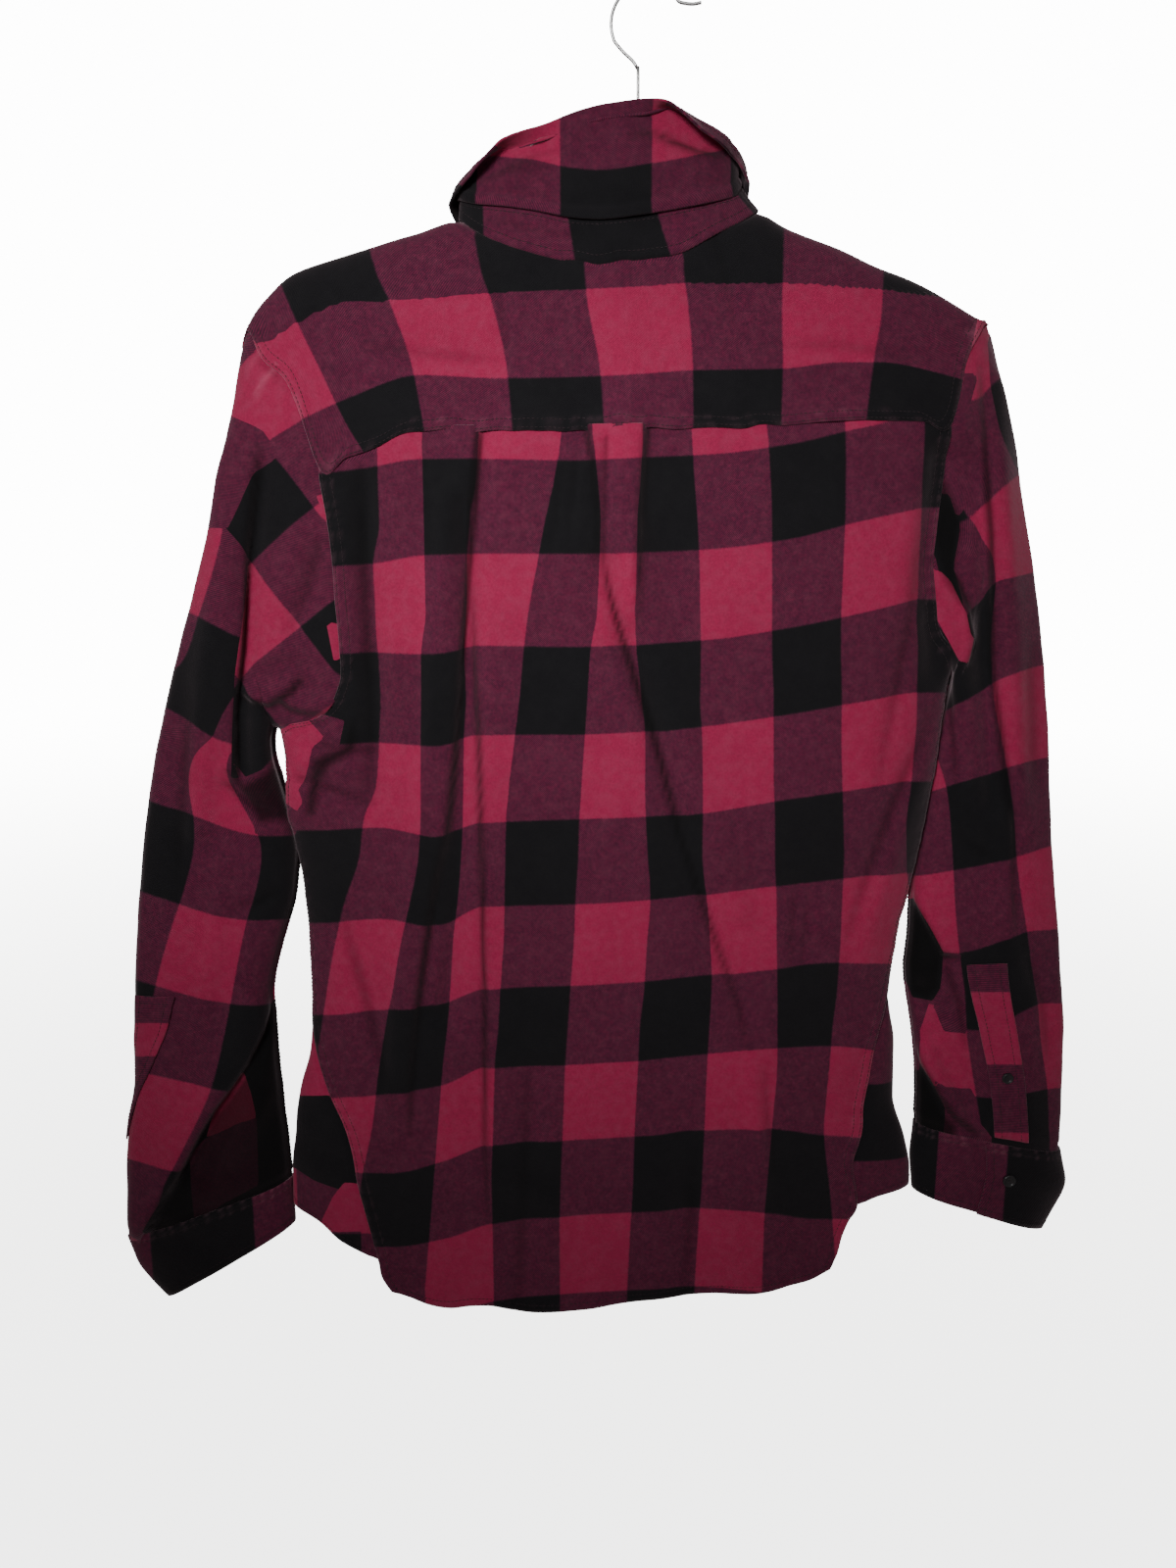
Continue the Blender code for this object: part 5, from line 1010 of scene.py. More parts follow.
# ---- yoke, back and fronts

def yoke_grid():
    """The yoke is a horseshoe round the neck: its rows run from the neckline to its outer edge."""
    x, z = yoke_seam_points()
    back_seam = np.array([(a, r_of(a, c, "back")) for a, c in zip(x, z)])
    left, right = [
        np.concatenate([yoke_armhole(side, "front")[::-1], yoke_armhole(side, "back")[1:]]) for side in SIDES
    ]
    outer = np.concatenate([left[:-1], back_seam, right[:-1][::-1]])
    neck = np.stack(neckline(yoke_neck_angles()), -1)
    flat = patch(neck, outer, front_seam("left")[::-1], front_seam("right")[::-1], 3.0)
    flat = finer(flat, YOKE_DOWN, YOKE_ACROSS)
    return shoulder_points(flat[..., 0], flat[..., 1])


def side_edge(side, part):
    """(q, z) points of a panel's outer edge: down the armhole, then down the side seam."""
    armhole = seam(PANEL_ARMHOLE[side, part], ARMHOLE_DOWN)
    return np.concatenate([armhole, seam(SIDE_SEAM[side], SIDE_STEPS[side])[1:]])


def back_grid():
    """The back. Its hem turns up at both ends, so the last rows of its sides belong to the hem."""
    x, z = yoke_seam_points()
    top = np.array([(q_of(a, c, "back"), c) for a, c in zip(x, z)])
    hem = along(BACK_HEM, HEM_STEPS)
    hem = np.array([(q_of(a, c, "back"), c) for a, c in hem])
    left = np.concatenate([side_edge("left", "back"), hem[1:HEM_UP["left"] + 1]])
    right = np.concatenate([side_edge("right", "back"), hem[::-1][1:HEM_UP["right"] + 1]])
    middle = hem[HEM_UP["left"]:HEM_STEPS + 1 - HEM_UP["right"]]
    at = np.linspace(0, 1, ACROSS_BACK + 1)
    bottom = smooth_through(np.linspace(0, 1, len(middle)), middle)(at)
    flat = finer(relaxed(patch(top, bottom, left, right, 1.5)), PANEL_DOWN, BACK_ACROSS)
    return body_points(flat[..., 0], flat[..., 1])


def front_grid(side, end_x):
    """One front: from its side seam round the edge of the body to the centre front."""
    sign = -1 if side == "left" else 1
    neck = np.stack(neckline(front_neck_angles(side)), -1)
    line = np.concatenate([front_seam(side), neck[1:]])
    top = in_body_terms(line[:, 0], line[:, 1])
    for k in range(len(neck) - 1):
        j = len(top) - 1 - k
        top[j, 0] = front_q(line[j, 0], top[j, 1], sign)
    outer = side_edge(side, "front")
    outer[0] = top[0]
    heights = np.linspace(top[-1, 1], FRONT_HEM[side][-1][-1][1], len(outer))
    edge = np.array([(front_q(end_x, z, sign), z) for z in heights])
    bottom = seam(FRONT_HEM[side], len(top) - 1)
    bottom[0] = outer[-1]
    bottom[-1] = edge[-1]
    flat = finer(relaxed(patch(top, bottom, outer, edge)), PANEL_DOWN, FRONT_ACROSS)
    q, z = flat[..., 0], flat[..., 1]
    middle, half, _ = tube_at(z)
    x = middle + half * np.sin(math.pi * q / 2)
    if side == "left":
        layer = FRONT_LAYER * np.clip((x + LAYER_FADE_LEFT) / LAYER_FADE, 0, 1)
    else:
        layer = -FRONT_LAYER * np.clip((LAYER_FADE - x) / LAYER_FADE, 0, 1)
    return body_points(q, z, layer * (np.cos(math.pi * q / 2) < 0))


def placket_grid():
    """The buttonhole band, from the left front's edge to its own, a strip of even width."""
    x, r = neckline(placket_neck_angles())
    top_z = shoulder_line(x) - fall(r)
    bottom_z = FRONT_HEM["left"][-1][-1][1]
    rows = ARMHOLE_DOWN + SIDE_STEPS["left"] + 1
    flat = np.array([
        [(front_q(a, z, -1), z) for z in np.linspace(top, bottom_z, rows)] for a, top in zip(x, top_z)
    ]).transpose(1, 0, 2)
    flat = finer(flat, PANEL_DOWN, PLACKET_ACROSS)
    return body_points(flat[..., 0], flat[..., 1], FRONT_LAYER)


# ---- sleeves and cuffs

def armhole_loop(side):
    """The armhole's points in space, from the shoulder point down the back and up the front."""
    on_yoke_back, on_yoke_front = yoke_armhole(side, "back"), yoke_armhole(side, "front")
    back = seam(PANEL_ARMHOLE[side, "back"], ARMHOLE_DOWN)
    front = seam(PANEL_ARMHOLE[side, "front"], ARMHOLE_DOWN)
    return np.concatenate([
        shoulder_points(on_yoke_back[:, 0], on_yoke_back[:, 1]),
        body_points(back[1:, 0], back[1:, 1]),
        body_points(front[1:-1, 0], front[1:-1, 1])[::-1],
        shoulder_points(on_yoke_front[1:, 0], on_yoke_front[1:, 1])[::-1],
    ])


def turns_of(loop):
    """Each armhole point's share of a turn: 0 at the shoulder point, a half at the underarm."""
    length = length_along(np.concatenate([loop, loop[:1]]))
    half, total = length[ARMHOLE_YOKE + ARMHOLE_DOWN], length[-1]
    length = length[:-1]
    return np.where(length <= half, length / half / 2, 0.5 + (length - half) / (total - half) / 2)


def tube_ring(row, turns):
    """One flattened ring of a sleeve or cuff."""
    outer = np.array([row[0], row[1]], float)
    inner = np.array([row[2], row[3]], float)
    share = -np.cos(2 * math.pi * turns)
    place = (outer + inner) / 2 + (inner - outer) / 2 * share[:, None]
    y = row[5] - row[4] * np.sin(2 * math.pi * turns) * np.sqrt(1 + share**2)
    return np.stack([place[:, 0], y, place[:, 1]], -1)


def lofted(rings, steps):
    """Rings filled in between with smooth curves, with the same number of steps in each span."""
    rings = np.asarray(rings, float)
    count = len(rings)
    at = np.linspace(0, count - 1, (count - 1) * steps + 1)
    line = smooth_through(np.arange(count), rings.reshape(count, -1))
    return line(at).reshape(len(at), rings.shape[1], 3)


def with_sleeve_folds(grid, side, turns):
    """Adds the sleeve's long folds to its back, and softer ones like them to its front."""
    relief = fold_relief(grid[..., 0], grid[..., 2], SLEEVE_FOLDS[side])
    facing_out = np.sin(2 * math.pi * turns)[None, :]
    relief = relief * np.clip(np.arange(len(grid)) / (SLEEVE_STEPS * SLEEVE_DOWN), 0, 1)[:, None]
    made = grid.copy()
    made[..., 1] -= relief * squarely(facing_out)
    made[..., 1] += FRONT_FOLD_SHARE * relief * squarely(-facing_out)
    return made


def sleeve_grid(side):
    """Levels and turns of the sleeve's finer grid, and the grid, whose last column is its first again."""
    loop = armhole_loop(side)
    turns = turns_of(loop)
    rows = SLEEVE[side]
    grid = lofted([loop] + [tube_ring(row, turns) for row in rows], SLEEVE_STEPS)
    grid = finer_ring(grid, SLEEVE_DOWN, SLEEVE_ACROSS)
    turns = finer_rows(np.append(turns, 1.0), SLEEVE_ACROSS)
    return np.linspace(0, len(rows), len(grid)), turns, with_sleeve_folds(grid, side, turns)


def cuff_grid(side):
    """A cuff: a band round the wrist whose ends lap over each other."""
    run = np.linspace(-CUFF_LAP, 1 + CUFF_LAP / 2, CUFF_COLUMNS + 1)
    grid = lofted([tube_ring(row, LAP_AT[side] - run) for row in CUFF[side]], CUFF_STEPS)
    outer_end = np.clip((CUFF_LIFTED - run) / CUFF_LIFT_FADE, 0, 1)
    inner_end = np.clip((run - 1 + CUFF_LIFTED) / CUFF_LIFT_FADE, 0, 1)
    normal = facing(grid, None)
    lift = (DOUBLE_CLOTH + LAYER_GAP) * CUFF_LIFT_SHARE * (outer_end - inner_end)
    return grid + normal * lift[None, :, None]


# ---- collar

def collar_ring(angle, z, out=0.0):
    """Points of the upper ring of the collar at a height, moved out level by a distance."""
    turn = np.radians(angle)
    x = COLLAR_CENTRE + COLLAR_HALF_WIDTH * np.sin(turn)
    depth = np.where(np.cos(turn) > 0, COLLAR_BACK_DEPTH, COLLAR_FRONT_DEPTH)
    y = -depth * np.cos(turn)
    across = np.sin(turn) / COLLAR_HALF_WIDTH
    forward = -np.cos(turn) / depth
    size = np.hypot(across, forward)
    return np.stack([x + out * across / size, y + out * forward / size, z], -1)


def stand_angles():
    """Angles of the stand's columns: those of the pieces below it, and the laps at its ends."""
    left = np.concatenate([front_neck_angles("left")[1:], placket_neck_angles()[1:], [-COLLAR_END]])
    right = np.concatenate([front_neck_angles("right")[1:], [COLLAR_END]])
    return np.concatenate([left[::-1], yoke_neck_angles(), right])


def lap_shift(angle):
    """How far the stand's ends part: its left end lies outside and its right end inside."""
    near_end = np.clip((np.abs(angle) - LAP_FROM) / LAP_FADE, 0, 1)
    return -np.sign(angle) * near_end * (DOUBLE_CLOTH + LAYER_GAP) * LAP_SHARE


def stand_grid():
    angle = stand_angles()
    foot = shoulder_points(*neckline(angle))
    head = collar_ring(angle, stand_top(angle))
    run = unit(np.gradient(foot, axis=0))
    rise = head - foot
    rise = unit(rise - run * np.sum(rise * run, axis=-1, keepdims=True))
    level = np.abs(np.sin(np.radians(angle)))[:, None] ** SIDE_SHARPNESS
    foot = foot + rise * (STAND_LIFT + STAND_SIDE_LIFT * level)
    foot[:, 1] += lap_shift(angle)
    head[:, 1] += lap_shift(angle)
    return np.array([head, (head + foot) / 2, foot])


def front_depth(x, z):
    """How far forward the fronts lie at a place, in millimetres."""
    middle, half, depth = tube_at(z)
    share = np.clip((x - middle) / half, -1, 1)
    full = depth * np.sqrt(1 - share**2) * np.sqrt(1 + share**2)
    return full * share_of_depth(np.maximum(shoulder_line(x) - z, 0))


def leaf_angles():
    """Angles of the leaf's columns: those of the stand, up to the leaf's ends near the centre front."""
    stand = stand_angles()
    return stand[(stand > -LEAF_END) & (stand < LEAF_END)]


def stand_lean(angle):
    """How far the stand's foot lies outside its head, and the heights of both."""
    foot = shoulder_points(*neckline(angle))
    head = collar_ring(angle, stand_top(angle))
    way_out = collar_ring(angle, stand_top(angle), 1.0) - head
    return np.sum((foot - head) * way_out, axis=-1), head[:, 2], foot[:, 2]


def leaf_profile(crest, turn, length, foot):
    """(height, distance out) down one section of the leaf, from the stand over the roll to its edge."""
    roll = max(ROLL_RADIUS * turn, SHORTEST_ROLL)
    sharpness = max(turn, 1e-6) / roll
    bend = sharpness * roll * np.linspace(0, 1, ROLL_STEPS + 1)
    up = np.sin(bend) / sharpness
    out = (1 - np.cos(bend)) / sharpness
    past = length * np.linspace(0, 1, FLAP_STEPS + 1)[1:]
    up = np.concatenate([up, up[-1] + past * math.cos(turn)])
    out = np.concatenate([out, out[-1] + past * math.sin(turn)])
    start = crest - up.max()
    rise = np.linspace(foot, start, RISE_STEPS + 1)
    return np.concatenate([rise[:-1], start + up]), np.concatenate([np.zeros(RISE_STEPS), out])


def leaf_grid():
    """The collar leaf, row by row from the stand to its free edge."""
    angle = leaf_angles()
    foot = stand_top(angle) + LEAF_LIFT
    found = leaf_rows(angle)
    sections = [
        leaf_profile(row[0], math.radians(row[1]), row[2], base) for row, base in zip(found, foot)
    ]
    z = np.array([section[0] for section in sections]).T
    out = np.array([section[1] for section in sections]).T
    past_roll = np.clip((np.arange(len(z)) - RISE_STEPS - ROLL_STEPS) / FLAP_STEPS, 0, 1)[:, None]
    front = np.clip((np.abs(angle) - FLAT_FROM) / (LEAF_END - FLAT_FROM), 0, 1)
    slid = angle[None, :] - np.sign(angle) * POINT_SPREAD * front**2 * past_roll
    lean, head_z, foot_z = stand_lean(angle)
    below_head = np.clip((head_z - z) / (head_z - foot_z), 0, 1)
    made = collar_ring(slid, z, out + lean * below_head * (np.abs(angle) < FLAT_FROM))
    made[..., 1] += lap_shift(angle) * (1 - past_roll)
    clear = front_depth(made[..., 0], made[..., 2]) + LEAF_CLEAR_OF_BODY
    over_front = np.clip((np.abs(angle) - LEAF_LIES_FROM) / LEAF_LIES_FADE, 0, 1)
    rolled = np.clip((np.arange(len(z)) - RISE_STEPS - 1) / (ROLL_STEPS - 1), 0, 1)[:, None]
    share = over_front * rolled
    made[..., 1] += share * np.maximum(clear - made[..., 1], 0)
    return made


# ---- hanger route

def arc(centre, radius, start, end, count):
    """Points on an arc in the hanger's plane, angles in degrees from +X."""
    turns = np.radians(np.linspace(start, end, count + 1))
    return [(centre[0] + radius * math.cos(a), 0.0, centre[1] + radius * math.sin(a)) for a in turns]


def under_shoulder(x):
    return float(shoulder_line(x)) - CLOTH / 2 - WIRE_UNDER_CLOTH - WIRE_RADIUS


def hanger_route():
    """One wire: the hook, its neck, the left arm, the bar, the right arm and its wrap round the neck."""
    route = list(HOOK_TIP)
    route += arc((HOOK_CENTRE_X, WIRE_RADIUS - HOOK_RADIUS), HOOK_RADIUS, *HOOK_SWEEP, HOOK_STEPS)
    route += list(HANGER_NECK)
    route += [(x, 0, under_shoulder(x)) for x in np.linspace(*LEFT_ARM_X, ARM_STEPS)]
    route += list(HANGER_BAR)
    route += [(x, 0, under_shoulder(x)) for x in np.linspace(*RIGHT_ARM_X, ARM_STEPS)]
    route += list(WRAP_LEAD)
    wrap_radius = 2 * WIRE_RADIUS + WRAP_AIR
    for k in range(WRAP_STEPS + 1):
        turn = -math.pi / 2 - 2 * math.pi * WRAP_TURNS * k / WRAP_STEPS
        z = WRAP_START_Z + WRAP_PITCH * WRAP_TURNS * k / WRAP_STEPS
        route.append((NECK_WIRE_X + wrap_radius * math.cos(turn), wrap_radius * math.sin(turn), z))
    return np.array(route)


# ---- where checks and creases are laid out

def laid_out(points):
    """x and z of points as they line up, from where one stands behind the shirt, on an upright plane."""
    share = (LAYOUT_Y - EYE[1]) / (points[..., 1] - EYE[1])
    return EYE[0] + (points[..., 0] - EYE[0]) * share, EYE[2] + (points[..., 2] - EYE[2]) * share


def waves(at, periods, seed):
    """A gentle unevenness along a length, from a few waves of unlike periods."""
    phase = np.random.default_rng(seed).uniform(0, 2 * math.pi, len(periods))
    return sum(np.sin(2 * math.pi * at / p + a) for p, a in zip(periods, phase)) / len(periods)


def crease_field(x, z, creases):
    """How far the creases stand out at each place, how much painted shade darkens it and how much rubbing and
    painted highlight lighten it.
    """
    relief = np.zeros_like(x)
    shade = np.zeros_like(x)
    ridge_rub_and_highlight = np.zeros_like(x)
    for kind, width, out, fade_in, fade_out, path in creases:
        path = np.asarray(path, float)
        length = length_along(path)
        best = np.full(x.shape, 1e9)
        signed = np.zeros_like(x)
        share = np.zeros_like(x)
        for a, b, done in zip(path[:-1], path[1:], length):
            run = b - a
            t, away = to_segment(x, z, a, b)
            nearer = away < best
            best = np.where(nearer, away, best)
            side = np.sign(run[0] * (z - a[1]) - run[1] * (x - a[0]))
            signed = np.where(nearer, side * away, signed)
            share = np.where(nearer, (done + t * math.hypot(*run)) / length[-1], share)
        start = np.clip(share / fade_in, 0, 1) if fade_in else 1.0
        end = np.clip((1 - share) / fade_out, 0, 1) if fade_out else 1.0
        fade = np.sqrt(start * end)
        # Troughs and the low side of each pressed fold get painted shade; the crest of each lightened ridge
        # gets rubbing and painted highlight.
        if kind in ("ridge", "rub_and_highlight"):
            relief += fade * out * np.exp(-((best / width) ** 2))
            ridge_rub_and_highlight += fade * (kind == "rub_and_highlight") * np.exp(-((best / (0.8 * width)) ** 2))
            if out < 0:
                shade += fade * min(-out / 4, 1) * np.exp(-((best / (0.5 * width)) ** 2))
        else:
            high = -signed if kind == "step" else signed
            over = np.where(high > 0, np.exp(-((high / width) ** 2)), np.exp(-((high / STEP_EDGE) ** 2)))
            relief += fade * out * (over - 0.25 * np.exp(-(((high + 7) / 5) ** 2)))
            shade += fade * min(out / 3, 1) * np.exp(-(((high + 2.6) / 2.6) ** 2))
    return relief, np.clip(shade, 0, 1), np.clip(ridge_rub_and_highlight, 0, 1)


def counted(lines, at):
    """How many lines a place is past, with its share of the way to the next."""
    passed = np.clip(np.sum(at[..., None] >= lines, axis=-1), 1, lines.shape[-1] - 1)
    low = np.take_along_axis(lines, (passed - 1)[..., None], -1)[..., 0]
    high = np.take_along_axis(lines, passed[..., None], -1)[..., 0]
    return passed - 1 + (at - low) / (high - low)


def back_checks(grid):
    x, z = laid_out(grid)
    across = counted(through_rows(BACK_STRIPES[::-1])(z), x)
    down = counted(-through_rows(BACK_ROWS)(x), -z) - 1
    return np.stack([across, down], -1)[None]


def yoke_checks(grid):
    x, z = laid_out(grid)
    across = counted(through_rows(YOKE_STRIPES[::-1])(z), x)
    r = np.linspace(-0.93, 0.93, 187)
    length = length_along(np.stack([r * YOKE_DEPTH, -fall(r)], -1))
    own_r = np.clip(grid[..., 1] / YOKE_DEPTH, -1, 1)
    line = through_rows(YOKE_ROWS)(x)
    below = np.maximum(shoulder_line(x) - line[..., 0], 0)
    line_r = -share_of_depth(below)
    over = (np.interp(line_r, r, length) - np.interp(own_r, r, length)) / CHECK_ACROSS - 1
    on_back = (line[..., 0] - z) / (line[..., 0] - line[..., 1]) - 1
    down = np.where((z < line[..., 0]) & (grid[..., 1] < 0), on_back, over)
    return np.stack([across, down], -1)[None]


def front_checks(side):
    """The fronts are cut square to the cloth, with rows that meet the back's near the side seams."""
    def checks(grid):
        x, z = grid[..., 0], grid[..., 2]
        shift = FRONT_SAG * ((x + 30) / 200) ** 2
        across = (FRONT_STRIPE_X[side] - x) / CHECK_UP
        return np.stack([across, (FRONT_ROW_Z - shift - z) / CHECK_ACROSS], -1)[None]
    return checks


def warp(control):
    control = np.asarray(control, float)
    place, value = control[:, :2] / 100, control[:, 2:]
    count = len(place)

    def bend(a, b):
        d = np.linalg.norm(a[..., None, :] - b, axis=-1)
        return d**2 * np.log(d + 1e-9)

    system = np.zeros((count + 3, count + 3))
    system[:count, :count] = bend(place, place) + np.eye(count) * WARP_EASE
    system[:count, count] = 1
    system[:count, count + 1:] = place
    system[count:, :count] = system[:count, count:].T
    weights = np.linalg.solve(system, np.concatenate([value, np.zeros((3, value.shape[1]))]))

    def cells(x, z):
        at = np.stack([x, z], -1) / 100
        return bend(at, place) @ weights[:count] + weights[count] + at @ weights[count + 1:]

    return cells


def sleeve_checks(grid, turns, side):
    """Cells on the back half, and on the front half the same ones mirrored at the sleeve's outer edge."""
    x, z = laid_out(grid)
    zones = []
    outer = int(np.argmin(np.abs(turns - 1)))
    for control in SLEEVE_CELLS[side]:
        cells = warp(control)(x, z)
        edge = cells[:, outer:outer + 1]
        front = (turns < 1)[None, :]
        mirrored = np.stack([2 * edge[..., 0] - cells[..., 0], cells[..., 1]], -1)
        zones.append(np.where(front[..., None], mirrored, cells))
    return np.array(zones)


def left_sleeve_zones(grid):
    """How far inside the turned upper arm each point lies."""
    x, z = laid_out(grid)
    crease = smooth_through(*zip(*[(b, a) for a, b in ARM_CREASE[::-1]]))(z)
    return {"turned": np.minimum(x - crease, z - ELBOW_Z)}


def inside_by(x, z, corners):
    """Distance from a closed outline, positive inside it."""
    corners = np.asarray(corners, float)
    nearest = np.full(x.shape, 1e9)
    odd = np.zeros(x.shape, bool)
    for a, b in zip(corners, np.roll(corners, -1, axis=0)):
        run = b - a
        nearest = np.minimum(nearest, to_segment(x, z, a, b)[1])
        slope = run[0] / (run[1] or 1e-9)
        odd ^= ((a[1] > z) != (b[1] > z)) & (x < a[0] + (z - a[1]) * slope)
    return np.where(odd, nearest, -nearest)


def patch_fields(name, x, z, seen):
    """Where folds bring another part of the check to the outside, and where they are dark or worn."""
    fields = {}
    for kind, corners in PATCHES.get(name, ()):
        inside = np.where(seen, inside_by(x, z, corners), -9.0)
        fields[kind] = np.maximum(fields[kind], inside) if kind in fields else inside
    return fields


def cuff_checks(grid, edges, first):
    """A cuff's cells, from where its columns change along x; its rows are one check deep."""
    x, _ = laid_out(grid)
    at = np.asarray(edges, float)
    past = np.minimum(x - at[0], 0) + np.maximum(x - at[-1], 0)
    across = np.interp(x, at, np.arange(len(at)) + first) + past / CHECK_UP
    down = 0.2 + 0.6 * np.linspace(0, 1, len(grid))[:, None] * np.ones(grid.shape[1])
    return np.stack([across, down], -1)[None]


# ---- walls of cloth

def from_edge(field, edge):
    """A field's rows or columns in order from one of its edges (t, b, l, r)."""
    lines = field if edge in "tb" else np.swapaxes(field, 0, 1)
    return lines[::-1] if edge in "br" else lines


def away_from(grid, edge):
    """Each point's distance from an edge, measured along its own row or column."""
    away = np.zeros(grid.shape[:2])
    steps = np.linalg.norm(np.diff(from_edge(grid, edge), axis=0), axis=-1)
    from_edge(away, edge)[1:] = np.cumsum(steps, axis=0)
    return away


def edge_share(grid, edge):
    """How far along an edge each point lies, from 0 to 1."""
    share = np.zeros(grid.shape[:2])
    lines = from_edge(share, edge)
    lines[:] = np.linspace(0, 1, lines.shape[1])
    return share


def reach_out(grid, edge, start, end, by):
    """Moves part of an edge outwards, so that it lies under its neighbour."""
    line, inner = from_edge(grid, edge)[:2]
    share = np.linspace(0, 1, len(line))
    part = ((share >= start) & (share <= end))[:, None]
    line += part * unit(line - inner) * by


def seam_line(grid, normals, edge, start, end, distance):
    """Points and normals on a line at an even distance from part of an edge."""
    away = from_edge(away_from(grid, edge), edge)
    j = np.clip(np.sum(away <= distance, axis=0) - 1, 0, len(away) - 2)
    i = np.arange(away.shape[1])
    t = ((distance - away[j, i]) / (away[j + 1, i] - away[j, i]))[:, None]
    share = np.linspace(0, 1, len(i))
    part = (share >= start) & (share <= end)
    fields = [from_edge(field, edge) for field in (grid, normals)]
    return [(field[j, i] * (1 - t) + field[j + 1, i] * t)[part] for field in fields]


def wall_mesh(grid, normals, thick):
    """A closed wall of quads: its outer face, its inner face, and a rounded rim all round."""
    rows, columns = grid.shape[:2]
    count = rows * columns
    lift = normals * (thick / 2)
    number = np.arange(count).reshape(rows, columns)
    border = np.concatenate([number[0], number[1:, -1], number[-1, -2::-1], number[-2:0:-1, 0]])
    flat = grid.reshape(-1, 3)
    ring = flat[border]
    run = np.roll(ring, -1, axis=0) - np.roll(ring, 1, axis=0)
    out = unit(np.cross(run, normals.reshape(-1, 3)[border]))
    inner_side = flat[np.concatenate([number[1], number[1:, -2], number[-2, -2::-1], number[-2:0:-1, 1]])]
    out *= np.sign(np.sum(out * (ring - inner_side), axis=-1, keepdims=True))
    middle = ring + out * (RIM_ROUND * CLOTH)
    points = np.concatenate([(grid + lift).reshape(-1, 3), (grid - lift).reshape(-1, 3), middle])
    a, b, c, d = number[:-1, :-1], number[:-1, 1:], number[1:, 1:], number[1:, :-1]
    outer = np.stack([a, b, c, d], -1).reshape(-1, 4)
    across = flat[outer[:, 1]] - flat[outer[:, 0]]
    down = flat[outer[:, 3]] - flat[outer[:, 0]]
    turned = np.sum(np.cross(across, down) * normals.reshape(-1, 3)[outer[:, 0]]) < 0
    if turned:
        outer = outer[:, ::-1]
    inner = outer[:, ::-1] + count
    rim = np.arange(len(border)) + 2 * count
    after = np.roll(border, -1)
    rim_after = np.roll(rim, -1)
    upper = np.stack([border, rim, rim_after, after], -1)
    lower = np.stack([rim, border + count, after + count, rim_after], -1)
    if turned:
        upper, lower = upper[:, ::-1], lower[:, ::-1]
    quads = np.concatenate([outer, inner, upper, lower])
    source = np.concatenate([np.arange(count), np.arange(count), border])
    return points, quads, source


def mesh_object(name, points, quads, material):
    mesh = bpy.data.meshes.new(name)
    mesh.vertices.add(len(points))
    mesh.vertices.foreach_set("co", (np.asarray(points, float) * MM).ravel())
    mesh.loops.add(quads.size)
    mesh.loops.foreach_set("vertex_index", np.ascontiguousarray(quads, dtype=np.int32).ravel())
    mesh.polygons.add(len(quads))
    mesh.polygons.foreach_set("loop_start", np.arange(0, quads.size, quads.shape[1], dtype=np.int32))
    mesh.update(calc_edges=True)
    mesh.materials.append(material)
    mesh.shade_smooth()
    made = bpy.data.objects.new(name, mesh)
    bpy.context.scene.collection.objects.link(made)
    return made


def add_field(mesh, name, values):
    field = mesh.attributes.new(name, "FLOAT", "POINT")
    field.data.foreach_set("value", np.asarray(values, np.float32).ravel())


stitch_lines = {}


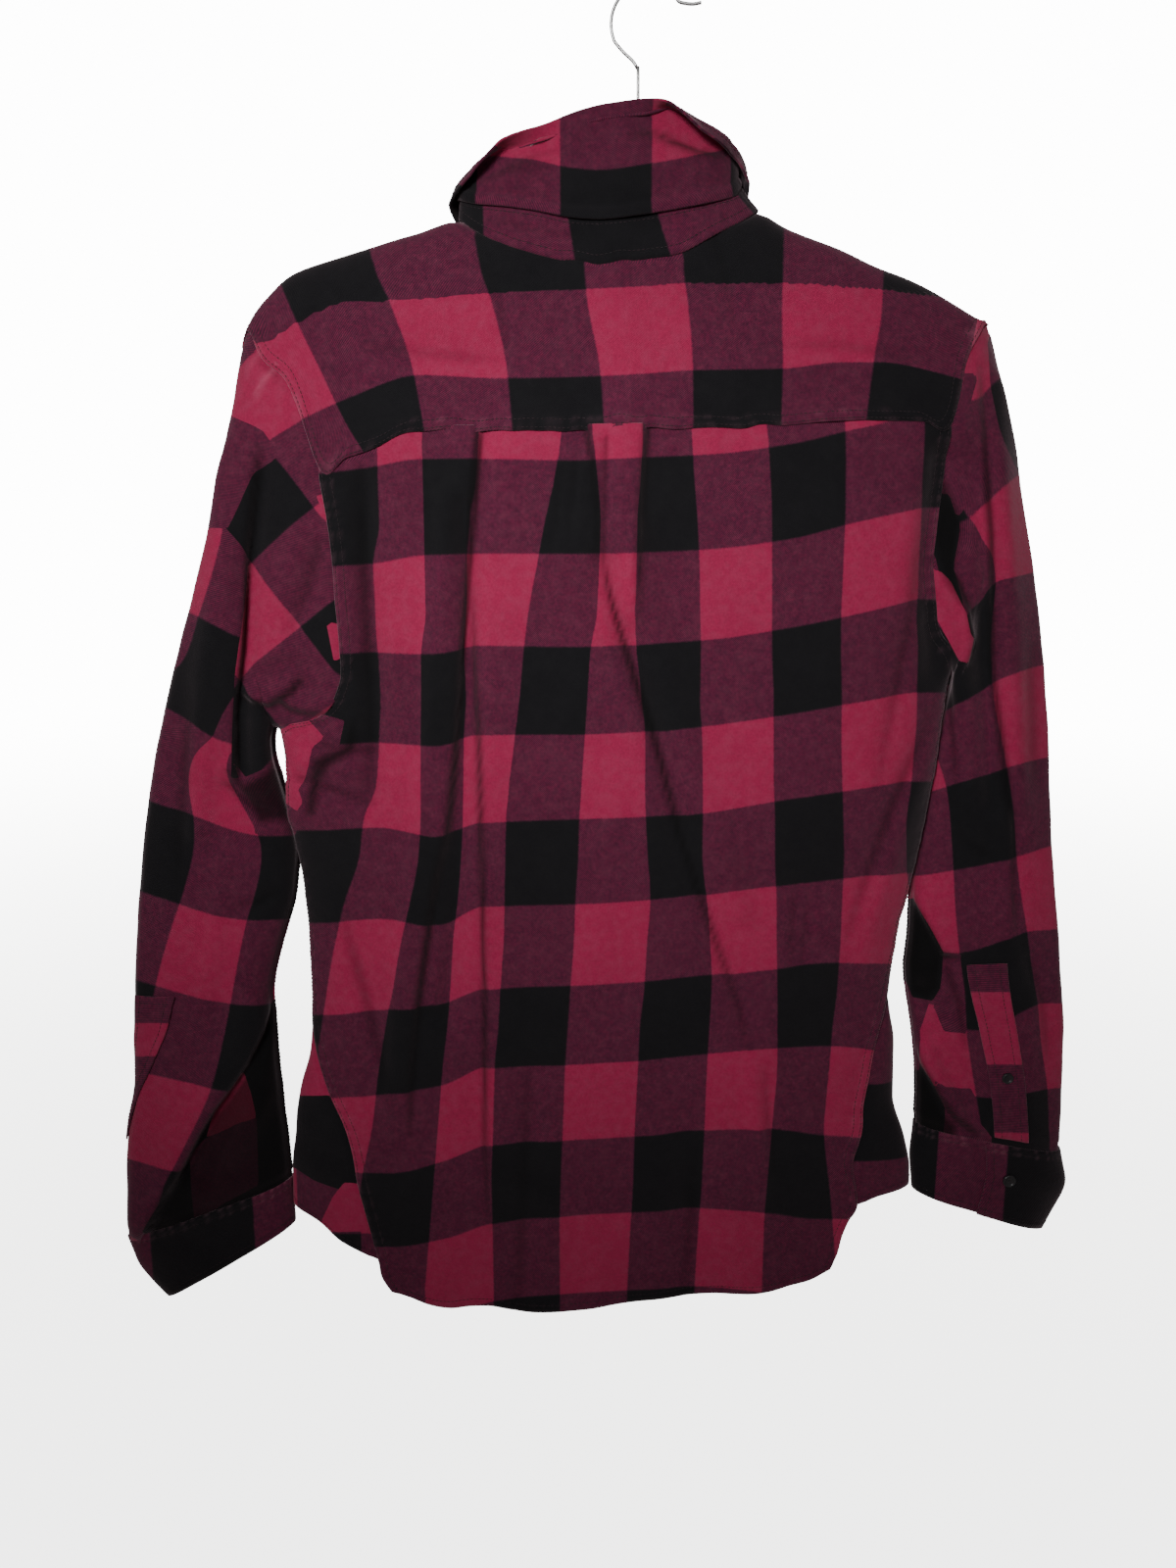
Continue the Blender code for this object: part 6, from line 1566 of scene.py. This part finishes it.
def cloth(name, node, grid, toward, thick, edges, creases, checks, material, seed, zones=None, turns=None):
    """One panel of cloth with its creases, raised and tucked edges and puckered seams."""
    grid = grid.copy()
    normals = facing(grid, toward)
    behind = laid_out(grid)
    x, z = behind if toward is None or toward[1] < 0 else (grid[..., 0], grid[..., 2])
    relief, shade, worn = crease_field(x, z, creases)
    seen = normals[..., 1] < 0.1
    if turns is not None:
        seen = np.broadcast_to(np.sin(2 * math.pi * turns) > -0.12, x.shape)
        back_side = squarely(np.sin(2 * math.pi * turns))[None, :]
        front_side = squarely(-np.sin(2 * math.pi * turns))[None, :]
        strength = np.maximum(back_side, FRONT_SLEEVE_SHARE * front_side)
        relief, shade, worn = relief * strength, shade * strength, worn * strength
    patches = patch_fields(name, *behind, seen)
    # Painted shade from the listed shaded places joins that of the creases.
    if "painted_shade" in patches:
        shade = np.maximum(shade, np.clip(0.5 + patches.pop("painted_shade") / 6, 0, 1))
    # The listed lighter band joins the wear and painted highlight.
    if "worn" in patches:
        worn = np.maximum(worn, np.clip(0.5 + patches.pop("worn") / 3, 0, 1))
    swell = waves(x + 0.6 * z, SWELL_ACROSS, seed) * waves(z - 0.4 * x, SWELL_DOWN, seed + 1)
    relief = relief + UNEVEN * swell
    cells = checks(grid)
    for edge, start, end, kind in edges:
        raised, width, _, rows, pucker, seam_wear_and_highlight = KINDS[kind]
        away = away_from(grid, edge)
        share = edge_share(grid, edge)
        part = ((share >= start - 1e-6) & (share <= end + 1e-6)).astype(float)
        band = part * np.clip((width - away) / EDGE_SLOPE, 0, 1)
        run = share * length_along(grid[0] if edge in "tb" else grid[:, 0])[-1]
        ripple = waves(run, (7.1, 4.3, 11.7), seed + 5)
        relief = relief + band * (raised + pucker * ripple * np.sin(np.clip(away / width, 0, 1) * math.pi))
        # Lighter lines at each seam's edge and stitch rows: wear and painted highlight.
        for distance, narrow in [(0.0, 1.6)] * (seam_wear_and_highlight > 0) + [(d, 1.2) for d in rows]:
            rub_and_highlight = np.exp(-(((away - distance) / narrow) ** 2)) * np.clip(0.25 + 1.6 * ripple, 0, 1)
            worn = np.maximum(worn, seam_wear_and_highlight * part * rub_and_highlight)
        fringe = part * np.exp(-((away - width) / 5) ** 2)
        relief = relief + fringe * PUCKER_SPREAD * pucker * waves(run, (13, 9, 21), seed + 9)
    grid = grid + normals * relief[..., None]
    for edge, start, end, kind in edges:
        if KINDS[kind][2]:
            reach_out(grid, edge, start, end, KINDS[kind][2])
    normals = facing(grid, toward)
    points, quads, source = wall_mesh(grid, normals, thick)
    made = mesh_object(name, points, quads, material)
    for layer_name, layer_cells in zip(("cells", "cells_turned"), cells):
        layer = made.data.uv_layers.new(name=layer_name)
        corners = layer_cells.reshape(-1, 2)[source[quads]]
        layer.data.foreach_set("uv", corners.astype(np.float32).ravel())
    fields = {"worn": worn, "shade": shade, **(zones or {}), **patches}
    for field, values in fields.items():
        add_field(made.data, field, values.ravel()[source])
    lines = []
    for edge, start, end, kind in edges:
        for distance in KINDS[kind][3]:
            line, out = seam_line(grid, normals, edge, start, end, distance)
            lines.append(line + out * (thick / 2 + THREAD_RADIUS * 0.5))
    stitch_lines[name] = lines
    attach(made, "root")
    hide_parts(node)
    "flannel_collar" if "collar" in name else "flannel"
    return made, grid, normals


# ---- thread, buttons and wire

def circle(side, other, sides):
    """Directions evenly spaced round, in the plane of two directions."""
    turn = 2 * math.pi * np.arange(sides) / sides
    return np.cos(turn)[:, None] * side + np.sin(turn)[:, None] * other


def joined(rings):
    """Points and quads of a tube through rings of points."""
    sides = len(rings[0])
    j, k = np.meshgrid(np.arange(len(rings) - 1), np.arange(sides), indexing="ij")
    after = (k + 1) % sides
    quads = np.stack([j * sides + k, j * sides + after, (j + 1) * sides + after, (j + 1) * sides + k], -1)
    return np.concatenate(rings), quads.reshape(-1, 4)


def swept(route, radius, sides):
    """Points and quads of a round tube along a route."""
    tangents = unit(np.gradient(np.asarray(route, float), axis=0))
    side = np.cross(tangents[0], WIRE_SIDE)
    rings = []
    for place, tangent in zip(route, tangents):
        side = unit(side - tangent * (side @ tangent))
        rings.append(place + radius * circle(side, np.cross(tangent, side), sides))
    return joined(rings)


def merged(parts):
    """Points and quads of several meshes as those of one."""
    points, quads = zip(*parts)
    starts = np.cumsum([0] + [len(own) for own in points[:-1]])
    return np.concatenate(points), np.concatenate([own + start for own, start in zip(quads, starts)])


def stitches(name, lines, material):
    """Short threads laid one after another along lines, joined in one mesh."""
    shares, sizes = np.array(STITCH_SHAPE).T
    faces = np.concatenate([joined(np.zeros((4, 4, 3)))[1], [(3, 2, 1, 0), (12, 13, 14, 15)]])
    parts = []
    for line in lines:
        length = length_along(line)
        number = int(length[-1] / STITCH_PITCH)
        if number < 2:
            continue
        at = np.arange(number)[:, None] * STITCH_PITCH + STITCH_LENGTH * shares
        path = np.stack([np.interp(at, length, line[:, k]) for k in range(3)], -1)
        run = unit(path[:, -1] - path[:, 0])[:, None]
        side = unit(np.cross(run, STITCH_SIDE))
        around = circle(side, np.cross(run, side), 4)[:, None]
        rings = path[:, :, None] + THREAD_RADIUS * sizes[:, None, None] * around
        quads = faces + 16 * np.arange(number)[:, None, None]
        parts.append((rings.reshape(-1, 3), quads.reshape(-1, 4)))
    made = mesh_object(name, *merged(parts), material)
    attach(made, "root")


# ---- finishes

class Wire:
    """A shader socket that takes part in sums and products."""

    def __init__(self, kit, socket):
        self.kit = kit
        self.socket = socket

    def maths(self, operation, *others):
        return self.kit.add("ShaderNodeMath", {"operation": operation}, dict(enumerate((self,) + others)))

    def __add__(self, other):
        return self.maths("ADD", other)

    def __mul__(self, other):
        return self.maths("MULTIPLY", other)

    def __sub__(self, other):
        return self.maths("SUBTRACT", other)

    def __rsub__(self, other):
        return self.kit.add("ShaderNodeMath", {"operation": "SUBTRACT"}, {0: other, 1: self})

    __radd__ = __add__
    __rmul__ = __mul__

    def held(self):
        """The value, kept from 0 to 1."""
        return self.kit.add("ShaderNodeClamp", {}, {0: self, 1: 0.0, 2: 1.0})

    def sine(self):
        return self.maths("SINE")


class Finish:
    """A material whose nodes are made one by one."""

    def __init__(self, name, **settings):
        self.material = bpy.data.materials.new(name)
        self.material.use_nodes = True
        self.tree = self.material.node_tree
        self.shader = self.tree.nodes["Principled BSDF"]
        for socket, value in settings.items():
            self.shader.inputs[socket.replace("_", " ")].default_value = value

    def add(self, kind, settings, inputs=None, output=0):
        node = self.tree.nodes.new(kind)
        for key, value in settings.items():
            if key == "stops":
                self.set_stops(node.color_ramp.elements, value)
            else:
                setattr(node, key, value)
        for key, value in (inputs or {}).items():
            self.feed(node.inputs[key], value)
        return Wire(self, node.outputs[output])

    def feed(self, socket, value):
        if isinstance(value, Wire):
            self.tree.links.new(value.socket, socket)
        else:
            socket.default_value = value

    def set_stops(self, elements, stops):
        while len(elements) < len(stops):
            elements.new(0.5)
        for element, (place, colour) in zip(elements, stops):
            element.position = place
            element.color = (*colour, 1)

    def ramp(self, factor, stops):
        return self.add("ShaderNodeValToRGB", {"stops": stops}, {0: factor})

    def blend(self, factor, first, second, mode="MIX"):
        colours = [(*c, 1) if isinstance(c, tuple) else c for c in (first, second)]
        return self.add("ShaderNodeMix", {"data_type": "RGBA", "blend_type": mode},
                        {0: factor, 6: colours[0], 7: colours[1]}, 2)

    def noise(self, scale, detail):
        return self.add("ShaderNodeTexNoise", {}, {"Scale": scale, "Detail": detail, "Vector": self.place()})

    def bump(self, strength, distance, height):
        inputs = {"Strength": strength, "Distance": distance, "Height": height}
        self.out("Normal", self.add("ShaderNodeBump", {}, inputs))

    def inside(self, field, outer, inner):
        """The inner vector where the field is above 0, and the outer one elsewhere."""
        above = self.field(field).maths("GREATER_THAN", 0.0)
        return self.add("ShaderNodeMix", {"data_type": "VECTOR"}, {0: above, 4: outer, 5: inner}, 1)

    def parts(self, vector):
        return [self.add("ShaderNodeSeparateXYZ", {}, {0: vector}, k) for k in (0, 1)]

    def place(self):
        return self.add("ShaderNodeTexCoord", {}, output=3)

    def field(self, name):
        return self.add("ShaderNodeAttribute", {"attribute_name": name}, output=2)

    def out(self, socket, value):
        self.feed(self.shader.inputs[socket], value)


def flannel(name, red, mixed, black, zones=()):
    """Brushed twill flannel in a two-colour check, from cells counted across and along the cloth."""
    made = Finish(name, Sheen_Weight=SHEEN, Sheen_Roughness=0.45, Sheen_Tint=SHEEN_TINT,
                  Specular_IOR_Level=0.15)
    uv = made.add("ShaderNodeUVMap", {"uv_map": "cells"})
    for zone in zones:
        uv = made.inside(zone, uv, made.add("ShaderNodeUVMap", {"uv_map": "cells_" + zone}))
    weave_across, weave_along = made.parts(uv)
    for kind, cell in (("black", (0.5, 0.5, 0)), ("mixed", (1.5, 0.5, 0)), ("red", (1.5, 1.5, 0))):
        uv = made.inside(kind, uv, cell)
    across, along_cloth = made.parts(uv)
    fuzz = (made.noise(900.0, 1.0) - 0.5) * EDGE_FUZZ
    red_across = (0.5 - ((across + fuzz) * math.pi).sine() * CHECK_SHARPNESS).held()
    red_along = (0.5 - ((along_cloth + fuzz) * math.pi).sine() * CHECK_SHARPNESS).held()
    twill = ((weave_across * CHECK_UP + weave_along * CHECK_ACROSS) * (2 * math.pi / TWILL_PITCH)).sine()
    share = (twill * TWILL_DEPTH + 0.5 + (made.noise(420.0, 2.0) - 0.5) * HEATHER).held()
    amount = (red_across * share + red_along * (1 - share)).held()
    colour = made.ramp(amount, ((0.0, black), (0.5, mixed), (1.0, red)))
    cloud = made.noise(28.0, 3.0)
    fine = made.noise(650.0, 2.0)
    level = 1.0 + (cloud - 0.5) * CLOUD + (fine - 0.5) * GRAIN
    grey = made.add("ShaderNodeCombineColor", {}, {0: level, 1: level, 2: level})
    colour = made.blend(1.0, colour, grey, "MULTIPLY")
    nap = (made.noise(160.0, 4.0) * 2.2 - 0.9).held() * NAP
    colour = made.blend(nap, colour, made.blend(amount, NAP_BLACK, NAP_RED))
    # Lighter colour where the cloth is worn and where highlight is painted on seams and ridge crests.
    worn = (made.field("worn") * (0.35 + made.noise(300.0, 2.0))).held() * WEAR_AND_HIGHLIGHT
    colour = made.blend(worn, colour, made.blend(amount, WEAR_AND_HIGHLIGHT_BLACK, WEAR_AND_HIGHLIGHT_RED))
    # Painted shade: the colour is darkened toward black in creases, under folds and in gaps.
    colour = made.blend(made.field("shade").held() * CREASE_SHADE, colour, (0.0, 0.0, 0.0))
    made.out("Base Color", colour)
    made.out("Roughness", 0.82 + made.noise(60.0, 2.0) * 0.16)
    relief = twill * 0.25 + made.noise(1100.0, 2.0) + made.noise(240.0, 3.0) * 0.8
    made.bump(0.35, 0.0005, relief)
    return made.material


def button_finish():
    made = Finish("smoke_button", Specular_IOR_Level=0.5)
    swirl = made.noise(210.0, 3.0)
    made.out("Base Color", made.ramp(swirl, ((0.3, (0.006, 0.005, 0.006)), (0.7, (0.020, 0.016, 0.018)))))
    made.out("Roughness", 0.22 + made.noise(900.0, 2.0) * 0.2)
    made.bump(0.1, 0.0002, made.noise(500.0, 2.0))
    return made.material


def thread_finish():
    made = Finish("sewing_thread")
    fleck = made.noise(520.0, 2.0)
    made.out("Base Color", made.ramp(fleck, ((0.35, (0.007, 0.004, 0.005)), (0.65, (0.024, 0.008, 0.013)))))
    made.out("Roughness", 0.75 + fleck * 0.2)
    return made.material


def steel_finish():
    made = Finish("drawn_steel", Metallic=1.0)
    streak = made.noise(1400.0, 2.0)
    made.out("Base Color", made.ramp(streak, ((0.3, (0.46, 0.455, 0.45)), (0.7, (0.66, 0.655, 0.65)))))
    made.out("Roughness", 0.32 + made.noise(300.0, 3.0) * 0.25)
    made.bump(0.12, 0.0002, streak)
    return made.material


def floor_finish():
    made = Finish("pale_floor", Specular_IOR_Level=0.1)
    cloud = made.noise(3.0, 2.0)
    made.out("Base Color", made.ramp(cloud, ((0.3, (0.80, 0.79, 0.775)), (0.7, (0.83, 0.82, 0.805)))))
    made.out("Roughness", 0.9 + cloud * 0.05)
    away = made.add("ShaderNodeVectorMath", {"operation": "LENGTH"}, {0: made.place()}, 1)
    level = made.add("ShaderNodeMapRange", {"interpolation_type": "SMOOTHERSTEP"},
                     {0: away, 1: 0.0, 2: 7.0, 3: FLOOR_SEEN / WORLD_SEEN, 4: 1.0})
    level = made.add("ShaderNodeLightPath", {}) * level
    glow = made.add("ShaderNodeCombineColor", {}, {0: level, 1: level * 0.995, 2: level * 0.988})
    made.out("Emission Color", glow)
    made.out("Emission Strength", WORLD_SEEN)
    return made.material


SHEEN = 0.25
SHEEN_TINT = (1.0, 0.75, 0.82, 1)
EDGE_FUZZ = 0.02
CHECK_SHARPNESS = 14.0
TWILL_PITCH = 1.5
TWILL_DEPTH = 0.14
HEATHER = 0.35
CLOUD = 0.22
GRAIN = 0.5
NAP = 0.30
NAP_BLACK = (0.0085, 0.0080, 0.0090)
NAP_RED = (0.26, 0.055, 0.10)
# Lighter colours for wear and painted highlight.
WEAR_AND_HIGHLIGHT = 0.45
WEAR_AND_HIGHLIGHT_BLACK = (0.09, 0.045, 0.06)
WEAR_AND_HIGHLIGHT_RED = (0.42, 0.11, 0.17)
# How far painted shade darkens the cloth's colour.
CREASE_SHADE = 0.8
RED = (0.250, 0.0125, 0.049)
MIXED = (0.055, 0.0070, 0.0250)
BLACK = (0.0042, 0.0040, 0.0050)


# ---- the shirt

def make_button(name, node, place, normal, size, finishes):
    """A button with a rounded rim, a dished middle and crossed thread, standing for the plain one."""
    normal = unit(np.asarray(normal, float))
    radius, thick = size
    side = unit(np.cross(normal, (0, 0, 1.0)))
    other = np.cross(normal, side)
    at = np.linspace(0, len(BUTTON_PROFILE) - 1, BUTTON_RINGS)
    profile = smooth_through(range(len(BUTTON_PROFILE)), BUTTON_PROFILE)(at)
    way = circle(side, other, BUTTON_SIDES)
    rings = [place + normal * thick * height + way * radius * share for share, height in profile]
    made = mesh_object(name, *joined(rings), finishes["button"])
    corners = []
    for k in range(4):
        turn = math.pi / 4 + k * math.pi / 2
        corners.append(place + (side * math.cos(turn) + other * math.sin(turn)) * radius * THREAD_CROSS)
    strands = []
    for a, b in ((corners[0], corners[2]), (corners[1], corners[3])):
        t = np.linspace(0, 1, 9)[:, None]
        lift = thick * (0.56 + 0.16 * np.sin(math.pi * t))
        strands.append(swept(a * (1 - t) + b * t + normal * lift, BUTTON_THREAD_RADIUS, 6))
    thread = mesh_object(name + "_thread", *merged(strands), finishes["thread"])
    for piece in (made, thread):
        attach(piece, "root")
    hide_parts(node)


def whole(**kinds):
    """Edges (t, b, l, r) that are of one kind all along."""
    return [(edge, 0, 1, kind) for edge, kind in kinds.items()]


def front_edges(side):
    """Edges of a front: its yoke seam and neckline, armhole, side seam, hem and centre."""
    armhole = ARMHOLE_DOWN / (ARMHOLE_DOWN + SIDE_STEPS[side])
    outer = [("l", 0, armhole, "over"), ("l", armhole, 1, "under")]
    return whole(t="under") + outer + whole(b="hem", r="flat" if side == "left" else "hem")


def back_edges():
    rows = ARMHOLE_DOWN + SIDE_STEPS["left"] + HEM_UP["left"]
    made = whole(t="under", b="hem")
    for edge, side in (("l", "left"), ("r", "right")):
        armhole = ARMHOLE_DOWN / rows
        hem = (ARMHOLE_DOWN + SIDE_STEPS[side]) / rows
        made += [(edge, 0, armhole, "over"), (edge, armhole, hem, "over"), (edge, hem, 1, "hem")]
    return made


def fine_sleeve(side):
    """The sleeve's grid, opened along the underarm seam, and each column's share of a turn."""
    at, turns, grid = sleeve_grid(side)
    cut = (ARMHOLE_YOKE + ARMHOLE_DOWN) * SLEEVE_ACROSS
    opened = np.concatenate([grid[:, cut:-1], grid[:, :cut + 1]], axis=1)
    turns = np.concatenate([turns[cut:-1], turns[:cut + 1] + 1])
    return at, turns, opened


def sleeve_strip(side, at, turns, grid, normals):
    """The placket strip: the sleeve's own points between its sides, moved out."""
    rows = SLEEVE_PLACKET[side]
    edges = through_rows(rows)
    levels = np.linspace(rows[0][0], rows[-1][0], STRIP_ROWS + 1)
    low_high = edges(levels)
    share = np.linspace(0, 1, STRIP_ACROSS + 1)
    turn = 1 + low_high[:, :1] * (1 - share) + low_high[:, 1:] * share
    j = np.clip(np.searchsorted(at, levels, side="right") - 1, 0, len(at) - 2)
    v = ((levels - at[j]) / (at[j + 1] - at[j]))[:, None]
    i = np.clip(np.searchsorted(turns, turn.ravel(), side="right") - 1, 0, len(turns) - 2).reshape(turn.shape)
    u = (turn - turns[i]) / (turns[i + 1] - turns[i])
    j = j[:, None]

    def mix(field):
        upper = field[j, i] * (1 - u)[..., None] + field[j, i + 1] * u[..., None]
        lower = field[j + 1, i] * (1 - u)[..., None] + field[j + 1, i + 1] * u[..., None]
        return upper * (1 - v)[..., None] + lower * v[..., None]

    return mix(grid) + mix(normals) * (CLOTH + STRIP_AIR)


def strip_checks(rows):
    """A strip lies in one column; rows gives the heights at which its checks change, from the top."""
    def checks(grid):
        _, z = laid_out(grid)
        heights = np.asarray(rows, float)[::-1]
        down = np.interp(-z, -heights[::-1], np.arange(len(rows)))
        down = down + np.where(z > heights[-1], (heights[-1] - z) / CHECK_ACROSS, 0)
        across = -0.5 + 0.02 * np.broadcast_to(np.linspace(0, 1, grid.shape[1]), z.shape)
        return np.stack([across, down], -1)[None]
    return checks


def ring_checks(shift, rows):
    """Checks counted round a collar piece from near the centre back, and along from its first row."""
    def checks(grid):
        middle = grid[len(grid) // 2]
        length = length_along(middle)
        behind = middle[:, 1] < 0
        centre = np.interp(COLLAR_CENTRE, middle[behind][:, 0], length[behind])
        across = (length - centre - shift) / RING_PITCH
        steps = np.linalg.norm(np.diff(grid, axis=0), axis=-1)
        gone = np.concatenate([np.zeros((1, grid.shape[1])), np.cumsum(steps, axis=0)])
        down = gone / CHECK_UP + rows
        return np.stack([np.broadcast_to(across, down.shape), down], -1)[None]
    return checks


STRIP_AIR = 0.35
STRIP_CHECK_Z = {"left": (-650, -707, -733, -800), "right": (-620, -682, -740, -796, -860)}


def build_shirt(finishes):
    """Every panel, by the name of its node: its object, its grid and the grid's normals."""
    made = {}

    def sew(node, grid, toward, edges, creases, checks, seed, thick=CLOTH, finish="flannel", **more):
        name = node.replace("back_yoke", "yoke") + "_cloth"
        made[node] = cloth(name, node, grid, toward, thick, edges, creases, checks, finishes[finish],
                           seed, **more)

    sew("back_yoke", yoke_grid(), (0, -0.5, 1), whole(t="flat", l="over", r="over", b="over"),
        CREASES["back_yoke"], yoke_checks, 3)
    sew("back", back_grid(), (0, -1, 0), back_edges(), CREASES["back"], back_checks, 11)
    for side, end_x, seed in (("left", PLACKET_LEFT, 21), ("right", UNDER_EDGE, 31)):
        sew(side + "_front", front_grid(side, end_x), (0, 1, 0), front_edges(side),
            CREASES["front"], front_checks(side), seed)
    sew("front_placket", placket_grid(), (0, 1, 0), whole(l="edge", r="edge", t="flat", b="hem"), (),
        front_checks("left"), 41)
    for side in SIDES:
        at, turns, grid = fine_sleeve(side)
        left = side == "left"
        sew(side + "_sleeve", grid, None, whole(t="under", b="under", l="over", r="under"),
            CREASES[side + "_sleeve"], lambda g, t=turns, s=side: sleeve_checks(g, t, s), 51,
            finish="turned_flannel" if left else "flannel",
            zones=left_sleeve_zones(grid) if left else None, turns=turns)
        _, sewn, normals = made[side + "_sleeve"]
        toward = normals[len(at) * 3 // 4, len(turns) // 2 + 10]
        sew(side + "_sleeve_placket", sleeve_strip(side, at, turns, sewn, normals), tuple(toward),
            whole(t="edge", l="edge", r="edge"), (), strip_checks(STRIP_CHECK_Z[side]), 61)
        sew(side + "_cuff", finer(cuff_grid(side), CUFF_DOWN, CUFF_ACROSS), None,
            whole(t="piping", b="edge", l="edge", r="edge"), (),
            lambda g, s=side: cuff_checks(g, *CUFF_EDGES[s]), 71, thick=DOUBLE_CLOTH)
    sew("collar_stand", finer(stand_grid(), STAND_DOWN, STAND_ACROSS), None,
        whole(b="edge", t="edge", l="edge", r="edge"), CREASES["collar_stand"], ring_checks(-19.0, 0.1), 81,
        thick=DOUBLE_CLOTH)
    sew("collar_leaf", finer(leaf_grid(), LEAF_DOWN, LEAF_ACROSS), None,
        whole(t="tuck", b="edge", l="edge", r="edge"), CREASES["collar_leaf"], ring_checks(-27.0, 0.48), 91,
        thick=LEAF_CLOTH)
    return made


def add_buttons(made, finishes):
    _, placket, normals = made["front_placket"]
    middle = placket.shape[1] // 2
    column, out = placket[:, middle], normals[:, middle]
    for k in range(BUTTON_COUNT):
        j = int(np.argmin(np.abs(column[:, 2] - BUTTON_TOP_Z + k * BUTTON_PITCH)))
        place = column[j] + out[j] * (CLOTH / 2 + BUTTON_AIR)
        name = f"front_button_{k + 1}"
        make_button(name + "_turned", name, place, out[j], FRONT_BUTTON, finishes)
    for name, carrier, size, thick in SEWN_BUTTONS:
        low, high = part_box(name)
        centre = (np.array(low) + np.array(high)) / 2 / MM
        _, grid, out = made[carrier]
        near = np.unravel_index(np.argmin(np.linalg.norm(grid - centre, axis=-1)), grid.shape[:2])
        lift = (centre - grid[near]) @ out[near]
        place = centre + out[near] * (thick / 2 + BUTTON_AIR - lift)
        make_button(name + "_turned", name, place, out[near], size, finishes)


def hanger(finishes):
    route = finer_rows(hanger_route(), WIRE_FINER)
    points, quads = swept(route, WIRE_RADIUS, WIRE_SIDES)
    made = mesh_object("hanger_steel", points, quads, finishes["steel"])
    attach(made, "root")
    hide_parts("hanger_wire")


# ---- floor, light and camera

def add_stage(finishes):
    bpy.ops.mesh.primitive_plane_add(size=30, location=(0, 0, FLOOR_Z))
    floor = bpy.context.object
    floor.name = "floor"
    floor.data.materials.append(finishes["floor"])


def add_spot(name, place, aim, reach, size, power):
    """A soft round light that fades out toward the edge of the circle that it reaches."""
    run = Vector(aim) - Vector(place)
    lamp = bpy.data.lights.new(name, "SPOT")
    lamp.spot_size = 2 * math.atan(reach / run.length)
    lamp.spot_blend = 1.0
    lamp.shadow_soft_size = size
    lamp.energy = power
    made = bpy.data.objects.new(name, lamp)
    made.location = place
    made.rotation_euler = run.to_track_quat("-Z", "Y").to_euler()
    bpy.context.scene.collection.objects.link(made)


def add_world():
    """A white surround that lights the shirt less than it shows."""
    world = bpy.data.worlds.new("soft_white")
    world.use_nodes = True
    tree = world.node_tree
    seen = tree.nodes["Background"]
    seen.inputs[0].default_value = (1.0, 0.998, 0.995, 1)
    seen.inputs[1].default_value = WORLD_SEEN
    lit = tree.nodes.new("ShaderNodeBackground")
    lit.inputs[0].default_value = (1.0, 0.995, 0.985, 1)
    lit.inputs[1].default_value = WORLD_LIGHT
    path = tree.nodes.new("ShaderNodeLightPath")
    mix = tree.nodes.new("ShaderNodeMixShader")
    tree.links.new(path.outputs["Is Camera Ray"], mix.inputs[0])
    tree.links.new(lit.outputs[0], mix.inputs[1])
    tree.links.new(seen.outputs[0], mix.inputs[2])
    tree.links.new(mix.outputs[0], tree.nodes["World Output"].inputs[0])
    bpy.context.scene.world = world


def add_camera():
    camera = bpy.data.cameras.new("camera")
    camera.sensor_fit = "VERTICAL"
    camera.sensor_height = 36.0
    camera.sensor_width = 36.0
    camera.lens = CAMERA_LENS
    made = bpy.data.objects.new("camera", camera)
    made.location = [c * MM for c in EYE]
    made.rotation_euler = (math.radians(90 - CAMERA_TILT), 0, 0)
    bpy.context.scene.collection.objects.link(made)
    bpy.context.scene.camera = made


FLOOR_Z = -1.35
WORLD_SEEN = 14.0
WORLD_LIGHT = 0.2
FLOOR_SEEN = 4.0
CAMERA_LENS = 27.2
CAMERA_TILT = 12.0


def main():
    finishes = {
        "flannel": flannel("buffalo_flannel", RED, MIXED, BLACK),
        "turned_flannel": flannel("buffalo_flannel_turned", RED, MIXED, BLACK, ("turned",)),
        "button": button_finish(),
        "thread": thread_finish(),
        "steel": steel_finish(),
        "floor": floor_finish(),
    }
    hanger(finishes)
    made = build_shirt(finishes)
    for name, lines in stitch_lines.items():
        if lines:
            stitches(name.replace("cloth", "stitches"), lines, finishes["thread"])
    add_buttons(made, finishes)
    add_stage(finishes)
    add_spot("window", (-0.65, -1.7, 0.25), (-0.055, 0, -0.35), 0.605, 0.4, 250)
    add_spot("behind", (0.5, 1.75, 0.3), (0.0, 0, -0.38), 0.72, 0.4, 250)
    add_world()
    add_camera()


main()
